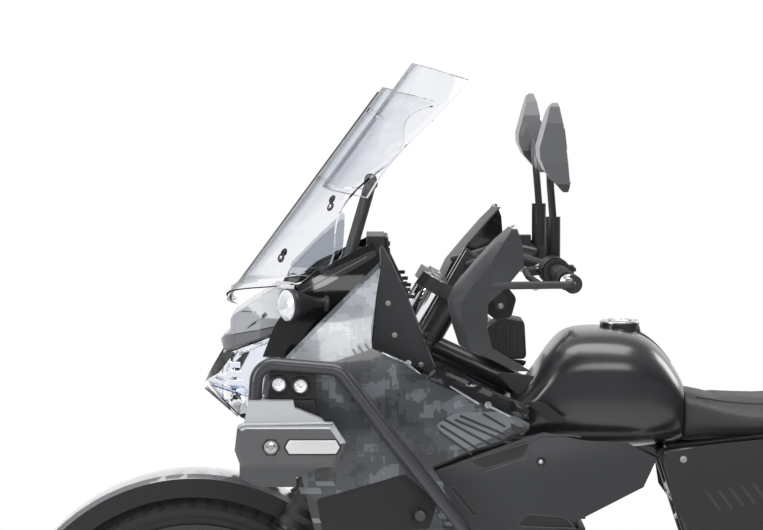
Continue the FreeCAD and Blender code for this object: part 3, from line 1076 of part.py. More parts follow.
dash_body = block(Vector(d.dash_x, -d.dash_half, d.dash_low),
                  Vector(d.dash_x + d.dash_deep, d.dash_half, d.dash_low + d.dash_tall))
hoop_route = [
    Vector(d.hoop_foot_x, -d.hoop_side, d.hoop_foot_z), Vector(d.hoop_top_x, -d.hoop_side, d.hoop_top_z),
    Vector(d.hoop_top_x, d.hoop_side, d.hoop_top_z), Vector(d.hoop_foot_x, d.hoop_side, d.hoop_foot_z),
]
hoop = tube(hoop_route, d.hoop_radius, d.hoop_bend)
hoop_legs = []
for side in (1, -1):
    foot = Vector(d.hoop_foot_x, side * d.hoop_side, d.hoop_foot_z)
    hoop_legs.append(tube([foot + Vector(0, 0, d.hoop_radius), foot - Vector(0, 0, d.hoop_bend),
                           Vector(d.stay_bar_x, side * d.hoop_side, d.stay_bar_z)],
                          d.hoop_radius, d.hoop_bend))
dash_bar = rod(Vector(d.dash_x + d.dash_deep, -d.hoop_side, d.hoop_foot_z + d.hoop_radius),
               Vector(d.dash_x + d.dash_deep, d.hoop_side, d.hoop_foot_z + d.hoop_radius), d.hoop_radius)
dash_links = []
for side in (1, -1):
    dash_links.append(rod(Vector(d.dash_x + d.dash_deep, side * d.hoop_side, d.hoop_foot_z + d.hoop_radius),
                          Vector(d.hoop_foot_x, side * d.hoop_side, d.hoop_foot_z + d.hoop_radius), d.hoop_radius))
dash_shape = fuse([dash_body, hoop, dash_bar] + hoop_legs + dash_links)
instrument_panel = keep("instrument_panel", dash_shape.cut([main_frame.Shape, windscreen.Shape, cowl,
                                                            flipped(cowl), nose_solid, lamp_solid]))

# Crash bars: one bent tube on each side, from the cradle up round the shroud and in to the radiator mount

crash_route = [
    Vector(d.cradle_front, d.cradle_side, d.cradle_z + d.cradle_radius * 3),
    Vector(d.cradle_front + d.bar_bend, d.bar_side * 0.7, d.pad_low * 0.6),
    Vector(d.cradle_front + d.bar_bend / 2, d.bar_side, d.pad_low * 0.84),
    Vector(d.spot_rear - d.spot_long * 1.3, d.bar_side, d.spot_low - d.bar_bend),
    Vector(d.spot_rear - d.spot_long / 2, d.bar_side, d.spot_low + d.spot_tall - d.rim_wall),
    Vector(d.pad_rear + d.pad_long * 0.8, d.bar_side, d.spot_low + d.spot_tall + d.rim_flange),
    Vector(d.pad_rear + d.pad_long * 0.85, d.bar_side, d.pad_low + d.pad_tall * 0.4),
    Vector(d.pad_rear + d.pad_long * 0.7, d.bar_side * 0.72, d.pad_low + d.bar_tube),
    Vector(d.radiator_x + d.radiator_thick / 2, d.bar_side * 0.72, d.radiator_low + d.radiator_tall * 0.76),
    Vector(d.radiator_x + d.radiator_thick / 2, d.radiator_half + d.radiator_tank, d.radiator_low
           + d.radiator_tall * 0.72),
]
crash_bar = tube(crash_route, d.bar_tube, d.bar_bend)
crash_bar = crash_bar.cut([main_frame.Shape, radiator.Shape, skid_plate.Shape, exhaust_pipe.Shape])
crash_bar = max(crash_bar.Solids, key=lambda solid: solid.Volume)
crash_bars = keep("crash_bars", pair(crash_bar))

pad_shares = ((0.976, 0.916), (0.907, 1), (0.117, 1), (0, 0.566), (0.088, 0.024), (0.941, 0), (1, 0.398))
pad_main = side_prism(side_points(d.pad_rear, d.pad_low, d.pad_long, d.pad_tall, pad_shares),
                      d.pad_side - d.pad_wall, d.pad_side)
pad_edges = [edge for edge in pad_main.Edges if edge.BoundBox.YMin > d.pad_side - d.turn_gap]
pad_main = pad_main.makeChamfer(d.pad_step, pad_edges)
pad_top_shares = ((0.94, 1), (0.393, 1), (0.373, 0.667), (0.047, 0.178), (0, 0), (1, 0))
pad_top = side_prism(side_points(d.pad_top_rear, d.pad_top_low, d.pad_top_long, d.pad_top_tall, pad_top_shares),
                     d.pad_side - d.pad_wall, d.pad_side - d.pad_step)
pad_foot_shares = ((0, 1), (0.388, 0.39), (0.388, 0), (0.806, 0), (1, 0.39), (1, 1))
pad_foot = side_prism(side_points(d.pad_foot_rear, d.pad_foot_low, d.pad_foot_long, d.pad_foot_tall
                                  + d.pad_step, pad_foot_shares), d.pad_side - d.pad_wall, d.pad_side - d.pad_step)
pad = fuse([pad_main, pad_top, pad_foot]).cut([crash_bar, shroud])
pad = max(pad.Solids, key=lambda solid: solid.Volume)
slider_pads = keep("slider_pads", pair(pad))

spot_box = block(Vector(d.spot_rear, d.spot_inner, d.spot_low),
                 Vector(d.spot_rear + d.spot_long, d.spot_outer, d.spot_low + d.spot_tall))
spot_lenses = []
for x in (d.spot_front_x, d.spot_back_x):
    spot_lenses.append(Part.makeCylinder(d.spot_lens, d.spot_proud + d.rim_wall,
                                         Vector(x, d.spot_outer - d.rim_wall, d.spot_lens_z), Vector(0, 1, 0)))
spot = fuse([spot_box] + spot_lenses).cut([crash_bar, shroud, pad])
spot = max(spot.Solids, key=lambda solid: solid.Volume)
aux_lamps = keep("aux_lamps", pair(spot))


# Indicators, front ones on the cowl and rear ones on the tail


def indicator(root, line, reach):
    """A stalk, a cone and a domed lens turned about one line."""
    profile = [Vector(0, 0, 0), Vector(d.blinker_plate, 0, 0), Vector(d.blinker_plate, 0, d.rim_wall),
               Vector(d.blinker_neck, 0, d.rim_flange), Vector(d.blinker_neck, 0, reach - d.blinker_dome * 3),
               Vector(d.blinker_radius, 0, reach - d.blinker_dome),
               Vector(d.blinker_radius * 0.94, 0, reach - d.blinker_dome / 2),
               Vector(d.blinker_radius * 0.6, 0, reach - d.rim_wall), Vector(0, 0, reach)]
    solid = Part.Face(Part.makePolygon(profile + profile[:1])).revolve(Vector(0, 0, 0), Vector(0, 0, 1), 360)
    solid.Placement = Placement(root, Rotation(Vector(0, 0, 1), line))
    return solid


front_blinker = indicator(Vector(d.blinker_root_x, d.blinker_root_side, d.blinker_z),
                          Vector(d.blinker_reach * 0.84, d.blinker_reach * 0.54, 0).normalize(), d.blinker_reach)
front_blinker = front_blinker.cut([cowl, shroud])
front_blinker = max(front_blinker.Solids, key=lambda solid: solid.Volume)

# Tail: a fender shell that carries the lamp and the plate

tail_shares = ((1, 0.734), (0.76, 0.923), (0.4, 1), (0.28, 0.937), (0.13, 0.483), (0, 0.028), (0.024, 0),
               (0.18, 0.413), (0.35, 0.762), (0.68, 0.675), (0.96, 0.552))
tail_side = side_prism(side_points(d.tail_rear, d.tail_low, d.tail_long, d.tail_tall, tail_shares),
                       -d.tail_half, d.tail_half)
tail_plan = plan_prism([(d.tail_rear, d.tail_tip_half), (d.tail_rear, -d.tail_tip_half),
                        (d.tail_rear + d.tail_long, -d.tail_half), (d.tail_rear + d.tail_long, d.tail_half)],
                       d.tail_low - d.overrun, d.tail_low + d.tail_tall + d.overrun)
tail_solid = tail_side.common(tail_plan).cut([main_frame.Shape, seat.Shape, muffler.Shape])
tail_solid = max(tail_solid.Solids, key=lambda solid: solid.Volume)
tail_fender = keep("tail_fender", tail_solid)
tail_lamp = keep("tail_lamp", block(
    Vector(d.tail_lamp_x - d.tail_lamp_deep, -d.tail_lamp_half, d.tail_lamp_z - d.tail_lamp_tall / 2),
    Vector(d.tail_lamp_x + d.tail_lamp_deep, d.tail_lamp_half, d.tail_lamp_z + d.tail_lamp_tall / 2))
    .cut(tail_solid))
rear_blinker = indicator(Vector(d.rear_blinker_x, d.rear_blinker_side, d.rear_blinker_z), Vector(0, 1, 0),
                         d.rear_blinker_reach).cut([tail_solid, tail_lamp.Shape])
rear_blinker = max(rear_blinker.Solids, key=lambda solid: solid.Volume)
indicators = keep("indicators", Part.makeCompound([front_blinker, flipped(front_blinker), rear_blinker,
                                                   flipped(rear_blinker)]))

# Rear rack: a slotted plate on tubes that stand on the seat rails

rack_plate = block(Vector(d.rack_rear, -d.rack_half, d.rack_z), Vector(d.rack_front, d.rack_half, d.rack_z + d.rack_wall))
rack_cuts = []
rack_slots = 5
rack_middle = (d.rack_rear + d.rack_front) / 2
for index in range(rack_slots):
    slot_y = (index - (rack_slots - 1) / 2) * d.rack_half / rack_slots * 1.3
    rack_cuts.append(block(Vector(rack_middle - d.rack_half / 2, slot_y - d.rack_slot / 2, d.rack_z - d.overrun),
                           Vector(rack_middle + d.rack_half / 2, slot_y + d.rack_slot / 2, d.rack_z + d.overrun)))
for end in (1, -1):
    for side in (1, -1):
        rack_cuts.append(Part.makeCylinder(d.rack_hole, d.overrun * 2,
                                           Vector(rack_middle + end * d.rack_hole_long / 2,
                                                  side * d.rack_hole_wide / 2, d.rack_z - d.overrun),
                                           Vector(0, 0, 1)))
rack_parts = [rack_plate.cut(rack_cuts)]
rack_side = d.seat_half + d.rack_tube + d.rim_flange
for side in (1, -1):
    rack_parts.append(tube([
        Vector(rack_middle, side * (d.rack_half - d.rack_tube), d.rack_z),
        Vector(d.rack_front + d.overrun, side * (d.rack_half - d.rack_tube), d.rack_z),
        Vector(d.rack_front + d.overrun * 2, side * rack_side, d.rack_z - d.overrun),
        Vector(d.rack_foot_x + d.overrun * 2, side * rack_side, d.rail_rear_z - d.overrun / 2),
        Vector(d.rack_foot_x + d.overrun, side * d.rail_rear_side, d.rail_rear_z - d.rim_flange),
    ], d.rack_tube, d.overrun))
rear_rack = keep("rear_rack", fuse(rack_parts).cut([main_frame.Shape, seat.Shape, tail_solid, muffler.Shape]))

# Footpegs, shift lever and brake pedal

pegs = []
for side in (1, -1):
    pegs.append(block(Vector(d.peg_x - d.peg_long / 2, min(side * d.peg_inner, side * d.peg_outer),
                             d.peg_z - d.peg_tall / 2),
                      Vector(d.peg_x + d.peg_long / 2, max(side * d.peg_inner, side * d.peg_outer),
                             d.peg_z + d.peg_tall / 2)))
    start = Vector(d.rear_peg_x, side * d.peg_inner, d.rear_peg_z)
    reach = d.muffler_side - d.muffler_radius if side < 0 else d.peg_outer
    pegs.append(rod(start, Vector(d.rear_peg_x, side * reach, d.rear_peg_z), d.rail_radius))
peg_set = [peg.cut([main_frame.Shape, muffler.Shape, exhaust_pipe.Shape]) for peg in pegs]
footpegs = keep("footpegs", Part.makeCompound([max(peg.Solids, key=lambda solid: solid.Volume) for peg in peg_set]))

shift_root = Vector(d.peg_x + d.peg_long * 1.4, d.case_half, d.pedal_z)
shift_lever = tube([shift_root, Vector(shift_root.x, d.pedal_side - d.lever_rod * 3, d.pedal_z),
                    Vector(d.shift_x, d.pedal_side, d.pedal_z - d.fin_reach),
                    Vector(d.shift_x + d.lever_rod * 4, d.pedal_side + d.pedal_side / 4, d.pedal_z - d.fin_reach)],
                   d.lever_rod, d.fin_reach)
brake_pedal = tube([Vector(d.peg_x, -d.plate_inner - d.plate_wall, d.peg_z - d.peg_tall * 2),
                    Vector(d.peg_x, -d.pedal_side, d.peg_z - d.peg_tall * 2),
                    Vector(d.brake_x, -d.pedal_side - d.fin_reach / 2, d.pedal_z - d.fin_reach),
                    Vector(d.brake_x + d.lever_rod * 4, -d.pedal_side - d.pedal_side / 4, d.pedal_z - d.fin_reach)],
                   d.lever_rod, d.fin_reach)
foot_levers = []
for lever in (shift_lever, brake_pedal):
    trimmed = lever.cut([engine_case.Shape, main_frame.Shape, skid_plate.Shape])
    foot_levers.append(max(trimmed.Solids, key=lambda solid: solid.Volume))
foot_controls = keep("foot_controls", Part.makeCompound(foot_levers))

# Fork, built about an upright axis and then leaned back by the rake

GAITER_RIBS = 11


def crown(low, wall):
    """A clamp plate that joins the steering stem and both fork legs."""
    reach = d.stanchion_radius + d.crown_wall
    outline = [(-d.stem_radius - d.crown_wall, d.stem_radius), (-d.stem_radius - d.crown_wall, -d.stem_radius),
               (d.fork_offset - reach / 2, -d.leg_half_track - reach), (d.fork_offset + reach / 2, -d.leg_half_track
                                                                       - reach),
               (d.fork_offset + reach, -d.leg_half_track), (d.fork_offset + d.crown_wall, 0),
               (d.fork_offset + reach, d.leg_half_track), (d.fork_offset + reach / 2, d.leg_half_track + reach),
               (d.fork_offset - reach / 2, d.leg_half_track + reach)]
    return plan_prism(outline, low, low + wall)


stem = Part.makeCylinder(d.stem_radius, d.high_crown - d.low_crown, Vector(0, 0, d.low_crown))
crown_parts = [crown(d.low_crown, d.low_crown_wall), crown(d.high_crown, d.high_crown_wall), stem]
bar_holes = []
tube_top = d.high_crown + d.high_crown_wall
for side in (1, -1):
    crown_parts.append(block(Vector(-d.riser_half, side * d.riser_side - d.riser_wide / 2, tube_top),
                             Vector(d.riser_half, side * d.riser_side + d.riser_wide / 2,
                                    d.bar_along + d.riser_half)))
    bar_holes.append(Part.makeCylinder(d.stanchion_radius, d.overall_length,
                                       Vector(d.fork_offset, side * d.leg_half_track, 0)))
bar_bore = Part.makeCylinder(d.bar_radius, d.overall_length, Vector(0, -d.overall_length / 2, d.bar_along),
                             Vector(0, 1, 0))
fork_crowns = keep("fork_crowns", fuse(crown_parts).cut(bar_holes + [bar_bore]), STEERED)

stanchions = []
gaiters = []
sliders = []
for side in (1, -1):
    foot = Vector(d.fork_offset, side * d.leg_half_track, d.leg_top)
    stanchions.append(Part.makeCylinder(d.stanchion_radius, tube_top - d.leg_top, foot))
    gaiter = ribbed(d.stanchion_radius, d.gaiter_neck, d.gaiter_radius, d.gaiter_top - d.leg_top, GAITER_RIBS)
    gaiters.append(gaiter.translated(foot))
    leg = Part.makeCylinder(d.leg_radius, d.leg_top - d.leg_low, Vector(d.fork_offset, side * d.leg_half_track,
                                                                       d.leg_low))
    collar = Part.makeCylinder(d.leg_collar, d.collar_tall, Vector(d.fork_offset, side * d.leg_half_track,
                                                                  d.leg_top - d.collar_tall))
    lug_from = d.leg_half_track - d.leg_radius if side > 0 else -d.leg_half_track - d.leg_radius
    lug = Part.makeCylinder(d.lug_radius, 2 * d.leg_radius, Vector(axle_ahead, lug_from, axle_along), Vector(0, 1, 0))
    sliders.append(fuse([leg, collar, lug]))
fork_tubes = keep("fork_tubes", Part.makeCompound(stanchions), STEERED)
fork_gaiters = keep("fork_gaiters", Part.makeCompound(gaiters), STEERED)

# The front caliper hangs behind the left leg and straddles the disc
disc_inner = d.front_hub_half
caliper_body = Part.makeCylinder(d.front_disc_radius + d.caliper_low / 2, d.leg_half_track
                                 - disc_inner + d.caliper_gap + d.caliper_wall,
                                 Vector(axle_ahead, disc_inner - d.caliper_gap - d.caliper_wall, axle_along),
                                 Vector(0, 1, 0))
caliper_core = Part.makeCylinder(d.front_disc_radius - d.caliper_reach, d.overall_length,
                                 Vector(axle_ahead, -d.overall_length / 2, axle_along), Vector(0, 1, 0))
caliper_slot = Part.makeCylinder(d.front_disc_radius + d.caliper_gap, d.disc_wall + 2 * d.caliper_gap,
                                 Vector(axle_ahead, disc_inner - d.caliper_gap, axle_along), Vector(0, 1, 0))
caliper_room = block(Vector(-d.overall_length, 0, axle_along + d.caliper_low),
                     Vector(d.fork_offset, d.overall_length, axle_along + d.caliper_low + d.caliper_tall))
front_caliper = caliper_body.cut([caliper_core, caliper_slot]).common(caliper_room)
sliders[0] = fuse([sliders[0], front_caliper])
axle_bore = Part.makeCylinder(d.axle_radius, d.overall_length,
                              Vector(axle_ahead, -d.overall_length / 2, axle_along), Vector(0, 1, 0))
fork_sliders = keep("fork_sliders", Part.makeCompound([slider.cut(axle_bore) for slider in sliders]), STEERED)

# Front fender: a shell turned about the axle, with bosses that reach the fork legs

fender_outer = d.front_tyre_radius + d.fender_gap + d.fender_wall
fender_profile = [
    (d.fender_half, fender_outer - d.fender_skirt), (d.fender_half, fender_outer - d.fender_edge),
    (d.fender_half - d.fender_edge, fender_outer - d.fender_wall / 2), (0, fender_outer),
    (d.fender_edge - d.fender_half, fender_outer - d.fender_wall / 2),
    (-d.fender_half, fender_outer - d.fender_edge), (-d.fender_half, fender_outer - d.fender_skirt),
    (d.fender_wall - d.fender_half, fender_outer - d.fender_skirt),
    (d.fender_wall - d.fender_half, fender_outer - d.fender_edge - d.fender_wall),
    (0, fender_outer - d.fender_wall), (d.fender_half - d.fender_wall, fender_outer - d.fender_edge - d.fender_wall),
    (d.fender_half - d.fender_wall, fender_outer - d.fender_skirt),
]
FENDER_FROM = 36
FENDER_TO = 148
fender_wire = Part.makePolygon([Vector(out, side, 0) for side, out in fender_profile + fender_profile[:1]])
fender_wire.rotate(Vector(0, 0, 0), Vector(0, 1, 0), -FENDER_FROM)
fender_shell = Part.Face(fender_wire).revolve(Vector(0, 0, 0), Vector(0, 1, 0), FENDER_FROM - FENDER_TO)
fender_shell = fender_shell.translated(Vector(front_x, 0, front_z))
fork_solids = fork_sliders.Shape
fender_parts = [fender_shell]
arm_low = d.leg_top - d.collar_tall * 4.5
arm_high = axle_along + fender_outer - d.fender_skirt / 2
arm_corners = [steer(d.fork_offset - d.leg_radius, 0, arm_high), steer(d.fork_offset - d.lug_radius / 2, 0, arm_low),
               steer(d.fork_offset + d.lug_radius / 2, 0, arm_low), steer(d.fork_offset + d.leg_radius, 0, arm_high)]
arm_outline = [(corner.x, corner.z) for corner in arm_corners]
fender_arm = side_prism(arm_outline, d.fender_half - d.fender_wall, d.fender_half)
fender_parts += [fender_arm, flipped(fender_arm)]
for along in (d.leg_top - d.collar_tall * 2, d.leg_top - d.collar_tall * 3.7):
    for side in (1, -1):
        inner_point = steer(d.fork_offset, side * (d.fender_half - d.fender_wall), along)
        outer_point = steer(d.fork_offset, side * d.leg_half_track, along)
        fender_parts.append(rod(inner_point, outer_point, d.fender_edge))
fender_solid = fuse(fender_parts).cut(fork_solids)
front_fender = keep("front_fender", max(fender_solid.Solids, key=lambda solid: solid.Volume))

# Handlebar, given as steps from its middle


def bar_point(back, side, rise):
    return bar_centre + Vector(-back, side, rise)


bar_half = [
    bar_point(0, 0, 0), bar_point(0, d.bar_flat, 0), bar_point(d.bar_knee_back, d.bar_knee_side, d.bar_knee_rise),
    bar_point(d.bar_back, d.bar_bend_side, d.bar_bend_rise), bar_point(d.bar_end_back, d.bar_end_side, -d.bar_end_drop),
]
bar_route = [Vector(point.x, -point.y, point.z) for point in reversed(bar_half[1:])] + bar_half[1:]
handlebar = keep("handlebar", tube(bar_route, d.bar_radius, d.bar_bend_radius))
bar_end = bar_half[-1]
bar_line = (bar_half[-1] - bar_half[-2]).normalize()


def on_bar(side):
    """The point of the bar's outer run at a distance from the middle plane."""
    share = (side - bar_half[-2].y) / (bar_half[-1].y - bar_half[-2].y)
    return bar_half[-2] + (bar_half[-1] - bar_half[-2]) * share


grip_start = on_bar(d.grip_inner_side)
grip = fuse([
    rod(grip_start, bar_end, d.grip_radius),
    rod(grip_start, grip_start + bar_line * d.grip_flange_wall, d.grip_flange),
    rod(bar_end, bar_end + bar_line * d.bar_cap_long, d.grip_radius),
]).cut(handlebar.Shape)
grips = keep("grips", pair(grip))

lever_start = on_bar(d.perch_side) + Vector(d.lever_ahead, 0, -d.lever_drop)
lever_end = on_bar(d.lever_tip_side) + Vector(d.lever_ahead + d.lever_radius, 0, -d.lever_drop)
switch = fuse([
    rod(on_bar(d.switch_inner), on_bar(d.switch_outer), d.switch_radius),
    rod(on_bar(d.perch_side), on_bar(d.perch_side + d.perch_wide), d.perch_radius),
    rod(on_bar(d.perch_side + d.perch_wide / 2), on_bar(d.perch_side + d.perch_wide / 2)
        + Vector(d.lever_ahead, 0, -d.lever_drop), d.perch_radius / 2),
    tube([lever_start + Vector(0, d.perch_wide / 2, 0), lever_start + (lever_end - lever_start) * 0.4
          + Vector(d.lever_radius, 0, 0), lever_end], d.lever_radius, d.bar_bend_radius),
    rod(on_bar(d.perch_side + d.perch_wide), on_bar(d.switch_inner), d.perch_radius),
]).cut(handlebar.Shape)
reservoir = block(Vector(lever_start.x - d.reservoir_wide, -lever_start.y - d.reservoir_long / 2,
                         lever_start.z + d.perch_radius / 2),
                  Vector(lever_start.x, -lever_start.y + d.reservoir_long / 2 - d.perch_wide,
                         lever_start.z + d.perch_radius / 2 + d.reservoir_tall))
right_switch = fuse([flipped(switch), reservoir]).cut(handlebar.Shape)
control_units = keep("control_units", Part.makeCompound([switch, right_switch]).cut(grips.Shape))

# Mirrors: a flat shell on a stem that stands in a rubber boot

mirror_shares = ((0.554, 1), (0.375, 1), (0.232, 0.752), (0, 0.068), (0.036, 0), (0.196, 0), (0.804, 0.242),
                 (0.982, 0.385), (1, 0.503), (0.643, 0.969))
mirror_side = side_prism(side_points(d.mirror_rear, d.mirror_low, d.mirror_long, d.mirror_tall, mirror_shares),
                         d.mirror_inner, d.mirror_inner + d.mirror_wide)
mirror_face_shares = ((0.02, 0.3), (0.1, 0.12), (0.3, 0.02), (0.7, 0), (0.9, 0.1), (1, 0.34), (0.98, 0.78),
                      (0.88, 0.96), (0.68, 1), (0.2, 0.9), (0.05, 0.74))
mirror_front = front_prism([(d.mirror_inner + d.mirror_wide * across, d.mirror_low + d.mirror_tall * up)
                            for across, up in mirror_face_shares], d.mirror_rear - d.overrun,
                           d.mirror_rear + d.mirror_long + d.overrun)
mirror_shell = mirror_side.common(mirror_front)
stem_foot = Vector(d.boot_x, d.boot_side, d.boot_low)
stem_rods = tube([stem_foot + Vector(0, 0, d.boot_tall), Vector(d.boot_x + d.stem_rod, d.boot_side, d.stem_knee_z),
                  Vector(d.boot_x + d.stem_rod, d.mirror_inner + d.mirror_wide / 4, d.mirror_low + d.mirror_tall / 2)],
                 d.stem_rod, d.bar_bend_radius)
boot = rod(stem_foot, stem_foot + Vector(0, 0, d.boot_tall), d.boot_radius)
boot = boot.cut([switch, handlebar.Shape])
boot = max(boot.Solids, key=lambda solid: solid.BoundBox.ZMax)
mirror = fuse([mirror_shell, stem_rods, boot])
mirror_pair = Part.makeCompound([mirror, flipped(mirror).cut(right_switch)])
mirrors = keep("mirrors", mirror_pair)

# Handguards: a curved shell lofted through level sections, and an arm from the bar end

# Each level: share of the height, share of the length at the front and at the back, share inwards of the width
GUARD_SHARES = ((0, 0.3, 0.05, 0.5), (0.16, 0.87, 0.5, 0.8), (0.31, 0.95, 0.56, 1), (0.475, 1, 0.55, 1),
                (0.58, 0.92, 0.36, 1), (0.74, 0.7, 0.14, 1), (0.9, 0.47, 0.16, 0.9), (1, 0.3, 0.22, 0.7))


def guard_ring(level, front, back, inwards):
    """One level of the guard: its outer line and, a wall further in, its inner line."""
    z = d.guard_low + d.guard_tall * level
    x_front = d.guard_rear + d.guard_long * front
    x_back = d.guard_rear + d.guard_long * back
    corner = x_front - (x_front - x_back) * 0.3
    inner_side = d.guard_side - (d.guard_side - d.guard_inner_side) * inwards
    middle_side = (inner_side + d.guard_corner_side) / 2
    outer = [(x_front - d.guard_lean, inner_side), (x_front, middle_side),
             (x_front - d.guard_wall, d.guard_corner_side - d.guard_lean), (corner, d.guard_side - d.guard_wall),
             (x_back, d.guard_side)]
    inner = [(x_back, d.guard_side - d.guard_wall), (corner - d.guard_wall / 2, d.guard_side - 2 * d.guard_wall),
             (x_front - 2 * d.guard_wall, d.guard_corner_side - d.guard_lean - d.guard_wall),
             (x_front - d.guard_wall, middle_side),
             (x_front - d.guard_lean - d.guard_wall, inner_side)]
    points = [Vector(x, y, z) for x, y in outer + inner]
    return Part.makePolygon(points + points[:1])


guard_shell = Part.makeLoft([guard_ring(*row) for row in GUARD_SHARES], True, True)
guard_mid = d.guard_low + d.guard_tall * 0.6
arm_out = Vector(bar_end.x, bar_end.y + d.bar_cap_long, bar_end.z)
guard_arm = tube([
    arm_out + Vector(0, -d.bar_cap_long / 4, 0), arm_out + Vector(0, d.guard_arm_radius * 3, 0),
    Vector(bar_end.x + d.guard_long * 0.92, d.guard_side - d.guard_wall * 2, guard_mid),
], d.guard_arm_radius, d.guard_arm_radius * 1.5)
guard_clamp = rod(bar_half[2], Vector(d.guard_rear + d.guard_long * 0.82, d.guard_inner_side + d.guard_lean, guard_mid),
                  d.guard_arm_radius)
handguard = fuse([guard_shell, guard_arm, guard_clamp]).cut([grip, handlebar.Shape, switch])
handguard = max(handguard.Solids, key=lambda solid: solid.Volume)
handguards = keep("handguards", pair(handguard))

# Stands. The centre stand hangs on its pin under the pivot plates, the side stand on the left cradle tube

stand_parts = [Part.makeCylinder(d.stand_tube, 2 * (d.plate_inner - d.turn_gap),
                                 Vector(d.stand_x, d.turn_gap - d.plate_inner, d.stand_z), Vector(0, 1, 0))]
for side in (1, -1):
    leg_top = Vector(d.stand_x, side * d.stand_top_side, d.stand_z)
    leg_foot = Vector(d.stand_foot_x, side * d.stand_foot_side, d.foot_tall / 2)
    stand_parts.append(rod(leg_top, leg_foot, d.stand_tube))
    stand_parts.append(block(leg_foot - Vector(d.foot_half, d.foot_wide, d.foot_tall / 2),
                             leg_foot + Vector(d.foot_half, d.foot_wide, d.foot_tall / 2)))
brace_share = (d.stand_z - d.stand_brace_z) / d.stand_z
brace_side = d.stand_top_side + (d.stand_foot_side - d.stand_top_side) * brace_share
brace_x = d.stand_x + (d.stand_foot_x - d.stand_x) * brace_share
stand_parts.append(rod(Vector(brace_x, -brace_side, d.stand_brace_z), Vector(brace_x, brace_side, d.stand_brace_z),
                       d.stand_tube * 0.8))
stand_parts.append(rod(Vector(d.stand_foot_x, d.stand_foot_side * 0.86, d.stand_tube * 3),
                       Vector(d.stand_foot_x - d.foot_half * 3, d.stand_foot_side + d.foot_wide, d.stand_tube * 4),
                       d.stand_tube / 2))
below_floor = block(Vector(-d.overall_length, -d.overall_length, -d.overall_length),
                    Vector(d.overall_length, d.overall_length, 0))
stand_pin = rod(Vector(d.stand_x, -d.overall_length, d.stand_z), Vector(d.stand_x, d.overall_length, d.stand_z),
                d.pin_radius + d.soft_gap)
centre_stand = keep("centre_stand", fuse(stand_parts).cut([below_floor, stand_pin]))

hub_start = side_pivot - splay_axis * (d.side_hub_wall / 2)
side_hub = rod(hub_start, hub_start + splay_axis * d.side_hub_wall, d.side_hub)
side_bore = rod(hub_start - splay_axis * d.side_hub, hub_start + splay_axis * d.side_hub * 3,
                d.pin_radius + d.soft_gap)
side_end = side_pivot + Vector(-d.side_leg, 0, 0)
side_leg = rod(side_pivot, side_end, d.side_leg_radius)
side_foot = rod(side_end, side_end - Vector(d.side_foot_wall, 0, 0), d.side_foot_half)
side_stand = keep("side_stand", fuse([side_hub, side_leg, side_foot]).cut(side_bore))

# Only these are sub-parts: the rim and hub forms and the size reader are construction

PARTS = [
    main_frame, engine_case, engine_cylinder, radiator, exhaust_pipe, muffler, skid_plate, fuel_tank, seat,
    shrouds, knee_panels, side_covers, inner_panels, cowl_sides, nose_cowl, headlamp, windscreen,
    instrument_panel, crash_bars, slider_pads, aux_lamps, indicators, tail_fender, tail_lamp, rear_rack,
    swingarm, rear_shock, rear_axle, chain, footpegs, foot_controls, fork_crowns, fork_tubes, fork_gaiters,
    fork_sliders, front_axle, front_fender, handlebar, grips, control_units, mirrors, handguards,
    front_tyre, front_wheel, front_disc, rear_tyre, rear_wheel, rear_disc, rear_sprocket,
    centre_stand, side_stand,
]

doc.recompute()
for each in doc.Objects:
    if "Invalid" in each.State or "Error" in each.State:
        raise RuntimeError(f"{each.Label} did not build: {each.State}")
for part in PARTS:
    if part.Shape.isNull() or not part.Shape.isValid():
        raise RuntimeError(f"{part.Label} has no valid shape")
os.makedirs("parts", exist_ok=True)
for part in PARTS:
    part.Shape.exportStep(f"parts/{part.Label}.step")
    box = part.Shape.BoundBox
    print(f"{part.Label}: {len(part.Shape.Solids)} solids, {part.Shape.Volume / 1000:.0f} cm3,"
          f" x {box.XMin:.0f} to {box.XMax:.0f}, y {box.YMin:.0f} to {box.YMax:.0f},"
          f" z {box.ZMin:.0f} to {box.ZMax:.0f}")
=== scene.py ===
# %% [markdown]
# # An adventure motorcycle in a studio
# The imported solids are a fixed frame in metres: +X forward, +Y to the rider's left, +Z up.
# Each cell dresses one part of that frame or puts a closer form over it. What is right as it is
# keeps its mesh and only gets a finish. Sizes that come from a drawing of the machine are written
# in millimetres and turned into metres by one helper.

# %% Load the frame
import math

import bmesh
import bpy
import numpy as np
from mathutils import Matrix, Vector
from mathutils.bvhtree import BVHTree
from mathutils.geometry import convex_hull_2d, delaunay_2d_cdt


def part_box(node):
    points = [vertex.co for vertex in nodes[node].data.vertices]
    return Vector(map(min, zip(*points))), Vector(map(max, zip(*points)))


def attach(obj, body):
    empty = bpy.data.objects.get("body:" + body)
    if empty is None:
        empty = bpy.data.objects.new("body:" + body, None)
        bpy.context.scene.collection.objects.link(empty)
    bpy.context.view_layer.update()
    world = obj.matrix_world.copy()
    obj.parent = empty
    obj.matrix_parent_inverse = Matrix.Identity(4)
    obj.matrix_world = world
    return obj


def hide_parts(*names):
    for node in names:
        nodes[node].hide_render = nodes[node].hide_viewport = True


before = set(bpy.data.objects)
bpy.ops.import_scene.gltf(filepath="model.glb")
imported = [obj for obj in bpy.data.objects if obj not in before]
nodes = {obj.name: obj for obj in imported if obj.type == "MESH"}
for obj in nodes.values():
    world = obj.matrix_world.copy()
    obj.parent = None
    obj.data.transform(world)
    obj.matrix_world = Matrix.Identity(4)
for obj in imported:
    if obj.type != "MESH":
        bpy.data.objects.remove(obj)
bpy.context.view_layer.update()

# %% [markdown]
# ## Small helpers
# Nearly every piece is one of four kinds: a solid from a list of points, a tube along a line, a
# form turned about an axis, or a panel draped over a curved face. Each kind gets one helper, so
# that a piece's own cell says only what is special about it.

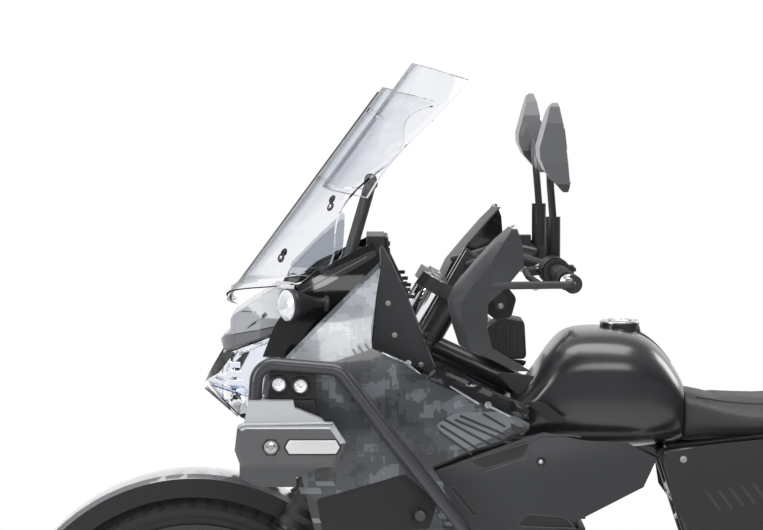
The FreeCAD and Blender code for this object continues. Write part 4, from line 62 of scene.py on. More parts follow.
# %% Units and mesh pieces
MM = 0.001
LEFT, RIGHT, UP = (0, 1, 0), (0, -1, 0), (0, 0, 1)
SIDES = (1, -1)
WHITE = (1, 1, 1, 1)


def mm(x, y, z):
    """A point given in millimetres, in metres."""
    return Vector((x, y, z)) * MM


def in_scene(made):
    """Puts an object in the scene."""
    bpy.context.scene.collection.objects.link(made)
    return made


def finish_piece(name, mesh, material, body, smooth=35):
    """Puts a ready mesh in the scene with its finish, its shading and its body."""
    made = in_scene(bpy.data.objects.new(name, mesh))
    mesh.materials.append(material)
    mesh.polygons.foreach_set("use_smooth", [True] * len(mesh.polygons))
    mesh.set_sharp_from_angle(angle=math.radians(smooth))
    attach(made, body)
    return made


def rounded(made, width, segments=2, angle=40):
    """Rounds a piece's sharp edges, as moulding or filing does."""
    bevel = made.modifiers.new("rounding", "BEVEL")
    bevel.width = width * MM
    bevel.segments = segments
    bevel.limit_method = "ANGLE"
    bevel.angle_limit = math.radians(angle)
    bevel.harden_normals = False
    return made


def merged_lists(parts):
    """Several lists of points and faces as one."""
    verts, faces = [], []
    for part_verts, part_faces in parts:
        base = len(verts)
        verts += list(part_verts)
        faces += [tuple(i + base for i in face) for face in part_faces]
    return verts, faces


def both(parts):
    """Parts and their images on the other side, as one list of points and faces."""
    twins = [([Vector((v[0], -v[1], v[2])) for v in verts],
              [tuple(reversed(face)) for face in faces]) for verts, faces in parts]
    return merged_lists(list(parts) + twins)


def piece(name, parts, material, body="chassis", width=0, smooth=35):
    """One mesh object from parts: it moves with a body, is smooth except at edges sharper than
    an angle, and its sharp edges are rounded where a width is given."""
    verts, faces = merged_lists(parts)
    mesh = bpy.data.meshes.new(name)
    mesh.from_pydata([tuple(v) for v in verts], [], faces)
    work = bmesh.new()
    work.from_mesh(mesh)
    bmesh.ops.recalc_face_normals(work, faces=work.faces)
    work.to_mesh(mesh)
    work.free()
    made = finish_piece(name, mesh, material, body, smooth)
    return rounded(made, width) if width else made


def pair(name, parts, material, body="chassis", width=0):
    """A piece whose parts are on both sides of the machine."""
    return piece(name, [both(parts)], material, body, width)


# %% [markdown]
# Blocks, turned forms, tubes and skins are plain lists of points and faces, so they can be
# mirrored and joined before they become a mesh. The same few forms make bolts, hoses and panels.

# %% Forms as points and faces
def slab(outline, y_from, y_to):
    """A side outline of x and z in millimetres, as thick as from one y to another."""
    count = len(outline)
    verts = [mm(x, y_from, z) for x, z in outline] + [mm(x, y_to, z) for x, z in outline]
    faces = [tuple(range(count)), tuple(reversed(range(count, 2 * count)))]
    faces += [(i, (i + 1) % count, count + (i + 1) % count, count + i) for i in range(count)]
    return verts, faces


def box(low, high):
    """A block between two corners in millimetres."""
    (x1, y1, z1), (x2, y2, z2) = low, high
    return slab([(x1, z1), (x2, z1), (x2, z2), (x1, z2)], y1, y2)


def turned(profile, centre, axis, steps=32, closed=False):
    """A profile of radius and distance in millimetres, turned about an axis through a centre."""
    spin = Vector(UP).rotation_difference(Vector(axis))
    verts = []
    for step in range(steps):
        turn = 2 * math.pi * step / steps
        for radius, along in profile:
            spot = mm(radius * math.cos(turn), radius * math.sin(turn), along)
            verts.append(Vector(centre) + spin @ spot)
    size = len(profile)
    faces = []
    for step in range(steps):
        here, there = step * size, (step + 1) % steps * size
        for i in range(size if closed else size - 1):
            j = (i + 1) % size
            faces.append((here + i, here + j, there + j, there + i))
    return verts, faces


def skin_faces(count, size, capped=True):
    """The faces between rings of points, each ring of one size, with a cap at both ends."""
    faces = []
    for i in range(count - 1):
        for k in range(size):
            n = (k + 1) % size
            faces.append((i * size + k, i * size + n, (i + 1) * size + n, (i + 1) * size + k))
    last = (count - 1) * size
    caps = [tuple(reversed(range(size))), tuple(range(last, last + size))]
    return faces + caps if capped else faces


def curve_points(points, samples=8):
    """A smooth line through points in millimetres, as many samples for each run."""
    path = [Vector(p) for p in points]
    ends = [2 * path[0] - path[1]] + path + [2 * path[-1] - path[-2]]
    line = []
    for a, b, c, d in zip(ends, ends[1:], ends[2:], ends[3:]):
        for step in range(samples):
            t = step / samples
            line.append(0.5 * (2 * b + (c - a) * t + (2 * a - 5 * b + 4 * c - d) * t ** 2
                               + (3 * b - a - 3 * c + d) * t ** 3))
    return line + [path[-1]]


def tube(points, radius, sides=12, samples=8, straight=False):
    """A round tube through points in millimetres. The radius is one number or one for each."""
    line = [Vector(p) for p in points] if straight else curve_points(points, samples)
    if isinstance(radius, (int, float)):
        radii = [radius] * len(line)
    else:
        radii = list(np.interp(np.linspace(0, 1, len(line)), np.linspace(0, 1, len(radius)),
                               radius))
    verts = []
    side = None
    for i, at in enumerate(line):
        ahead = (line[min(i + 1, len(line) - 1)] - line[max(i - 1, 0)]).normalized()
        if side is None:
            side = ahead.orthogonal().normalized()
        side = (side - ahead * side.dot(ahead)).normalized()
        up = ahead.cross(side)
        for k in range(sides):
            turn = 2 * math.pi * k / sides
            verts.append((at + (side * math.cos(turn) + up * math.sin(turn)) * radii[i]) * MM)
    return verts, skin_faces(len(line), sides)


def lofted(rings, capped=True):
    """A skin through closed rings that have equal numbers of points, in millimetres."""
    verts = [Vector(p) * MM for ring in rings for p in ring]
    return verts, skin_faces(len(rings), len(rings[0]), capped)


def hex_bolt(centre, axis, across=8, head=4, washer=7, dome=False):
    """A bolt head with its washer, standing on a surface. The centre is in millimetres."""
    at = Vector(centre) * MM
    flat = [(0, 0), (washer, 0), (washer, 1), (across * 0.55, 1)]
    round_part = turned(flat, at, axis, 20)
    if dome:
        socket = across * 0.22
        crown = [(across * 0.6, 1), (across * 0.58, head * 0.6), (across * 0.4, head),
                 (across * 0.24, head), (socket, head * 0.4), (0, head * 0.4)]
        top = turned(crown, at, axis, 20)
    else:
        corner = across * 0.58
        top = turned([(corner, 1), (corner, head * 0.85), (across * 0.5, head), (0, head)],
                     at, axis, 6)
    return merged_lists([round_part, top])


def screw(centre, across, head, washer, axis=LEFT):
    """A screw with a domed head, towards the left unless told otherwise."""
    return hex_bolt(centre, axis, across, head, washer, dome=True)


def smoothed_outline(outline, round_share=0.22, samples=4):
    """An outline in millimetres whose corners are rounded."""
    made = []
    count = len(outline)
    for i in range(count):
        before, corner, after = (Vector(outline[j % count]) for j in (i - 1, i, i + 1))
        start = corner + (before - corner) * round_share
        end = corner + (after - corner) * round_share
        for s in range(samples + 1):
            t = s / samples
            p = start * (1 - t) ** 2 + corner * 2 * t * (1 - t) + end * t ** 2
            made.append((p.x, p.y))
    return made


# %% [markdown]
# ## Panels draped on the solids' own faces
# The plastic panels are gently curved, and their exact curve is in the frame. Rays find it: the
# outline of a new plate is filled with an even net of triangles, each point is laid on the face
# below it, a little raised or sunk, and the plate follows the panel whatever its shape.

# %% Draped panels
def inside(outline, x, z):
    """Whether a point lies in a closed outline."""
    hit = False
    for (x1, z1), (x2, z2) in zip(outline, outline[1:] + outline[:1]):
        if (z1 > z) != (z2 > z) and x < x1 + (z - z1) / (z2 - z1) * (x2 - x1):
            hit = not hit
    return hit


def draped(outline, face, lift, wall, grid=14):
    """A panel with that outline, whose outer face is lifted above a fitted face."""
    edge = []
    for (x1, z1), (x2, z2) in zip(outline, outline[1:] + outline[:1]):
        steps = max(1, int(math.hypot(x2 - x1, z2 - z1) / grid))
        edge += [(x1 + (x2 - x1) * s / steps, z1 + (z2 - z1) * s / steps) for s in range(steps)]
    points = [Vector(p) for p in edge]
    lines = [(i, (i + 1) % len(edge)) for i in range(len(edge))]
    xs, zs = [p[0] for p in outline], [p[1] for p in outline]
    for i, x in enumerate(np.arange(min(xs) + grid / 2, max(xs), grid)):
        for z in np.arange(min(zs) + grid / 2 * (1 + i % 2), max(zs), grid):
            near = min(math.hypot(x - e[0], z - e[1]) for e in edge)
            if near > grid * 0.45 and inside(outline, x, z):
                points.append(Vector((x, z)))
    found = delaunay_2d_cdt(points, lines, [list(range(len(edge)))], 1, 1e-4)
    flat, triangles = found[0], found[2]
    count = len(flat)
    outer = [mm(p.x, face(p.x, p.y) + lift, p.y) for p in flat]
    inner = [mm(p.x, face(p.x, p.y) + lift - wall, p.y) for p in flat]
    faces = [tuple(t) for t in triangles]
    faces += [tuple(i + count for i in reversed(t)) for t in triangles]
    used = {}
    for t in triangles:
        for a, b in zip(t, list(t[1:]) + [t[0]]):
            used[(a, b)] = True
    for a, b in used:
        if (b, a) not in used:
            faces.append((b, a, a + count, b + count))
    return outer + inner, faces


def tree_of(node):
    """A node's faces, ready for rays."""
    mesh = nodes[node].data
    return BVHTree.FromPolygons([v.co for v in mesh.vertices],
                                [tuple(p.vertices) for p in mesh.polygons])


def side_of(node):
    """A function from x and z to the y of a node's outer left face, found with rays."""
    tree = tree_of(node)

    def find(x, z):
        for shift in (0, 1.5, -1.5, 4, -4):
            hit = tree.ray_cast(mm(x + shift * 0.7, 900, z + shift), Vector(RIGHT))[0]
            if hit:
                return hit.y / MM
        return None

    return find


def laid(outline, face, lift, sink, grid=12, fallback=100):
    """A thin plate laid on a face that rays find, on both sides of the machine."""
    last = [fallback]

    def steady(x, z):
        found = face(x, z)
        if found is not None:
            last[0] = found
        return last[0]

    return both([draped(outline, steady, lift, lift + sink, grid)])


def stripe(start, end, wide, wide_end=None):
    """The outline of a straight stripe between two points, of even or changing width."""
    a, b = Vector(start), Vector(end)
    side = Vector((-(b - a).y, (b - a).x)).normalized()
    w = wide if wide_end is None else wide_end
    return [tuple(p) for p in (a - side * wide / 2, b - side * w / 2,
                               b + side * w / 2, a + side * wide / 2)]


# %% [markdown]
# ## Finishes
# A finish is more than a colour. Moulded plastic has a fine grain and its gloss changes a little
# from place to place, so one node group gives those changes to many materials, each with its own
# values. It puts out a colour, a roughness and a height; the shader itself stays in the material.

# %% Node group for moulded and painted surfaces
def feed(tree, socket, value):
    """Gives an input a value, or links it to another node's output."""
    if isinstance(value, bpy.types.NodeSocket):
        tree.links.new(value, socket)
    else:
        socket.default_value = value


def set_inputs(tree, node, inputs):
    """Feeds several inputs of a node."""
    for label, value in inputs.items():
        feed(tree, node.inputs[label], value)


def add_node(tree, kind, inputs, **settings):
    """A shader node with its settings, and its inputs fed with values or outputs."""
    made = tree.nodes.new("ShaderNode" + kind)
    for label, value in settings.items():
        setattr(made, label, value)
    set_inputs(tree, made, inputs)
    return made


def new_group(name, inputs, outputs):
    """An empty shader group with named sockets."""
    group = bpy.data.node_groups.new(name, "ShaderNodeTree")
    for label, kind, value in inputs:
        socket = group.interface.new_socket(label, in_out="INPUT", socket_type="NodeSocket" + kind)
        socket.default_value = value
    for label, kind in outputs:
        group.interface.new_socket(label, in_out="OUTPUT", socket_type="NodeSocket" + kind)
    return group, group.nodes.new("NodeGroupInput"), group.nodes.new("NodeGroupOutput")


def object_place(tree):
    """The place on the object, in metres."""
    return tree.nodes.new("ShaderNodeTexCoord").outputs["Object"]


def noise(tree, vector, scale, detail=3, rough=0.5):
    """The value of a noise texture at a vector."""
    return add_node(tree, "TexNoise", {"Vector": vector, "Scale": scale, "Detail": detail,
                                       "Roughness": rough}).outputs["Fac"]


def math_node(tree, operation, *values):
    """The result of a sum or a product."""
    return add_node(tree, "Math", dict(enumerate(values)), operation=operation).outputs[0]


def vector_node(tree, operation, first, second):
    """The result of a sum or a product of vectors."""
    return add_node(tree, "VectorMath", {0: first, 1: second}, operation=operation).outputs[0]


def colour_mix(tree, factor, first, second, blend="MIX"):
    """A colour between two, or their product."""
    return add_node(tree, "Mix", {"Factor": factor, "A": first, "B": second},
                    data_type="RGBA", blend_type=blend).outputs["Result"]


def value_mix(tree, factor, first, second):
    """A number between two."""
    return add_node(tree, "Mix", {0: factor, 2: first, 3: second}, data_type="FLOAT").outputs[0]


VARIATION = [("Colour", "Color"), ("Roughness", "Float"), ("Height", "Float")]


def put_out(group, ends, colour_by, rough_by, height):
    """Feeds a variation group's outputs from its low and high values and three masks."""
    group_in, group_out = ends
    low, high = group_in.outputs["Colour low"], group_in.outputs["Colour high"]
    feed(group, group_out.inputs["Colour"], colour_mix(group, colour_by, low, high))
    low, high = group_in.outputs["Rough low"], group_in.outputs["Rough high"]
    feed(group, group_out.inputs["Roughness"], value_mix(group, rough_by, low, high))
    feed(group, group_out.inputs["Height"], height)


surface_group, *ends = new_group(
    "surface variation",
    [("Colour low", "Color", (0.1, 0.1, 0.1, 1)), ("Colour high", "Color", (0.12, 0.12, 0.12, 1)),
     ("Rough low", "Float", 0.3), ("Rough high", "Float", 0.4), ("Grain scale", "Float", 900.0)],
    VARIATION)
place = object_place(surface_group)
cloud = noise(surface_group, place, 9, 4, 0.6)
fine = noise(surface_group, place, ends[0].outputs["Grain scale"], 2, 0.6)
soft_part = math_node(surface_group, "MULTIPLY", cloud, 0.65)
put_out(surface_group, ends, cloud,
        math_node(surface_group, "MULTIPLY_ADD", fine, 0.35, soft_part), fine)
print("group of", len(surface_group.nodes), "nodes:", surface_group.name)

# %% [markdown]
# Turned and drawn metal has fine lines. Stretching noise hard along one direction gives them, and
# the same lines drive both the gloss and a faint relief.

# %% Node group for brushed metal
brushed_group, *ends = new_group(
    "brushed lines",
    [("Colour low", "Color", (0.4, 0.4, 0.4, 1)), ("Colour high", "Color", (0.5, 0.5, 0.5, 1)),
     ("Rough low", "Float", 0.2), ("Rough high", "Float", 0.4),
     ("Stretch", "Vector", (40.0, 900.0, 900.0))],
    VARIATION)
stretched = vector_node(brushed_group, "MULTIPLY", object_place(brushed_group),
                        ends[0].outputs["Stretch"])
lines = noise(brushed_group, stretched, 1.0, 2, 0.7)
put_out(brushed_group, ends, lines, lines, lines)
print("group of", len(brushed_group.nodes), "nodes:", brushed_group.name)

# %% [markdown]
# ## One material for each finish
# A finish places a group in its material, gives it the low and high colour and gloss, and feeds
# the shader with what comes out. A number that is the same all over, such as the weight of a
# clear coat, is set on the shader itself. Black plastics reflect less than the shader's default,
# or a white studio turns them grey.

# %% Materials from a group
def shade(colour, factor=1.0):
    """A colour as four numbers, lighter or darker by a factor."""
    return tuple(min(1, c * factor) for c in colour) + (1.0,)


def new_material(name):
    """A material with its node tree and its shader."""
    made = bpy.data.materials.new(name)
    made.use_nodes = True
    return made, made.node_tree, made.node_tree.nodes["Principled BSDF"]


def finish(name, colour, rough, metallic=0.0, coat=0.0, grain=900.0, depth=0.02, spread=0.16,
           stretch=None, change=0.1, specular=0.5, coat_rough=0.05):
    """A material whose colour, gloss and relief come from a group: brushed if it has a stretch."""
    made, tree, shader = new_material(name)
    variation = tree.nodes.new("ShaderNodeGroup")
    variation.node_tree = brushed_group if stretch else surface_group
    set_inputs(tree, variation, {
        "Colour low": shade(colour, 1 - change), "Colour high": shade(colour, 1 + change),
        "Rough low": max(0.02, rough * (1 - spread)), "Rough high": min(1, rough * (1 + spread)),
        **({"Stretch": stretch} if stretch else {"Grain scale": grain})})
    relief = add_node(tree, "Bump", {"Strength": 1.0, "Distance": depth * MM,
                                     "Height": variation.outputs["Height"]})
    set_inputs(tree, shader, {
        "Base Color": variation.outputs["Colour"], "Roughness": variation.outputs["Roughness"],
        "Normal": relief.outputs["Normal"], "Metallic": metallic, "Coat Weight": coat,
        "Coat Roughness": coat_rough, "Specular IOR Level": specular})
    return made


black_satin = finish("satin black plastic", (0.011, 0.0115, 0.013), 0.4, grain=1500, depth=0.03,
                     specular=0.4)
black_grain = finish("grained black plastic", (0.015, 0.0155, 0.017), 0.55, grain=1100,
                     depth=0.08, specular=0.4)
black_gloss = finish("gloss black plastic", (0.012, 0.0125, 0.014), 0.12, coat=1.0, grain=300,
                     depth=0.004)
cowl_gloss = finish("gloss cowl plastic", (0.005, 0.0055, 0.006), 0.1, coat=0.3, grain=300,
                    depth=0.004, specular=0.15)
charcoal = finish("charcoal plastic", (0.03, 0.0315, 0.0345), 0.4, grain=1500, depth=0.03,
                  specular=0.35)
# This finish is also used as a painted highlight along the cowl strip.
light_charcoal_and_highlight = finish("light charcoal plastic and painted highlight", (0.075, 0.078, 0.085), 0.34, coat=0.2,
                        grain=1500, specular=0.4)
silver_grey = finish("silver grey plastic", (0.3, 0.31, 0.33), 0.25, coat=0.6, grain=1200,
                     depth=0.01)
pad_grey = finish("pad grey plastic", (0.085, 0.0855, 0.09), 0.38, coat=0.1, grain=1300,
                  depth=0.03, specular=0.4)
pad_pale = finish("pale pad plastic", (0.39, 0.4, 0.42), 0.3, coat=0.2, grain=1300)
fender_grey = finish("fender grey paint", (0.12, 0.123, 0.13), 0.2, coat=1.0, grain=300,
                     depth=0.004)
frame_paint = finish("frame paint", (0.014, 0.0145, 0.016), 0.36, coat=0.3, grain=500)
tube_paint = finish("crash tube paint", (0.035, 0.036, 0.04), 0.36, metallic=0.2, coat=0.25)
engine_paint = finish("engine paint", (0.028, 0.029, 0.032), 0.42, metallic=0.2, grain=800,
                      depth=0.1)
cast_alloy = finish("cast alloy", (0.42, 0.42, 0.43), 0.42, metallic=1.0, grain=700, depth=0.12)
machined = finish("machined alloy", (0.62, 0.62, 0.63), 0.24, metallic=1.0, depth=0.01,
                  stretch=(900.0, 40.0, 900.0))
steel = finish("brushed steel", (0.5, 0.5, 0.5), 0.3, metallic=1.0, depth=0.01,
               stretch=(60.0, 900.0, 900.0))
chrome = finish("chrome", (0.78, 0.79, 0.81), 0.07, metallic=1.0, grain=200, depth=0.002,
                change=0.03)
disc_steel = finish("disc steel", (0.3, 0.3, 0.305), 0.42, metallic=1.0, depth=0.01,
                    stretch=(700.0, 900.0, 700.0))
chain_steel = finish("oiled chain steel", (0.2, 0.18, 0.15), 0.35, metallic=1.0, grain=500,
                     depth=0.05)
rubber = finish("black rubber", (0.018, 0.018, 0.019), 0.62, grain=700, depth=0.06)
tyre_rubber = finish("tyre rubber", (0.022, 0.022, 0.023), 0.7, grain=500, depth=0.12, change=0.2)
seat_vinyl = finish("seat vinyl", (0.02, 0.02, 0.022), 0.52, grain=420, depth=0.25)
seat_top_vinyl = finish("seat top vinyl", (0.035, 0.036, 0.039), 0.6, grain=260, depth=0.4)
tank_paint = finish("satin tank paint", (0.014, 0.0145, 0.017), 0.3, coat=0.55, grain=400,
                    depth=0.005, coat_rough=0.18)
rim_paint = finish("rim paint", (0.02, 0.02, 0.023), 0.25, metallic=0.3, coat=0.6, grain=500,
                   depth=0.01)
heat_steel = finish("heated steel", (0.36, 0.31, 0.26), 0.32, metallic=1.0, depth=0.01,
                    stretch=(900.0, 60.0, 900.0), change=0.3)
red_plastic = finish("red plastic", (0.55, 0.02, 0.025), 0.3, coat=0.4, depth=0.01)
amber = finish("amber reflector", (0.9, 0.36, 0.03), 0.15, coat=1.0, grain=300, depth=0.01)
screen_face = finish("display face", (0.012, 0.016, 0.022), 0.08, coat=1.0, grain=200,
                     depth=0.001)
mirror_glass = finish("mirror glass", (0.8, 0.82, 0.84), 0.02, metallic=1.0, grain=200, depth=0.0)
print("finishes ready:", len(bpy.data.materials))

# %% [markdown]
# ## Camouflage
# The shrouds carry a blocky camouflage film. Its blocks come from noise that is read at snapped
# places, so that each small square takes one tone, and three sizes of block laid over each other
# keep it from looking like a chessboard. It is a common kind of pattern in a layout of its own.

# %% Node group for camouflage
TONES = ("Dark", "Middle", "Light", "Pale")
TONE_STEPS = (0.455, 0.508, 0.56)
camo_group, camo_in, camo_out = new_group(
    "camouflage blocks",
    [(label, "Color", (grey, grey, grey, 1)) for label, grey in zip(TONES, (0.03, 0.08, 0.2, 0.4))],
    [("Colour", "Color"), ("Tone", "Float")])


def snapped_tone(size, stretch, seed, scale):
    """A tone that is even over blocks of a size in millimetres."""
    scaled = vector_node(camo_group, "MULTIPLY", object_place(camo_group), stretch)
    snap = vector_node(camo_group, "SNAP", scaled, (size * MM, 10.0, size * 0.6 * MM))
    moved = vector_node(camo_group, "ADD", snap, (seed, seed * 2.3, seed * 0.7))
    return noise(camo_group, moved, scale, 3, 0.55)


def step_mask(tree, value, edge, width=0.004):
    """One where a value is over an edge, else zero, with a short ramp between."""
    return add_node(tree, "MapRange", {"From Min": edge - width, "From Max": edge + width,
                                       "Value": value}).outputs["Result"]


big_tone = snapped_tone(13, (1, 1, 1), 4.2, 8)
long_tone = snapped_tone(7, (0.55, 1, 1), 9.7, 17)
small_tone = snapped_tone(4, (1, 1, 1), 2.1, 42)
mixed_tone = math_node(camo_group, "MULTIPLY", big_tone, 0.62)
for tone, weight in ((long_tone, 0.27), (small_tone, 0.11)):
    mixed_tone = math_node(camo_group, "MULTIPLY_ADD", tone, weight, mixed_tone)
tone_colour = camo_in.outputs[TONES[0]]
for label, edge in zip(TONES[1:], TONE_STEPS):
    tone_colour = colour_mix(camo_group, step_mask(camo_group, mixed_tone, edge), tone_colour,
                             camo_in.outputs[label])
feed(camo_group, camo_out.inputs["Colour"], tone_colour)
feed(camo_group, camo_out.inputs["Tone"], mixed_tone)
print("group of", len(camo_group.nodes), "nodes:", camo_group.name)

# %% [markdown]
# The film itself is a plain finish whose colour comes from the blocks instead. It is used twice:
# dark over the whole shroud, and in brighter tones on the upper triangle.

# %% Camouflage film material
def camo_finish(name, tones, gloss, coat):
    """A film with four tones of blocks under a clear coat."""
    made = finish(name, tones[1], gloss, coat=coat, grain=700, depth=0.01)
    tree = made.node_tree
    blocks = tree.nodes.new("ShaderNodeGroup")
    blocks.node_tree = camo_group
    set_inputs(tree, blocks, {label: shade(tone) for label, tone in zip(TONES, tones)})
    feed(tree, tree.nodes["Principled BSDF"].inputs["Base Color"], blocks.outputs["Colour"])
    return made


camo_film = camo_finish(
    "camouflage film", [(0.022, 0.025, 0.028), (0.046, 0.051, 0.057), (0.11, 0.12, 0.135),
                        (0.18, 0.195, 0.215)], 0.3, 0.6)
camo_bright = camo_finish(
    "bright camouflage film", [(0.13, 0.14, 0.155), (0.2, 0.215, 0.235), (0.25, 0.265, 0.285),
                               (0.33, 0.345, 0.37)], 0.18, 1.0)
print("camouflage ready")

# %% [markdown]
# ## Clear plastics
# The windscreen and the lamp lenses are clear polycarbonate. A glass shader with a low roughness
# lets the background through. A thin curved pane looks dark where it is seen edge on, because
# little light from behind comes through there, so painted shade darkens the screen's tint by the
# angle of view.

# %% Clear plastics
def clear_plastic(name, tint, rough=0.0, index=1.2):
    """A clear material for thin moulded panes and lenses."""
    made, tree, shader = new_material(name)
    drift = noise(tree, object_place(tree), 14, 2, 0.5)
    set_inputs(tree, shader, {
        "Base Color": colour_mix(tree, drift, shade(tint, 0.985), shade(tint)),
        "Roughness": value_mix(tree, drift, rough, rough + 0.012),
        "Metallic": 0.0, "Transmission Weight": 1.0, "IOR": index})
    return made


screen_clear = clear_plastic("clear screen plastic", (0.96, 0.965, 0.975), 0.0, 1.22)
edge_tree = screen_clear.node_tree
edge_tint = edge_tree.nodes["Principled BSDF"].inputs["Base Color"]
# Painted shade: the tint darkens towards black where the pane is seen edge on.
facing = add_node(edge_tree, "LayerWeight", {"Blend": 0.5}).outputs["Facing"]
edge_shade_ramp = add_node(edge_tree, "ValToRGB", {0: facing})
tones = edge_shade_ramp.color_ramp.elements
tones[0].color = WHITE
tones[1].color, tones[1].position = (0.03, 0.035, 0.04, 1), 0.84
for position, tone in ((0.5, (0.99, 0.99, 1.0, 1)), (0.62, (0.8, 0.83, 0.88, 1)),
                       (0.72, (0.5, 0.54, 0.62, 1)), (0.78, (0.12, 0.13, 0.15, 1))):
    tones.new(position).color = tone
feed(edge_tree, edge_tint, colour_mix(edge_tree, 1.0, edge_tint.links[0].from_socket,
                                      edge_shade_ramp.outputs["Color"], "MULTIPLY"))
lens_clear = clear_plastic("clear lens plastic", (0.97, 0.975, 0.99), 0.0, 1.3)
lens_red = clear_plastic("red lens plastic", (0.75, 0.03, 0.03), 0.05, 1.4)
reflector = finish("lamp reflector", (0.86, 0.88, 0.93), 0.1, metallic=1.0, grain=200,
                   depth=0.002, change=0.05)
reflector_blue = finish("bluish lamp reflector", (0.5, 0.56, 0.72), 0.16, metallic=1.0,
                        grain=200, depth=0.002)
print("clear plastics ready")

# %% [markdown]
# ## Camera, floor and light
# The photograph is a long-lens side view from just above the middle of the machine's height. A
# camera seven metres off with a long lens gives the same small perspective.

# %% Camera
VIEW_TARGET = Vector((0.4333, 0, 1.122))
VIEW_DISTANCE = 7.0
VIEW_RISE = math.radians(3.8)
VIEW_TURN = math.radians(0.5)
LENS_MM, FILM_MM = 171.8, 36


def look(made, direction):
    """Turns a camera or a lamp to look along a direction."""
    made.rotation_mode = "QUATERNION"
    made.rotation_quaternion = direction.to_track_quat("-Z", "Y")


across_view = math.cos(VIEW_RISE)
toward_camera = Vector((math.sin(VIEW_TURN) * across_view, math.cos(VIEW_TURN) * across_view,
                        math.sin(VIEW_RISE)))
camera_data = bpy.data.cameras.new("studio_camera")
camera_data.lens, camera_data.sensor_width = LENS_MM, FILM_MM
camera = in_scene(bpy.data.objects.new("studio_camera", camera_data))
camera.location = VIEW_TARGET + toward_camera * VIEW_DISTANCE
look(camera, -toward_camera)
bpy.context.scene.camera = camera
bpy.context.scene.view_settings.view_transform = "Standard"
print("camera at", [round(c, 2) for c in camera.location])

# %% [markdown]
# The white background is only what the camera, mirror-like gloss and glass see: the light on the
# machine is weaker, so its colours render about as they are written. Light Path tells the rays
# apart. Gloss sees a sky that is bright above and behind and dim towards the camera, which gives
# black panels their soft highlights.

# %% Backdrop
AMBIENT = 0.5


def ramp(tree, value, low, high, start=0.0, end=1.0):
    """A smooth rise of a value between two limits."""
    return add_node(tree, "MapRange", {"From Min": low, "From Max": high, "To Min": start,
                                       "To Max": end, "Value": value},
                    interpolation_type="SMOOTHSTEP").outputs["Result"]


def sight_rays(tree, with_gloss=False):
    """One for what the camera sees, straight or through glass, and for gloss if asked."""
    path = tree.nodes.new("ShaderNodeLightPath").outputs
    seen = math_node(tree, "MAXIMUM", path["Is Camera Ray"], path["Is Transmission Ray"])
    return math_node(tree, "MAXIMUM", seen, path["Is Glossy Ray"]) if with_gloss else seen


def shader_mix(tree, factor, first, second):
    """A shader between two."""
    return add_node(tree, "MixShader", {0: factor, 1: first, 2: second}).outputs[0]


world = bpy.data.worlds.new("studio")
bpy.context.scene.world = world
world.use_nodes = True
sky = world.node_tree
set_inputs(sky, sky.nodes["Background"], {"Color": WHITE, "Strength": AMBIENT})
ambient = sky.nodes["Background"].outputs[0]
seen_sky = add_node(sky, "Background", {"Color": WHITE, "Strength": 1.0}).outputs[0]
direction = add_node(sky, "SeparateXYZ",
                     {0: sky.nodes.new("ShaderNodeTexCoord").outputs["Generated"]}).outputs
from_above = ramp(sky, direction["Z"], -0.1, 0.95, 0.1, 0.55)
backdrop = ramp(sky, math_node(sky, "MULTIPLY", direction["Y"], -1.0), 0.35, 0.8)
sky_light = math_node(sky, "MAXIMUM", from_above, backdrop)
gloss_sky = add_node(sky, "Background", {"Color": WHITE, "Strength": sky_light}).outputs[0]
gloss_ray = sky.nodes.new("ShaderNodeLightPath").outputs["Is Glossy Ray"]
gloss_mix = shader_mix(sky, gloss_ray, ambient, gloss_sky)
feed(sky, sky.nodes["World Output"].inputs["Surface"],
     shader_mix(sky, sight_rays(sky), gloss_mix, seen_sky))
print("backdrop ready")

# %% [markdown]
# The floor is pale paper close to the machine, where its shadow falls, and fades to the backdrop's
# white further off, so no horizon cuts through the picture.

# %% Floor
FLOOR_HALF = 7.0
FADE_FROM, FADE_TO = 1.9, 3.3
floor_mesh = bpy.data.meshes.new("studio_floor")
corners = [(x * FLOOR_HALF, y * FLOOR_HALF, 0) for x, y in ((-1, -1), (1, -1), (1, 1), (-1, 1))]
floor_mesh.from_pydata(corners, [], [(0, 1, 2, 3)])
floor = in_scene(bpy.data.objects.new("studio_floor", floor_mesh))
floor_paper = finish("studio paper", (0.83, 0.83, 0.83), 0.85, grain=60, change=0.01,
                     specular=0.1)
paper = floor_paper.node_tree
reach = add_node(paper, "VectorMath", {0: object_place(paper)}, operation="LENGTH")
fade = ramp(paper, reach.outputs["Value"], FADE_FROM, FADE_TO)
white_floor = add_node(paper, "Emission", {"Color": WHITE}).outputs[0]
feed(paper, paper.nodes["Material Output"].inputs["Surface"],
     shader_mix(paper, math_node(paper, "MULTIPLY", fade, sight_rays(paper, True)),
                paper.nodes["Principled BSDF"].outputs[0], white_floor))
floor_mesh.materials.append(floor_paper)
print("floor ready")

# %% [markdown]
# Four large soft lamps stand overhead, ahead, beside the camera and behind. Large lamps give wide
# highlights with soft ends, as a studio's light tents do.

# %% Lights
AIM = (0.3, 0, 0.9)
for name, place, width, height, power in (
        ("overhead_light", (0.4, 0.6, 3.6), 3.2, 1.6, 85),
        ("front_light", (3.4, 2.6, 1.9), 1.4, 2.2, 70),
        ("camera_side_light", (-0.6, 4.6, 2.6), 2.6, 1.4, 55),
        ("rear_light", (-3.2, -2.0, 2.4), 1.6, 1.6, 50)):
    lamp = bpy.data.lights.new(name, "AREA")
    lamp.shape = "RECTANGLE"
    lamp.size, lamp.size_y, lamp.energy = width, height, power
    made = in_scene(bpy.data.objects.new(name, lamp))
    made.location = place
    look(made, Vector(AIM) - Vector(place))
print("studio ready")

# %% [markdown]
# ## Finishes for the solids that stay
# Tubes, castings, axles and boxes are right as they are in the frame. Each gets the finish of its
# real counterpart.

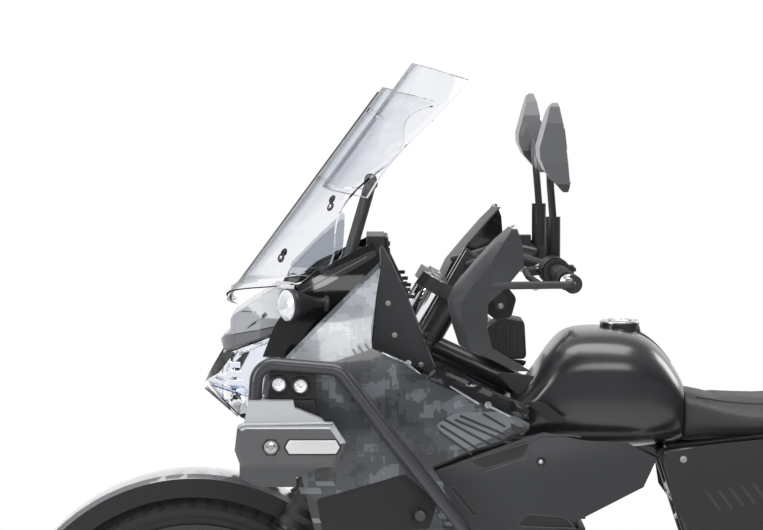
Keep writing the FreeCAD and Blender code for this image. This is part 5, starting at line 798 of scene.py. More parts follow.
# %% Finish of each solid
for material, names in (
        (frame_paint, "main_frame rear_rack centre_stand side_stand fork_crowns"),
        (tube_paint, "crash_bars"),
        (engine_paint, "engine_case engine_cylinder"),
        (black_grain, "radiator tail_fender control_units side_covers"),
        (charcoal, "inner_panels knee_panels handguards instrument_panel"),
        (cowl_gloss, "cowl_sides"),
        (heat_steel, "exhaust_pipe"),
        (black_satin, "muffler swingarm mirrors handlebar indicators aux_lamps fork_sliders"),
        (cast_alloy, "skid_plate footpegs foot_controls"),
        (tank_paint, "fuel_tank"),
        (seat_vinyl, "seat"),
        (camo_film, "shrouds"),
        (silver_grey, "nose_cowl"),
        (lens_clear, "headlamp"),
        (screen_clear, "windscreen"),
        (pad_grey, "slider_pads"),
        (lens_red, "tail_lamp"),
        (steel, "rear_shock rear_axle front_axle"),
        (chain_steel, "chain rear_sprocket"),
        (rubber, "grips fork_gaiters"),
        (chrome, "fork_tubes"),
        (fender_grey, "front_fender"),
        (tyre_rubber, "front_tyre rear_tyre"),
        (rim_paint, "front_wheel rear_wheel"),
        (disc_steel, "front_disc rear_disc")):
    for name in names.split():
        for mesh_slot in nodes[name].material_slots:
            mesh_slot.material = material
print("solids dressed")

# %% [markdown]
# ## Moulded pieces with more than one finish
# Several plastic pieces are one moulding in two or three shades, or have soft edges that the frame
# leaves sharp. A close form is made from the solid's own faces: flat neighbours are joined, the
# mesh is cut where two shades meet, edges are rounded, and each face takes the finish that a rule
# gives for its place and direction.

# %% Close forms from solids
FLAT_WITHIN = math.radians(0.8)


def close_form(name, node, body, finishes, rule, width, cuts=(), keep=None):
    """A piece with a node's exact shape, rounded edges and a finish for each face."""
    work = bmesh.new()
    work.from_mesh(nodes[node].data)
    bmesh.ops.remove_doubles(work, verts=work.verts, dist=1e-6)
    if keep:
        gone = [face for face in work.faces if not keep(face.calc_center_median() / MM)]
        bmesh.ops.delete(work, geom=gone, context="FACES")
    bmesh.ops.dissolve_limit(work, angle_limit=FLAT_WITHIN, verts=work.verts, edges=work.edges)
    for at, direction in cuts:
        every = list(work.verts) + list(work.edges) + list(work.faces)
        bmesh.ops.bisect_plane(work, geom=every, plane_co=mm(*at), plane_no=Vector(direction))
    mesh = bpy.data.meshes.new(name)
    for face in work.faces:
        face.material_index = rule(face.calc_center_median() / MM, face.normal)
    work.to_mesh(mesh)
    work.free()
    made = finish_piece(name, mesh, finishes[0], body, smooth=30)
    for extra in finishes[1:]:
        mesh.materials.append(extra)
    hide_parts(node)
    return rounded(made, width, angle=28)


# %% [markdown]
# ## Nose cowl
# The nose over the headlamp is folded like paper: pale flat facets above, a darker band below, and
# thin dark slots pressed into the facets. The shell is cut along the band's upper line, so the two
# shades meet on an edge.

# %% Nose cowl with its band and slots
# This dark finish is real dark plastic, and painted shade on the windscreen's front line.
dark_plastic_and_shade = finish("dark nose plastic and painted shade", (0.018, 0.019, 0.02), 0.3, coat=0.4, grain=1200,
                   depth=0.01)
nose_band = finish("nose band plastic", (0.115, 0.119, 0.125), 0.36, coat=0.2, grain=1300)
BAND_LINE = ((723, 0, 994), (0.22, 0, 0.975))
NOSE_BACK = 602


def nose_rule(centre, normal):
    """Dark below and behind, banded low on the sides, pale above."""
    if normal.z < -0.6 or centre.x < NOSE_BACK:
        return 2
    above = (Vector(centre) - Vector(BAND_LINE[0])).dot(Vector(BAND_LINE[1]))
    if above < 0:
        return 1
    return 2 if normal.x > 0.95 else 0


close_form("nose_cowl_shell", "nose_cowl", "chassis", [silver_grey, nose_band, dark_plastic_and_shade],
           nose_rule, 2.2, cuts=[BAND_LINE])
nose_side = side_of("nose_cowl")
slots = [laid(stripe((700, 1040), (672, 1039.5), 1.2, 2.6), nose_side, 0.5, 3, 8),
         laid(stripe((689, 1008), (652, 1037), 1.5, 7.5), nose_side, 0.5, 3, 8),
         laid(stripe((726, 992.5), (604, 1020), 1.6, 2.2), nose_side, 0.4, 3, 12)]
piece("nose_slots", slots, dark_plastic_and_shade)
print("nose cowl done")

# %% [markdown]
# ## Headlamp
# Under a clear wedge-shaped lens sits a stepped reflector with two bowls. The lens is a thin shell,
# not a block of glass, so that what is behind it can be seen. A smoked patch and a bright strip
# lie on it near its upper front edge.

# %% Headlamp lens and its housing
LAMP_MIDDLE = mm(655, 0, 925)
LAMP_BACK = 604
lamp_lens = close_form("headlamp_lens", "headlamp", "chassis", [lens_clear, black_satin],
                       lambda centre, normal: 1 if centre.x < LAMP_BACK else 0, 2.5)
lens_wall = lamp_lens.modifiers.new("wall", "SOLIDIFY")
lens_wall.thickness = 3 * MM
lens_wall.offset = -1

housing_share, housing_shift = (0.8, 0.86, 0.86), Vector((-8, 0, 0)) * MM
work = bmesh.new()
work.from_mesh(nodes["headlamp"].data)
bmesh.ops.remove_doubles(work, verts=work.verts, dist=1e-6)
bmesh.ops.dissolve_limit(work, angle_limit=0.02, verts=work.verts, edges=work.edges)
for vert in work.verts:
    offset = vert.co - LAMP_MIDDLE
    vert.co = LAMP_MIDDLE + offset * Vector(housing_share) + housing_shift
housing_mesh = bpy.data.meshes.new("headlamp_housing")
work.to_mesh(housing_mesh)
work.free()
rounded(finish_piece("headlamp_housing", housing_mesh, reflector, "chassis"), 1.5)
print("headlamp lens over a housing of", len(housing_mesh.polygons), "faces")

# %% [markdown]
# The reflector's steps catch the light one by one. Each bowl is a turned form, with a small dome
# in the middle for the bulb's cap.

# %% Headlamp reflector
steps = []
for index in range(7):
    z = 862 + index * 17
    reach = 752 - abs(z - 905) * (0.62 if z > 905 else 0.95)
    half = 84 - index * 1.5
    steps.append(slab([(reach - 60, z), (reach - 12, z + 2), (reach - 18, z + 12),
                       (reach - 66, z + 13)], -half, half))
piece("headlamp_steps", steps, reflector, width=0.8, smooth=20)
bowls, eyes = [], []
for side in SIDES:
    for x, z, radius in ((700, 921, 27), (700, 884, 19)):
        profile = [(radius + 2.5, 18), (radius + 2.5, 21), (radius, 20), (radius * 0.94, 12),
                   (radius * 0.7, 3), (radius * 0.35, -3), (0.4, -4)]
        bowls.append(turned(profile, mm(x, side * 46, z), (1, 0, 0), 28))
    for x, z, radius in ((712, 921, 13), (706, 884, 9)):
        dome = [(radius * math.cos(a), 8 * math.sin(a)) for a in np.linspace(0, math.pi / 2, 7)]
        eyes.append(turned([(0.2, -2), (radius, -2)] + dome, mm(x, side * 46, z), (1, 0, 0), 24))
piece("headlamp_bowls", bowls, chrome)
piece("headlamp_eyes", eyes, reflector_blue)
lamp_side = side_of("headlamp")
smoke_outline = [(771, 903), (757, 928), (737, 961), (712, 963), (722, 950), (744, 921)]
piece("headlamp_smoked_edge", [laid(smoke_outline, lamp_side, 0.6, 0.6, 9, 60)], dark_plastic_and_shade)
edge_strip = stripe((769, 895), (707, 841), 2.6)
piece("headlamp_edge_strip", [laid(edge_strip, lamp_side, 0.8, 1.2, 9, 60)], chrome)
blades = []
for index in range(5):
    x, z = 742 - index * 13, 893 - index * 4
    blades.append(slab([(x, z), (x + 16, z + 5), (x + 15, z + 9), (x - 2, z + 4)],
                       56, 88 + index * 3))
pair("headlamp_side_blades", blades, reflector_blue, width=0.6)
lamp_chin = [(709, 845), (604, 850), (604, 838), (640, 830), (700, 836)]
piece("headlamp_chin", [slab(lamp_chin, -88, 88)], black_satin, width=2)
print("headlamp done")

# %% [markdown]
# ## Slider pads
# The crash bars carry thick plastic pads. Each has a pale top plate, a main face with a bright
# upper edge, a hexagonal pocket with a bolt, and a plain bright plate. Pocket and plate sit a
# little proud or sunk, so their outlines are real edges.

# %% Slider pads
PAD_FACE, PAD_TOP, PAD_FOOT = 310, 847, 767
BOLT_X, BOLT_Z = 640, 806
pad_low_grey = finish("lower pad plastic", (0.055, 0.057, 0.06), 0.4, coat=0.1, grain=1300,
                      depth=0.03)
plate_metal = finish("blank bright plate", (0.8, 0.8, 0.82), 0.25, metallic=0.6, coat=0.5,
                     depth=0.004)


def pad_rule(centre, normal):
    """Pale above the main face, darker below it."""
    if centre.z > PAD_TOP or (abs(normal.y) < 0.9 and normal.z > 0.3 and centre.z > 800):
        return 1
    return 2 if centre.z < PAD_FOOT else 0


def hexagon(radius):
    """A six-sided outline about the pad's bolt."""
    turns = [math.pi / 3 * k for k in range(6)]
    return [(BOLT_X + radius * math.cos(turn), BOLT_Z + radius * math.sin(turn))
            for turn in turns]


close_form("slider_pad_bodies", "slider_pads", "chassis", [pad_grey, pad_pale, pad_low_grey],
           pad_rule, 2.0, cuts=[((600, 0, z), UP) for z in (PAD_TOP, PAD_FOOT)])
pocket_low, pocket_high = PAD_FACE - 0.5, PAD_FACE + 0.9
rings = [[(x, y, z) for x, z in hexagon(radius)]
         for radius, y in ((13.5, pocket_low), (13.5, pocket_high), (17.5, pocket_high),
                           (17.5, pocket_low), (13.5, pocket_low))]
pocket_floor = slab(hexagon(15), pocket_low, PAD_FACE + 0.3)
pair("slider_pad_pockets", [lofted(rings, capped=False), pocket_floor], dark_plastic_and_shade, width=0.3)
pair("slider_pad_bolts", [screw((BOLT_X, PAD_FACE + 0.2, BOLT_Z), 15, 5.5, 12.5)], machined)
plate_outline = [(613, 806), (606, 818.5), (520, 818.5), (513, 806), (520, 794), (606, 794)]
rim_outline = [(617, 806), (608, 821.5), (518, 821.5), (509, 806), (518, 791), (608, 791)]
pair("slider_pad_plate_rims", [slab(rim_outline, pocket_low, PAD_FACE + 0.6)], dark_plastic_and_shade,
     width=0.3)
pair("slider_pad_plates", [slab(plate_outline, pocket_low, PAD_FACE + 1.4)], plate_metal,
     width=0.6)
lip_outline = [(701, 843), (690, 849.5), (541, 852), (524, 848.5), (541, 848.5), (688, 845.5)]
pair("slider_pad_lips", [slab(lip_outline, PAD_FACE - 9, PAD_FACE - 1)], pad_pale, width=1)
print("slider pads done")

# %% [markdown]
# ## Auxiliary lamps
# Each lamp box has two round lenses in deep bezels. The lenses are clear domes over small bright
# bowls with fine ribs, and a chromed strip stands ahead of the box under the bar.

# %% Auxiliary lamps
SPOT_FACE = 257
spot_parts, spot_bowls, spot_glass = [], [], []
for x, z in ((626, 917), (586, 914)):
    at = mm(x, SPOT_FACE, z)
    bezel = [(12.2, -6), (12.2, 3.5), (14.5, 5), (17, 4), (18, 0), (18, -6)]
    spot_parts.append(turned(bezel, at, LEFT, 32))
    spot_bowls.append(turned([(12.2, 2), (11, -0.4), (8, -2), (4, -2.8), (0.3, -3)], at, LEFT, 32))
    for k in range(6):
        along, up = math.cos(math.pi / 3 * k), math.sin(math.pi / 3 * k)
        spot_bowls.append(tube([(x + 3 * along, SPOT_FACE - 2.6, z + 3 * up),
                                (x + 11 * along, SPOT_FACE + 0.2, z + 11 * up)], 0.5, 6,
                               straight=True))
    bulb = [(0.3, -3), (3, -3), (3, -0.5), (2, 0.6), (0.3, 1)]
    spot_bowls.append(turned(bulb, at, LEFT, 16))
    dome = [(12.1 * math.cos(a), 3 + 4.5 * math.sin(a)) for a in np.linspace(0, math.pi / 2, 7)]
    spot_glass.append(turned([(12.1, 1.5)] + dome[:-1] + [(0.2, 7.5)], at, LEFT, 32))

# Bezels and bowls stand in for the solid's own lens discs, so only the box is kept
close_form("aux_lamp_boxes", "aux_lamps", "chassis", [black_satin], lambda centre, normal: 0,
           1.0, keep=lambda centre: abs(centre.y) < SPOT_FACE - 0.6)
spot_white = finish("white lamp reflector", (0.9, 0.91, 0.93), 0.15, metallic=0.15, coat=0.5,
                    grain=200, depth=0.002)
pair("aux_lamp_bezels", spot_parts, black_satin, width=0.4)
pair("aux_lamp_bowls", spot_bowls, spot_white)
pair("aux_lamp_lenses", spot_glass, lens_clear)
face_outline = [(641, 944), (562, 944), (559, 938), (559, 893), (566, 889), (636, 889), (641, 894)]
pair("aux_lamp_faces", [slab(face_outline, 236, SPOT_FACE - 3.5)], charcoal, width=1.5)
chrome_strip = [(650, 941), (645, 941), (653, 892), (668, 886), (668, 889), (658, 896)]
pair("aux_lamp_strips", [slab(chrome_strip, 228, 240)], chrome, width=0.5)
pair("aux_lamp_screws", [screw((x, SPOT_FACE - 3.6, z), 3.4, 1.6, 3)
                         for x, z in ((606, 938), (606, 894), (566, 936), (637, 936))], steel)
rubber_block = [(596, 888), (560, 888), (556, 852), (575, 850), (600, 868), (603, 884)]
ridges = [slab([(560 + k * 5.2, 856 + k * 1.5), (563 + k * 5.2, 856 + k * 1.5),
                (563 + k * 5.2, 884), (560 + k * 5.2, 884)], 262, 265) for k in range(7)]
pair("aux_lamp_rubber_blocks", [slab(rubber_block, 236, 262)] + ridges, rubber, width=1)
print("auxiliary lamps done")

# %% [markdown]
# ## Cowl strips and indicators
# The gloss cowl side carries a raised strip, and a lighter line on it is a painted highlight.
# The indicators are black cones with a pale faceted lens at the end: the solid is cut across the
# cone, and what lies beyond the cut is the lens.

# %% Cowl strips and indicators
cowl_side = side_of("cowl_sides")
strip_line = [(594, 1091), (540, 1120), (447, 1161), (444, 1149), (542, 1093), (590, 1077)]
piece("cowl_strips", [laid(smoothed_outline(strip_line, 0.15, 3), cowl_side, 0.8, 3, 9, 150)],
      black_gloss)
# A lighter line along the strip is a painted highlight where the gloss catches the light.
painted_glint_line = stripe((590, 1081), (462, 1147), 1.6, 2.4)
piece("cowl_strip_painted_highlights", [laid(painted_glint_line, cowl_side, 1.3, 1.5, 9, 150)], light_charcoal_and_highlight)
indicator_lens = finish("indicator lens", (0.72, 0.73, 0.76), 0.12, coat=1.0, grain=240,
                        depth=0.05, change=0.2, metallic=0.35)
CONE_X, CONE_Y, CONE_Z = 541, 158, 1060
CONE_AHEAD, CONE_ASIDE = 0.841, 0.541
LENS_FROM = 82


def indicator_rule(centre, normal):
    """The front lenses are pale, the rear ones amber, the rest is black."""
    side = math.copysign(1, centre.y)
    if centre.x > 0:
        along = (centre.x - CONE_X) * CONE_AHEAD + (centre.y * side - CONE_Y) * CONE_ASIDE
        return 1 if along > LENS_FROM else 0
    return 2 if centre.y * side > 142 else 0


close_form("indicator_bodies", "indicators", "chassis", [black_satin, indicator_lens, amber],
           indicator_rule, 0.8,
           cuts=[((CONE_X + CONE_AHEAD * LENS_FROM,
                   CONE_Y * side + CONE_ASIDE * side * LENS_FROM, CONE_Z),
                  (CONE_AHEAD, CONE_ASIDE * side, 0)) for side in SIDES])
rings, dimples = [], []
for side in SIDES:
    line = Vector((CONE_AHEAD, CONE_ASIDE * side, 0))
    root = Vector((CONE_X, CONE_Y * side, CONE_Z))
    rings.append(turned([(30.2, 0), (31.6, 1.5), (31.6, 5), (30.2, 6.5)],
                        (root + line * 79) * MM, line, 36))
    for k in range(10):
        turn = 2 * math.pi * k / 10
        across = Vector(UP) * math.cos(turn) + line.cross(Vector(UP)) * math.sin(turn)
        dimples.append(tube([root + line * 86 + across * 27, root + line * 94 + across * 18],
                            (1.1, 0.5), 6, straight=True))
piece("indicator_rings", rings, charcoal)
piece("indicator_facets", dimples, chrome)
foot_line = [(592, 1077), (556, 1074), (543, 1058), (563, 1044), (583, 1041)]
foot_parts = [draped(smoothed_outline(foot_line, 0.3), lambda x, z: cowl_side(x, z) or 150, 6, 8,
                     8),
              screw((562, (cowl_side(562, 1060) or 150) + 6, 1060), 6, 3, 6)]
pair("indicator_feet", foot_parts, black_satin)
print("cowl strips and indicators done")

# %% [markdown]
# ## Inner panels
# The inner panels close the fairing towards the handlebar: flat plates with a paler edge, a few
# connector blocks and screws.

# %% Inner panels
PANEL_FACE = 150
panel_edge = [(436, 1130), (434, 1168), (401, 1104), (372, 1038), (341, 957), (328, 923)]
pair("inner_panel_edges", [tube([(x, PANEL_FACE + 0.4, z) for x, z in panel_edge], 1.6, 8, 4)],
     light_charcoal_and_highlight)
blocks = []
for x, z, wide, tall in ((392, 1098, 12, 7), (386, 1086, 12, 7), (380, 1073, 12, 7),
                         (352, 1000, 14, 9), (346, 984, 12, 7)):
    blocks.append(box((x - wide / 2, 149, z - tall / 2), (x + wide / 2, 158, z + tall / 2)))
    blocks.append(turned([(2.4, 0), (2.4, 4), (0.3, 4.5)], mm(x, 158, z), LEFT, 10))
pair("inner_panel_connectors", blocks, black_satin, width=0.8)
pair("inner_panel_screws", [screw((x, PANEL_FACE, z), 5, 2.4, 5)
                            for x, z in ((422, 1060), (410, 1000), (360, 944))], steel)
print("inner panels done")

# %% [markdown]
# ## Shroud trim
# On the film of the shroud lie a few plain shapes: a brighter upper triangle, bright strips, a row
# of slanted bars, a gloss band towards the tank, and two flange bolts. Each is a thin plate laid
# on the panel's own curve, so its edge is real and catches the light.

# %% Shroud overlays
shroud_side = side_of("shrouds")


def on_shroud(name, outlines, material, lift, sink=2, grid=8, fallback=200):
    """Thin plates on both shrouds, one for each outline."""
    piece(name, [laid(o, shroud_side, lift, sink, grid, fallback) for o in outlines], material)


bright_outline = [(436, 1131), (537, 1031), (608, 961), (524, 957), (453, 980), (455, 1018)]
on_shroud("shroud_bright_fields", [smoothed_outline(bright_outline, 0.06, 2)], camo_bright, 0.7,
          1.5, 12, 190)
trim_metal = finish("pale trim metal", (0.62, 0.64, 0.68), 0.25, metallic=0.8, coat=0.3,
                    depth=0.004)
on_shroud("shroud_strips", [stripe((435, 973), (386, 950), 2.4, 4.2),
                            stripe((386, 950), (363, 932), 4.2, 2.2),
                            stripe((307, 908), (252, 873), 3.0, 4.0),
                            stripe((233, 869), (192, 848), 4.0, 2.4)], trim_metal, 1.1)
on_shroud("shroud_small_bars", [stripe((489, 980), (476, 962), 4.5),
                                stripe((478, 986), (463, 964), 4.5),
                                stripe((466, 990), (453, 972), 4.5)], camo_film, 1.4)
hatch = [((298, 845), (202, 802)), ((288, 852), (202, 814)), ((325, 835), (252, 787)),
         ((328, 824), (266, 779)), ((245, 855), (202, 829)), ((318, 846), (228, 795))]
hatch_parts = [laid(stripe(a, b, 4.6), shroud_side, 0.9, 2, 8, 205) for a, b in hatch]
hatch_parts.append(laid([(176, 829), (157, 825), (170, 812), (190, 822), (192, 836)],
                        shroud_side, 0.9, 2, 8, 190))
piece("shroud_hatching", hatch_parts, dark_plastic_and_shade)
patch_grey = finish("patch grey film", (0.15, 0.163, 0.18), 0.3, coat=0.6, grain=700, depth=0.01)
hatch_field = [(334, 836), (296, 858), (202, 858), (181, 836), (221, 812), (282, 788), (306, 806)]
on_shroud("shroud_hatch_fields", [smoothed_outline(hatch_field, 0.2)], patch_grey, 0.45, 1.5, 10,
          205)
tank_band = [(341, 946), (172, 876), (158, 862), (158, 846), (188, 849), (349, 920)]
on_shroud("shroud_tank_bands", [smoothed_outline(tank_band, 0.1, 2)], black_gloss, 0.8, 2, 10,
          190)
low_dark = [(556, 700), (392, 745), (330, 690), (346, 640), (545, 632)]
on_shroud("shroud_low_fields", [smoothed_outline(low_dark, 0.04, 2)], black_satin, 0.5, 1.5, 14,
          230)
low_blocks = [[(x, z), (x - w, z), (x - w - 4, z - h), (x - 4, z - h)]
              for x, z, w, h in ((590, 722, 40, 12), (560, 734, 34, 9), (330, 668, 26, 9),
                                 (318, 652, 30, 7), (566, 664, 14, 9), (340, 730, 18, 8))]
on_shroud("shroud_low_blocks", low_blocks, patch_grey, 1.0, 2, 10, 230)
pair("shroud_bolts", [screw((x, (shroud_side(x, z) or 190) + 1, z), 7, 4, 6.5)
                      for x, z in ((385, 950), (235, 871))], machined)
lip_line = [(338, 756), (300, 771), (258, 787), (217, 797), (190, 812), (164, 822)]
pair("shroud_edge_lips", [tube([(x, (shroud_side(x, z) or 200) - 1, z) for x, z in lip_line],
                               2.4, 8, 4)], black_satin)
tank_side = smoothed_outline([(165, 876), (130, 874), (82, 838), (120, 836)], 0.15, 2)
tank_facing = smoothed_outline([(219, 931), (143, 923), (177, 885), (195, 901)], 0.15, 2)
pair("tank_side_trims", [slab(tank_side, 162, 168), slab(tank_facing, 152, 157)], black_satin,
     width=1.2)
print("shroud trim done")

# %% [markdown]
# ## Knee panels and side covers
# The knee panel is a plain moulding with a folded top edge, two recesses and a flange screw in a
# ring. The recesses are darker and have raised rims. The side covers have slanted vents.

# %% Knee panels and side covers
knee_side = side_of("knee_panels")


def on_knee(line, lift, fallback=190):
    """Points of the knee panel's face under a line of x and z."""
    return [(x, (knee_side(x, z) or fallback) + lift, z) for x, z in line]


top_line = [(336, 750), (260, 774), (205, 790), (160, 803), (138, 815), (119, 815), (82, 815),
            (60, 813)]
rims = [tube([(x, (knee_side(x, z - 5) or 180) + 0.4, z - 3) for x, z in top_line], 1.8, 8, 4)]
recesses = [smoothed_outline(line, share) for line, share in (
    ([(268, 763), (260, 771), (163, 803), (159, 794), (170, 774), (240, 752)], 0.2),
    ([(306, 716), (299, 719), (255, 667), (263, 662)], 0.2),
    ([(182, 643), (161, 666), (90, 659), (70, 638)], 0.15))]
piece("knee_panel_recesses", [laid(o, knee_side, 0.35, 1.5, 10, 190) for o in recesses],
      black_grain)
for outline in recesses:
    loop = on_knee(outline[::2], 0.2)
    rims.append(tube(loop + loop[:1], 1.2, 6, 3))
inner_line = [(240, 747), (205, 758), (170, 769), (162, 776), (158, 790)]
rims.append(tube(on_knee(inner_line, 0.3), 1.1, 6, 4))
rim_grey = finish("panel rim plastic", (0.05, 0.052, 0.057), 0.35, coat=0.1, grain=1500,
                  specular=0.4)
pair("knee_panel_rims", rims, rim_grey)
knee_y = knee_side(136, 764) or 180
pair("knee_panel_screws", [screw((136, knee_y + 0.4, 764), 7, 3.5, 4.5)], chrome)
pair("knee_panel_rings", [turned([(5, 0), (5, 1.6), (8.2, 1.6), (9, 0)], mm(136, knee_y, 764),
                                 LEFT, 28)], black_satin)
cover_side = side_of("side_covers")
vents = [laid(stripe((-180 - k * 22, 702 + k * 4), (-205 - k * 22, 668 + k * 4), 6), cover_side,
              0.4, 1.5, 8, 150) for k in range(6)]
piece("side_cover_vents", vents, dark_plastic_and_shade)
pair("side_cover_screws", [screw((x, (cover_side(x, z) or 150) + 0.2, z), 6, 3, 6.5)
                           for x, z in ((-135, 765), (-330, 790), (-400, 770))], steel)
print("knee panels and side covers done")

# %% [markdown]
# ## Handguards
# The guards are charcoal where they face outward and black inside, where they face the bar and
# the hand; the black inside is painted shade.

# %% Handguards
# The black finish is painted shade on the guards' inward faces.
guard_shade_black = finish("guard plastic in painted shade", (0.01, 0.0105, 0.012), 0.2, coat=0.6, depth=0.01)


def guard_shade_rule(centre, normal):
    """Charcoal where the guard faces away from the bar, black inside as painted shade."""
    side = math.copysign(1, centre.y)
    return 0 if normal.y * side > 0.12 or normal.x > 0.55 else 1


close_form("handguard_shells", "handguards", "steering", [charcoal, guard_shade_black], guard_shade_rule, 1.4)
print("handguards done")

# %% [markdown]
# ## Mirrors
# Each mirror has a pale glass in a thin rim. The solid's flat rear face gives the glass its place
# and its tilt: the outline is the hull of that face's points, drawn in a little.

# %% Mirrors
def mirror_rule(centre, normal):
    """The face towards the rider is the glass's rim, the shell pale, stems and boots black."""
    if centre.z < 1238 or (centre.z < 1300 and abs(centre.y) < 380):
        return 0
    return 2 if normal.x < -0.7 else 1


close_form("mirror_shells", "mirrors", "steering", [black_satin, light_charcoal_and_highlight, black_satin],
           mirror_rule, 2.5)
mirror_mesh = nodes["mirrors"].data
rear_faces = [face for face in mirror_mesh.polygons
              if face.normal.x < -0.7 and face.center.z > 1.25 and face.center.y > 0]
main_face = max(rear_faces, key=lambda face: face.area)
glass_faces = [face for face in rear_faces if face.normal.dot(main_face.normal) > 0.998
               and abs((face.center - main_face.center).dot(main_face.normal)) < 0.001]
spots = [mirror_mesh.vertices[i].co / MM for face in glass_faces for i in face.vertices]
middle = sum(spots, Vector()) / len(spots)
tilt = np.linalg.lstsq(np.array([[p.y, p.z, 1] for p in spots]), np.array([p.x for p in spots]),
                       rcond=None)[0]
flat_spots = [Vector((p.y, p.z)) for p in spots]
turn_order = sorted(convex_hull_2d(flat_spots),
                    key=lambda i: math.atan2(flat_spots[i].y - middle.z,
                                             flat_spots[i].x - middle.y))
hull = []
for index in turn_order:
    y = middle.y + (flat_spots[index].x - middle.y) * 0.9
    z = middle.z + (flat_spots[index].y - middle.z) * 0.92
    if not hull or math.hypot(y - hull[-1][1], z - hull[-1][2]) > 3:
        hull.append((tilt[0] * y + tilt[1] * z + tilt[2], y, z))
glass_rings = [[(x + shift, y, z) for x, y, z in hull] for shift in (1, -1.8)]
pair("mirror_glasses", [lofted(glass_rings)], mirror_glass, "steering")
print("mirror glass with", len(hull), "points, side from", round(min(p[1] for p in hull)),
      "to", round(max(p[1] for p in hull)))

# %% [markdown]
# ## Bar controls
# The grips have rings, and the switch boxes have a round barrel, buttons and a red stop switch.
# All of them follow the bar's own line, which is measured from the ends of the grip's solid.

# %% Bar controls
def grip_middle(y_from, y_to):
    """The middle of the grips' points between two side distances, in millimetres."""
    spots = [v.co / MM for v in nodes["grips"].data.vertices if y_from <= v.co.y / MM <= y_to]
    return sum(spots, Vector()) / len(spots)


grip_ends = [v.co.y / MM for v in nodes["grips"].data.vertices if v.co.y > 0]
grip_in = grip_middle(min(grip_ends), min(grip_ends) + 5)
grip_out = grip_middle(max(grip_ends) - 3, max(grip_ends))
bar_line = (grip_out - grip_in).normalized()


def along_bar(y):
    """A point on the bar's centre line at a side distance."""
    return grip_in + bar_line * ((y - grip_in.y) / bar_line.y)


grip_profile = [(16.2, -1.4), (17.6, -0.7), (17.6, 0.7), (16.2, 1.4)]
pair("grip_rings", [turned(grip_profile, along_bar(322 + index * 5) * MM, bar_line, 24,
                           closed=True) for index in range(22)], rubber, "steering")
cap_profile = [(0.2, 9), (7, 9), (11, 6), (14, 4), (14, -2), (11, -3)]
pair("bar_end_caps", [turned(cap_profile, along_bar(448) * MM, bar_line, 28)], machined,
     "steering")
switch_at = along_bar(281)
x, z = switch_at.x, switch_at.z
barrels = [turned([(radius - 3, -4.5), (radius, -3), (radius, 3), (radius - 3, 4.5)],
                  (switch_at + bar_line * offset) * MM, bar_line, 28)
           for offset, radius in ((-16, 22), (-4, 24), (9, 22))]
switch_parts = [box((x - 26, 264, z - 13), (x - 12, 294, z + 16))]
for y, rise in ((270, 8), (280, 8), (290, 8), (274, -5), (286, -5)):
    switch_parts.append(box((x - 30, y - 3.4, z + rise - 3.4), (x - 25, y + 3.4, z + rise + 3.4)))
pair("switch_boxes", switch_parts, black_satin, "steering", 1.2)
pair("switch_rings", barrels, charcoal, "steering")
stop_switch = [(x + 4, z + 22), (x - 14, z + 25), (x - 16, z + 32), (x + 2, z + 29)]
piece("stop_switch", [slab(stop_switch, -292, -276)], red_plastic, "steering", 1.2)
flash_switch = [(x + 10, z + 20), (x - 4, z + 23), (x - 6, z + 27), (x + 8, z + 25)]
piece("flash_switch", [slab(flash_switch, 276, 288)], red_plastic, "steering", 1.0)
perch = along_bar(250)
fitting = [turned([(0.2, 7), (6.5, 6), (8, 2), (8, -6), (5, -8)],
                  (perch + Vector((42, 4, -26))) * MM, LEFT, 24),
           tube([perch + Vector(step) for step in ((42, 0, -26), (48, -6, 2), (34, -10, 14))],
                2.2, 8)]
pale_fitting = finish("white fitting", (0.75, 0.75, 0.76), 0.3, coat=0.4, depth=0.01)
pair("lever_fittings", fitting, pale_fitting, "steering")
pair("lever_pivots", [screw(perch + Vector((36, 12, 6)), 8, 4, 7, UP),
                      screw(perch + Vector((-12, 12, 12)), 6, 3, 5, UP)], machined, "steering")
print("bar controls done")

# %% [markdown]
# ## Tyres
# The tread is carved into a fine skin that follows the solid's own section. A pattern function says
# how deep the rubber is cut at each place round and across the tyre. The side walls only have
# fine rings.

# %% Section and tread of a tyre
def tyre_section(node, centre_x, centre_z):
    """The solid's outer radius for each distance from the middle plane: tread, then wall."""
    spots = {}
    for vert in nodes[node].data.vertices:
        x, y, z = vert.co / MM
        key = round(abs(y), 1)
        spots[key] = max(spots.get(key, 0), math.hypot(x - centre_x, z - centre_z))
    half = max(spots)
    widest = max(radius for y, radius in spots.items() if y > half - 0.2)
    tread = sorted((y, radius) for y, radius in spots.items() if radius >= widest)
    walls = sorted(((y, radius) for y, radius in spots.items()
                    if radius < widest and y > half * 0.4), key=lambda p: -p[1])
    return tread, walls


def tread_depth(turn, across, big):
    """How deep the tread is cut, in millimetres, at an angle in pitches and a share across:
    a groove in the middle, then slanted cuts, a ring groove and open shoulders."""
    side = abs(across)
    phase = (turn + (0.5 if across > 0 else 0)) % 1
    lean = (phase + side * 0.35) % 1
    if side > 0.96:
        return 0
    if side < 0.06:
        return 0 if phase < 0.5 else big * 0.75
    if side > 0.58:
        return big if (lean + 0.1) % 1 > 0.72 else 0
    if 0.52 < side < 0.58:
        return big * 0.8
    return big if lean > 0.8 or abs(lean - 0.4) < 0.05 else 0


# %% [markdown]
# The skin is a grid: ten steps round for each pitch of the pattern and 26 steps from the middle
# to the shoulder. Where the pattern says so, a point sinks, and the step between two points is
# the wall of a block.

# %% Tyres with tread
TREAD_STEPS, WALL_STEPS, PITCH_STEPS = 26, 10, 10


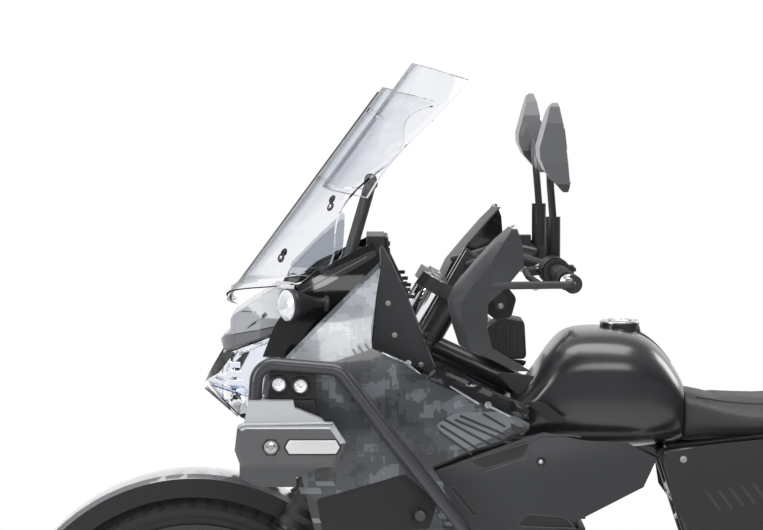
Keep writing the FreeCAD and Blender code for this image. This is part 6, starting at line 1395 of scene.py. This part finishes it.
def carved_tyre(name, node, centre_x, centre_z, body, pitches, big):
    """A tyre's outer skin with carved tread and plain side walls."""
    tread, walls = tyre_section(node, centre_x, centre_z)
    half = tread[-1][0]
    tread_y, tread_r = [p[0] for p in tread], [p[1] for p in tread]
    line = []
    for i in range(TREAD_STEPS + 1):
        a = i / TREAD_STEPS
        line.append((half * a, float(np.interp(half * a, tread_y, tread_r)), a))
    wall_line = [line[-1][:2]] + walls
    lengths = np.cumsum([0] + [math.dist(a, b) for a, b in zip(wall_line, wall_line[1:])])
    for along in np.linspace(0, lengths[-1], WALL_STEPS + 1)[1:]:
        y, radius = (float(np.interp(along, lengths, [p[i] for p in wall_line])) for i in (0, 1))
        line.append((y, radius, None))
    full = [(-y, radius, None if a is None else -a) for y, radius, a in reversed(line[1:])] + line
    steps = pitches * PITCH_STEPS
    verts, faces = [], []
    for step in range(steps):
        turn = 2 * math.pi * step / steps
        for y, radius, a in full:
            cut = 0 if a is None else tread_depth(step / PITCH_STEPS, a, big)
            reach = (radius - cut) * MM
            verts.append(Vector((centre_x * MM + reach * math.cos(turn), y * MM,
                                 centre_z * MM + reach * math.sin(turn))))
    size = len(full)
    for step in range(steps):
        here, there = step * size, (step + 1) % steps * size
        faces += [(here + i, here + i + 1, there + i + 1, there + i) for i in range(size - 1)]
    made = piece(name, [(verts, faces)], tyre_rubber, body, smooth=40)
    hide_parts(node)
    return len(faces)


FRONT, REAR = (792.3, 347.7), (-747.7, 331.9)
tyre_faces = [carved_tyre("front_tyre_skin", "front_tyre", *FRONT, "front_wheel", 64, 5),
              carved_tyre("rear_tyre_skin", "rear_tyre", *REAR, "rear_wheel", 56, 6.5)]
for (x, z), radius, y, body in ((FRONT, 306, 43.5, "front_wheel"),
                                (REAR, 262, 62.5, "rear_wheel")):
    rings = [turned([(r, 0), (r + 0.8, 0.8), (r + 1.6, 0)],
                    mm(x, side * (y - abs(r - radius) * 0.24), z), (0, side, 0), 96)
             for side in SIDES for r in (radius - 16, radius, radius + 12)]
    piece(body + "_wall_rings", rings, tyre_rubber, body)
print("tyres done:", tyre_faces, "faces")

# %% [markdown]
# ## Wheels
# Each spoke ends in a nipple at the rim. Discs and the sprocket are held by rings of bolts, and a
# hex nut closes each axle.

# %% Wheel details
def on_circle(centre, radius, y, turn):
    """A point at a radius and an angle about a centre of x and z."""
    return centre[0] + radius * math.cos(turn), y, centre[1] + radius * math.sin(turn)


def round_bolts(centre, radius, y, count, across, start=0.0, side=1):
    """A ring of bolt heads about a wheel's axis."""
    return [screw(on_circle(centre, radius, y, start + 2 * math.pi * k / count), across, 3.5,
                  across * 0.75, (0, side, 0)) for k in range(count)]


SPOKES, VALVE_TURN = 36, 2.2
for centre, rim, body, parts in (
        (FRONT, 270, "front_wheel", round_bolts(FRONT, 57, 55.2, 6, 8)),
        (REAR, 220, "rear_wheel", round_bolts(REAR, 54, -57.2, 5, 8, side=-1)
         + round_bolts(REAR, 62, 83.2, 6, 10, 0.3))):
    piece(body + "_bolts", parts, steel, body)
    nipples = []
    for k in range(SPOKES):
        turn = 2 * math.pi * (k + 0.5) / SPOKES
        out = Vector((math.cos(turn), 0, math.sin(turn)))
        at = Vector((centre[0], (6 if k % 2 else -6), centre[1])) + out * (rim - 20)
        nipples.append(tube([at, at - out * 9], (3.4, 2.8), 8, straight=True))
    piece(body + "_nipples", nipples, machined, body)
    out = Vector((math.cos(VALVE_TURN), 0, math.sin(VALVE_TURN)))
    stem = Vector((centre[0], 0, centre[1])) + out * (rim - 16)
    piece(body + "_valve", [tube([stem, stem - out * 26], 2.8, 10, straight=True),
                            tube([stem - out * 26, stem - out * 36], (4, 3.4), 10, straight=True)],
          black_satin, body)
for name, centre, y, body in (("front_axle_nuts", FRONT, 132.5, "steering"),
                              ("rear_axle_nuts", REAR, 145.5, "chassis")):
    piece(name, [hex_bolt((centre[0], side * (y - 1), centre[1]), (0, side, 0), 24, 9, 17)
                 for side in SIDES], machined, body)
print("wheels done")

# %% [markdown]
# ## Fork and fender
# The fender is gloss grey above and black at its skirts. The sliders carry pinch bolts, and the
# caliper its two pins. Caps and clips follow the fork's own slanted line.

# %% Front fender and fork
FENDER_CROWN = 368
STEER_UP, STEER_AHEAD = Vector((-0.5, 0, 0.8660254)), Vector((0.8660254, 0, 0.5))
STEER_FOOT = Vector((915.3, 0, 0))


def fender_rule(centre, normal):
    """Grey on the crown, black on the skirts, arms and inside."""
    out = Vector((centre.x - FRONT[0], 0, centre.z - FRONT[1]))
    return 0 if out.length > FENDER_CROWN and out.normalized().dot(normal) > 0.15 else 1


def on_fork(along, ahead=45, aside=100):
    """A point at a height along the steering axis, ahead of it and to a side."""
    return STEER_FOOT + STEER_UP * along + STEER_AHEAD * ahead + Vector((0, aside, 0))


close_form("front_fender_shell", "front_fender", "steering", [fender_grey, black_satin],
           fender_rule, 1.2)
slider_side = side_of("fork_sliders")
fork_bolts = [screw((x, (slider_side(x, z) or 128) - 0.5, z), 7, 4, 6)
              for x, z in ((786, 372), (776, 384))]
for x, z in ((700, 440), (690, 480)):
    found = slider_side(x, z)
    if found:
        fork_bolts.append(screw((x, found - 0.3, z), 10, 5, 8))
piece("fork_bolts", fork_bolts, steel, "steering")
caps = [hex_bolt(on_fork(1248, aside=100 * side), STEER_UP, 22, 6, 19) for side in SIDES]
caps.append(hex_bolt(on_fork(1248, 0, 0), STEER_UP, 20, 9, 16))
piece("fork_crown_caps", caps, machined, "steering")
clip = [(27.5, -4), (29.5, -3.4), (29.5, 3.4), (27.5, 4)]
piece("gaiter_clips", [turned(clip, on_fork(along, aside=100 * side) * MM, STEER_UP, 36,
                              closed=True) for side in SIDES for along in (696, 984)],
      black_satin, "steering")
print("fork and fender done")

# %% [markdown]
# ## Engine
# The covers are held by bolts on their bosses. An oil cap, a sight glass and a timing plug sit on
# the flat faces, and ribs run across the sump.

# %% Engine
LEFT_COVER, RIGHT_COVER, PUMP = (88, 385), (-5, 400), (166, 450)
bolts = []
for k in range(6):
    turn = math.radians(60 * (k + 0.5))
    bolts.append(hex_bolt(on_circle(LEFT_COVER, 78, 95.2, turn), LEFT, 8, 4.5, 6.4))
    bolts.append(hex_bolt(on_circle(RIGHT_COVER, 84, -113.2, turn), RIGHT, 8, 4.5, 6.4))
for x, z in ((-100, 430), (-140, 420), (-118, 372)):
    bolts.append(hex_bolt((x, 98, z), LEFT, 8, 4, 7))
for x, z in ((70, 664), (166, 664), (70, 698), (166, 698)):
    bolts += [hex_bolt((x, side * 74, z), (0, side, 0), 9, 4.5, 8) for side in SIDES]
for k in range(3):
    turn = math.radians(120 * k + 40)
    bolts.append(hex_bolt(on_circle(PUMP, 17, 82.8, turn), LEFT, 6, 3.5, 5))
piece("engine_bolts", bolts, steel)
head_plug = [(0.2, 3), (15, 3), (17, 1.5), (17, -1)]
plugs = [turned([(0.2, 4), (17, 4), (18.5, 2.5), (18.5, -1), (20, -1.5)], mm(88, 114.5, 385),
                LEFT, 40),
         turned([(0.2, 7), (13, 7), (15, 5), (15, -1)], mm(-5, -134, 400), RIGHT, 12),
         turned(head_plug, mm(118, 78, 676), LEFT, 32),
         turned(head_plug, mm(118, -78, 676), RIGHT, 32)]
piece("engine_plugs", plugs, cast_alloy)
oil_cap = [(0.2, 13), (11, 13), (13, 10), (13, 0), (15, -1)]
piece("engine_oil_cap", [turned(oil_cap, mm(60, -116, 455), RIGHT, 9)], black_satin)
sight = [(0.2, 1.5), (9, 1.5), (11, 3), (13, 1), (13, -1)]
piece("engine_sight_glass", [turned(sight, mm(-60, -130, 340), RIGHT, 28)], lens_clear)
piece("engine_sump_ribs", [box((x, -50, 259.5), (x + 5, 50, 263)) for x in range(-60, 108, 24)],
      engine_paint)
print("engine done with", len(bolts), "bolts")

# %% [markdown]
# ## Chain
# A chain runs round both sprockets and straight between them, so its line is two arcs, joined.
# Pin heads are set along that line at the chain's pitch of 15.875 mm, on both sides.

# %% Chain pins and adjusters
CHAIN_PITCH = 15.875
SMALL_R, BIG_R = 36.5, 110.2
drive, wheel = Vector((-120, 0, 405)), Vector((REAR[0], 0, REAR[1]))
gap = wheel - drive
lean = math.atan2(gap.z, gap.x)
open_angle = math.acos((SMALL_R - BIG_R) / gap.length)
route = []
for k in range(25):
    turn = lean + open_angle + (2 * math.pi - 2 * open_angle) * k / 24
    route.append(drive + Vector((math.cos(turn), 0, math.sin(turn))) * SMALL_R)
for k in range(60):
    turn = lean - open_angle + 2 * open_angle * k / 59
    route.append(wheel + Vector((math.cos(turn), 0, math.sin(turn))) * BIG_R)
route.append(route[0])
marks = np.cumsum([0] + [(b - a).length for a, b in zip(route, route[1:])])
links = int(marks[-1] / CHAIN_PITCH)
pin_head = [(2.9, -0.3), (2.9, 1.1), (2.2, 1.5), (0.2, 1.5)]
pins = []
for k in range(links):
    at = marks[-1] * k / links
    x = float(np.interp(at, marks, [p.x for p in route]))
    z = float(np.interp(at, marks, [p.z for p in route]))
    pins += [turned(pin_head, mm(x, y, z), (0, side, 0), 8) for side, y in ((1, 87), (-1, 73))]
piece("chain_pins", pins, steel)
adjusters = []
for side in SIDES:
    low, high = sorted((side * 125, side * 129))
    adjusters.append(box((-772, low, 312), (-724, high, 352)))
    adjusters.append(tube([(-790, side * 111, 332), (-812, side * 111, 332)], 4, 10,
                          straight=True))
    adjusters.append(hex_bolt((-800, side * 111, 332), (-1, 0, 0), 12, 6, 9))
piece("chain_adjusters", adjusters, cast_alloy, width=0.8)
print("chain done,", links, "links")

# %% [markdown]
# ## Exhaust
# The muffler is a can on a slanted line. Its heat shield is a curved plate on the outer side, bent
# in a little at both ends, with four screws. Bands and the end cap are turned about the same line.

# %% Exhaust
CAN_LENGTH = 430
can_start = Vector((-425, -190, 560))
can_line = Vector((-430, 0, 118)).normalized()
can_across = Vector(RIGHT)
can_up = can_line.cross(can_across)


def about_can(degrees):
    """The direction out of the can at an angle from its outer side."""
    turn = math.radians(degrees)
    return can_across * math.cos(turn) + can_up * math.sin(turn)


shield_rings = []
for share in np.linspace(0.2, 0.74, 12):
    at = can_start + can_line * (CAN_LENGTH * share)
    pull = 8 * (abs(share - 0.47) / 0.27) ** 6
    shield_rings.append([at + about_can(-62 + pull + (124 - 2 * pull) * k / 12) * radius
                         for radius, order in ((64.2, range(13)), (61.5, reversed(range(13))))
                         for k in order])
piece("muffler_shield", [lofted(shield_rings)], light_charcoal_and_highlight, width=0.8)
shield_screws = [screw(can_start + can_line * (CAN_LENGTH * share) + about_can(degrees) * 64,
                       7, 3.5, 6.5, about_can(degrees))
                 for share in (0.27, 0.67) for degrees in (-42, 42)]
piece("muffler_screws", shield_screws, steel)
bands = [turned([(60, -wide), (61.6, -wide + 1), (61.6, wide - 1), (60, wide)],
                (can_start + can_line * (CAN_LENGTH * share)) * MM, can_line, 48, closed=True)
         for share, wide in ((0.17, 5), (0.8, 5), (0.9, 8))]
bands.append(turned([(20.5, 29), (22, 28), (22, 2), (34, 0.5), (34, -2)],
                    (can_start + can_line * CAN_LENGTH) * MM, can_line, 40))
piece("muffler_bands", bands, steel)
print("exhaust done")

# %% [markdown]
# ## Seat
# A motorcycle seat is foam under a stretched cover on a stiff pan. The solid's form is remeshed to
# an even skin, its pan is held, and the cover is blown up a little with the cloth solver, so that
# it crowns between its seams. Piping and stitches are laid on the finished skin.

# %% Seat form
SEAT_CAP = 7.0
SEAM_X = (-425, -600)
SEAM_LEAN = 0.04


def seat_skin():
    """The seat's form as an even mesh."""
    made = in_scene(bpy.data.objects.new("seat_cover", nodes["seat"].data.copy()))
    remesh = made.modifiers.new("even", "REMESH")
    remesh.mode = "VOXEL"
    remesh.voxel_size = 6 * MM
    ready = made.evaluated_get(bpy.context.evaluated_depsgraph_get())
    mesh = bpy.data.meshes.new_from_object(ready)
    made.modifiers.clear()
    made.data = mesh
    mesh.materials.clear()
    return made


def triples(source, label):
    """A mesh's vectors as rows of three numbers."""
    values = np.empty(len(source) * 3)
    source.foreach_get(label, values)
    return values.reshape(-1, 3)


def seam_pull(points):
    """One on a sewn line of the cover and falling to zero beside it."""
    pull = np.zeros(len(points))
    for x in SEAM_X:
        away = points[:, 0] - x * MM + SEAM_LEAN * np.abs(points[:, 1])
        pull = np.maximum(pull, np.exp(-(away / 0.007) ** 2))
    return pull


seat = seat_skin()
seat_mesh = seat.data
spots = triples(seat_mesh.vertices, "co")
normals = triples(seat_mesh.vertex_normals, "vector")
top_share = np.clip((normals[:, 2] + 0.25) / 0.7, 0, 1)
front_back = (np.clip((spots[:, 0] + 0.775) / 0.03, 0, 1)
              * np.clip((-0.15 - spots[:, 0]) / 0.05, 0, 1))
softness = top_share * front_back * (1 - 0.85 * seam_pull(spots))
rest = spots - normals * (3.0 * MM * softness)[:, None]
seat_mesh.vertices.foreach_set("co", rest.ravel())
print("seat skin of", len(spots), "points")

# %% [markdown]
# The cover starts a little inside the solid. Pressure without gravity blows it up over twenty
# frames, and then each point's way is limited, so that the cushion stays within its space. The
# seams are drawn in afterwards.

# %% Seat cover
held = seat.vertex_groups.new(name="held")
for i, soft in enumerate(softness):
    held.add([i], float(1 - soft), "REPLACE")
cloth = seat.modifiers.new("cover", "CLOTH").settings
for label, value in (("quality", 6), ("mass", 0.3), ("tension_stiffness", 20),
                     ("compression_stiffness", 20), ("bending_stiffness", 2),
                     ("use_pressure", True), ("uniform_pressure_force", 4),
                     ("vertex_group_mass", "held"), ("pin_stiffness", 5)):
    setattr(cloth, label, value)
cloth.effector_weights.gravity = 0
for step in range(1, 21):
    bpy.context.scene.frame_set(step)
blown = seat.evaluated_get(bpy.context.evaluated_depsgraph_get())
swell = triples(blown.data.vertices, "co") - rest
seat.modifiers.clear()
bpy.context.scene.frame_set(1)
length = np.linalg.norm(swell, axis=1)
print("the cover swelled by up to", round(float(length.max()) / MM, 1), "mm")
limit = np.minimum(1, SEAT_CAP * MM / np.maximum(length, 1e-9))
swell *= limit[:, None] * softness[:, None]
sewn = normals * (2.2 * MM * top_share * front_back * seam_pull(spots))[:, None]
settled = rest + swell - sewn
seat_mesh.vertices.foreach_set("co", settled.ravel())
seat_mesh.materials.append(seat_vinyl)
seat_mesh.materials.append(seat_top_vinyl)
for face in seat_mesh.polygons:
    on_top = face.normal.z > 0.72 and -0.74 < face.center.x < -0.19
    face.material_index = 1 if on_top else 0
    face.use_smooth = True
seat.modifiers.new("finer", "SUBSURF").levels = 1
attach(seat, "chassis")
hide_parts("seat")

# %% [markdown]
# Piping runs along both edges of the top and across it at the two sewn lines. Rays from above find
# the cover under each point, so cords, stitches and the passenger's strap lie on the cushion.

# %% Seams and strap
DOWN = Vector((0, 0, -1))
seat_tree = BVHTree.FromPolygons([Vector(p) for p in settled],
                                 [tuple(p.vertices) for p in seat_mesh.polygons])


def over_seat(places, lift=0.4):
    """The points of the cover under a line of places, in millimetres."""
    hits = [seat_tree.ray_cast(mm(x, y, 1200), DOWN)[0] for x, y in places]
    return [hit / MM + Vector((0, 0, lift)) for hit in hits if hit]


def top_edge(x, half):
    """How far from the middle the top's edge runs: the seat is narrow in front."""
    return half + 34 * math.sin(math.pi * min(1, max(0, (-x - 130) / 640)))


seams = [tube(over_seat([(x, side * top_edge(x, 74)) for x in range(-165, -760, -14)]), 1.5, 8, 2)
         for side in SIDES]
seams += [tube(over_seat([(x - SEAM_LEAN * abs(y), y) for y in range(-112, 113, 8)]), 1.3, 8, 2)
          for x in SEAM_X]
piece("seat_piping", seams, seat_vinyl)
thread = finish("seat thread", (0.16, 0.16, 0.17), 0.7, depth=0.05)
stitches = []
for side in SIDES:
    for x in range(-172, -750, -7):
        y = side * top_edge(x, 69)
        ends = over_seat([(x, y), (x - 4.4, y)], 0.1)
        if len(ends) == 2:
            stitches.append(tube(ends, 0.45, 5, straight=True))
piece("seat_stitches", stitches, thread)
strap_section = ((-11, -1.5), (-9, 1), (9, 1), (11, -1.5))
strap_line = over_seat([(-512, y) for y in range(-128, 129, 8)], 1.2)
strap_verts = [mm(p.x + along, p.y, p.z + up) for p in strap_line for along, up in strap_section]
strap_faces = []
for a in range(0, len(strap_verts) - 4, 4):
    b = a + 4
    strap_faces += [(a + k, a + k + 1, b + k + 1, b + k) for k in range(3)] + [(a + 3, a, b, b + 3)]
strap_faces += [(0, 1, 2, 3), tuple(len(strap_verts) - k for k in (1, 2, 3, 4))]
piece("seat_strap", [(strap_verts, strap_faces)], black_grain, width=0.5)
print("seat done with", len(stitches), "stitches")

# %% [markdown]
# ## Tank
# The filler cap has a locking flap and a ring of screws. A rubber pad runs down the tank's back:
# a grid of points is dropped on the tank and given a thickness.

# %% Tank cap and pad
CAP_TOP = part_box("fuel_tank")[1][2] / MM
CAP_X = -25
cap_parts = [turned([(25, 0.5), (27, 2.5), (35, 2.5), (38.6, 0.5), (38.6, -2)],
                    mm(CAP_X, 0, CAP_TOP), UP, 48),
             box((-42, -10, CAP_TOP), (-8, 10, CAP_TOP + 3)),
             turned([(0.2, 4.5), (6, 4.5), (7, 3)], mm(-33, 0, CAP_TOP), UP, 20)]
piece("tank_cap_trim", cap_parts, machined, width=0.5)
piece("tank_cap_screws", [screw((CAP_X + 31 * math.cos(k * math.pi / 3),
                                 31 * math.sin(k * math.pi / 3), CAP_TOP + 2.3), 4, 1.6, 3.4, UP)
                          for k in range(6)], steel)
tank_tree = tree_of("fuel_tank")
pad_rows = []
for x in np.linspace(-60, -122, 12):
    places = np.linspace(-34, 34, 9) * (1 - 0.004 * abs(x + 60))
    hits = [tank_tree.ray_cast(mm(x, y, 1200), DOWN)[0] for y in places]
    if all(hits):
        pad_rows.append([hit / MM + Vector((0, 0, 1.6)) for hit in hits])
wide, long = 9, len(pad_rows)
pad_verts = [p * MM for row in pad_rows for p in row]
pad_verts += [(p - Vector((0, 0, 2.4))) * MM for row in pad_rows for p in row]
pad_faces = []
for i in range(long - 1):
    for k in range(wide - 1):
        a = i * wide + k
        pad_faces.append((a, a + 1, a + wide + 1, a + wide))
        pad_faces.append(tuple(long * wide + j for j in (a + wide, a + wide + 1, a + 1, a)))
edge_loop = (list(range(wide)) + [i * wide + wide - 1 for i in range(1, long)]
             + [(long - 1) * wide + k for k in range(wide - 2, -1, -1)]
             + [i * wide for i in range(long - 2, 0, -1)])
for a, b in zip(edge_loop, edge_loop[1:] + edge_loop[:1]):
    pad_faces.append((b, a, a + long * wide, b + long * wide))
piece("tank_pad", [(pad_verts, pad_faces)], black_grain, width=0.6)
print("tank done")

# %% [markdown]
# ## Instruments and windscreen fittings
# The instrument panel faces the rider with one flat display, four buttons and a row of lights. The
# pane is held by four rubber-mounted bolts, set square to it where a ray from the side meets it.

# %% Instruments
piece("display_bezel", [box((421, -80, 1110), (428.5, 80, 1180))], black_satin, width=2.5)
piece("display_face", [box((419.6, -66, 1122), (421.4, 54, 1172))], screen_face)
piece("display_buttons", [box((417.5, 60, 1124 + k * 13), (421.5, 73, 1133 + k * 13))
                          for k in range(4)], charcoal, width=1.2)
piece("display_lights", [turned([(0.2, 1.2), (2.2, 1.0), (2.6, 0)],
                                mm(421, -60 + k * 12, 1115.5), (-1, 0, 0), 12)
                         for k in range(9)], amber)
piece("hoop_clamps", [turned([(10, -9), (13, -8), (13, 8), (10, 9)], mm(454, side * 70, 1282),
                             LEFT, 28, closed=True) for side in SIDES], black_satin)
pane_tree = tree_of("windscreen")
pane_bolts, pane_washers = [], []
for x, z in ((530, 1242), (624, 1142)):
    spot, pane_out = pane_tree.ray_cast(mm(x, 900, z), Vector(RIGHT))[:2]
    pane_bolts.append(screw((spot + pane_out * 0.0015) / MM, 6, 2.6, 5, pane_out))
    pane_washers.append(turned([(0.2, 0), (8.5, 0), (9, 0.8), (8, 1.8), (0.2, 1.8)], spot,
                               pane_out, 28))
pair("screen_bolts", pane_bolts, machined)
pair("screen_washers", pane_washers, rubber)
print("instruments done")

# %% [markdown]
# ## Tail
# The tail carries a red lamp with a bright inner bar, a blank plate and a red reflector. The plate
# leans with the tail, so its form is written along the tail's line and out from it.

# %% Tail lamp and plate
rear_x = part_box("tail_lamp")[0][0] / MM
piece("tail_lamp_bars", [box((rear_x + 3, -54, 808 + k * 12), (rear_x + 5, 54, 813 + k * 12))
                         for k in range(3)], chrome)
lamp_frame = [box((rear_x - 1.5, y1, z1), (rear_x + 8, y2, z2))
              for y1, z1, y2, z2 in ((-64, 801, 64, 804.5), (-64, 838, 64, 841),
                                     (-64, 804.5, -61, 838), (61, 804.5, 64, 838))]
piece("tail_lamp_frame", lamp_frame, black_satin, width=0.8)
TAIL_FOOT = Vector((-1140, 0, 590))
plate_line = (Vector((-1075, 0, 720)) - TAIL_FOOT).normalized()
plate_out = Vector((-plate_line.z, 0, plate_line.x))


def plate_form(low_at, high_at, half, lift, wall):
    """A flat plate that leans with the tail, between two distances up the tail's line."""
    verts = []
    for off in (lift, lift + wall):
        for at, side in ((low_at, -1), (low_at, 1), (high_at, 1), (high_at, -1)):
            p = TAIL_FOOT + plate_line * at + plate_out * off
            verts.append(mm(p.x, half * side, p.z))
    return verts, [(3, 2, 1, 0), (4, 5, 6, 7), (0, 1, 5, 4), (1, 2, 6, 5), (2, 3, 7, 6),
                   (3, 0, 4, 7)]


plate_white = finish("blank plate", (0.78, 0.78, 0.77), 0.35, coat=0.3, grain=600, depth=0.01)
piece("plate_holder", [plate_form(6, 140, 92, 0.5, 3)], black_satin, width=1)
piece("blank_plate", [plate_form(10, 136, 88, 3.5, 1.5)], plate_white, width=0.5)
p = TAIL_FOOT + plate_line * 118 + plate_out * 5
piece("plate_bolts", [screw((p.x, 60 * side, p.z), 6, 3, 6, plate_out) for side in SIDES], steel)
piece("tail_reflector", [plate_form(-6, 4, 40, 0.5, 6)], lens_red, width=1)
print("tail done")

# %% [markdown]
# ## Rack, pegs and skid plate
# The rack has rubber strips and four screws, the pegs have grooved rubbers, and the skid plate is
# bolted at its wings and has drain slots below.

# %% Rack, pegs and skid plate
piece("rack_strips", [box((-985, y - 5, 932), (-765, y + 5, 935)) for y in (-108, 108)], rubber,
      width=1.2)
piece("rack_screws", [screw((x, y, 932), 7, 3, 6.5, UP) for x in (-1000, -748)
                      for y in (-92, 92)], steel)
peg_parts = []
for side in SIDES:
    for k in range(9):
        low, high = sorted((side * (118 + k * 12), side * (118 + k * 12) + side * 6))
        peg_parts.append(box((-152, low, 326.5), (-112, high, 331.5)))
piece("peg_rubbers", peg_parts, rubber, width=1)
ring = [(11.6, -3), (14, -2), (14, 2), (11.6, 3)]
piece("rear_peg_rubbers", [turned(ring, mm(-400, side * y, 520), LEFT, 20, closed=True)
                           for side, end in ((1, 215), (-1, 124))
                           for y in range(112, end, 9)], rubber)
piece("skid_bolts", [screw((x, side * 92, z), 9, 4, 9, (0, side, 0)) for side in SIDES
                     for x, z in ((-90, 240), (60, 240), (230, 262), (296, 340))], steel)
skid_slots = [box((x - 22, low, 226.6), (x + 22, high, 227.4)) for x in range(-60, 220, 70)
              for low, high in ((-46, -30), (30, 46))]
piece("skid_slots", skid_slots, dark_plastic_and_shade)
print("rack, pegs and skid plate done")

# %% [markdown]
# ## Deflectors and bracketry by the bar
# Two smoked deflectors close the gap between the cowl and the pane. Behind each guard sits a black
# bracket with the lever's perch, and a cover closes the space between the steering head and the
# tank. They are flat mouldings, so outlines with soft edges are enough.

# %% Deflectors and bracketry
deflector_grey = clear_plastic("grey deflector plastic", (0.6, 0.62, 0.66), 0.03, 1.25)
deflector = smoothed_outline([(618, 1112), (556, 1108), (508, 1146), (503, 1222), (552, 1180)], 0.2)
pair("screen_deflectors", [slab(deflector, 118, 121)], deflector_grey, width=0.8)
# A dark tube down the pane's front line is painted shade, where the edge-on pane looks dark
painted_shade_line = [pane_tree.ray_cast(mm(1200, 0, z), Vector((-1, 0, 0)))[0] / MM
          for z in range(1064, 1456, 26)]
piece("screen_painted_shade_line", [tube(painted_shade_line, 2.2, 8, 2)], dark_plastic_and_shade)
perch_outline = [(252, 1100), (210, 1108), (184, 1076), (194, 1040), (222, 1034), (250, 1056)]
pair("perch_brackets", [slab(smoothed_outline(perch_outline, 0.2), 226, 238)], black_satin,
     "steering", 2)
perch_plate = [(236, 1088), (212, 1092), (200, 1072), (206, 1056), (222, 1052)]
pair("perch_plates", [slab(smoothed_outline(perch_plate, 0.2), 238, 240)], charcoal,
     "steering", 0.8)
pair("perch_bolts", [screw((x, 240, z), 6, 3, 5.5) for x, z in ((228, 1084), (214, 1062))],
     machined, "steering")
console = smoothed_outline([(226, 944), (232, 1004), (204, 1026), (160, 1018), (156, 944)], 0.15)
piece("head_console", [slab(console, -44, 44)], black_satin, width=3)
console_ribs = [slab([(x, 956), (x - 5, 956), (x - 5, 1008), (x, 1008)], 43, 45.5)
                for x in range(222, 166, -14)]
pair("head_console_ribs", console_ribs, black_grain, width=0.8)
print("deflectors and bracketry done")
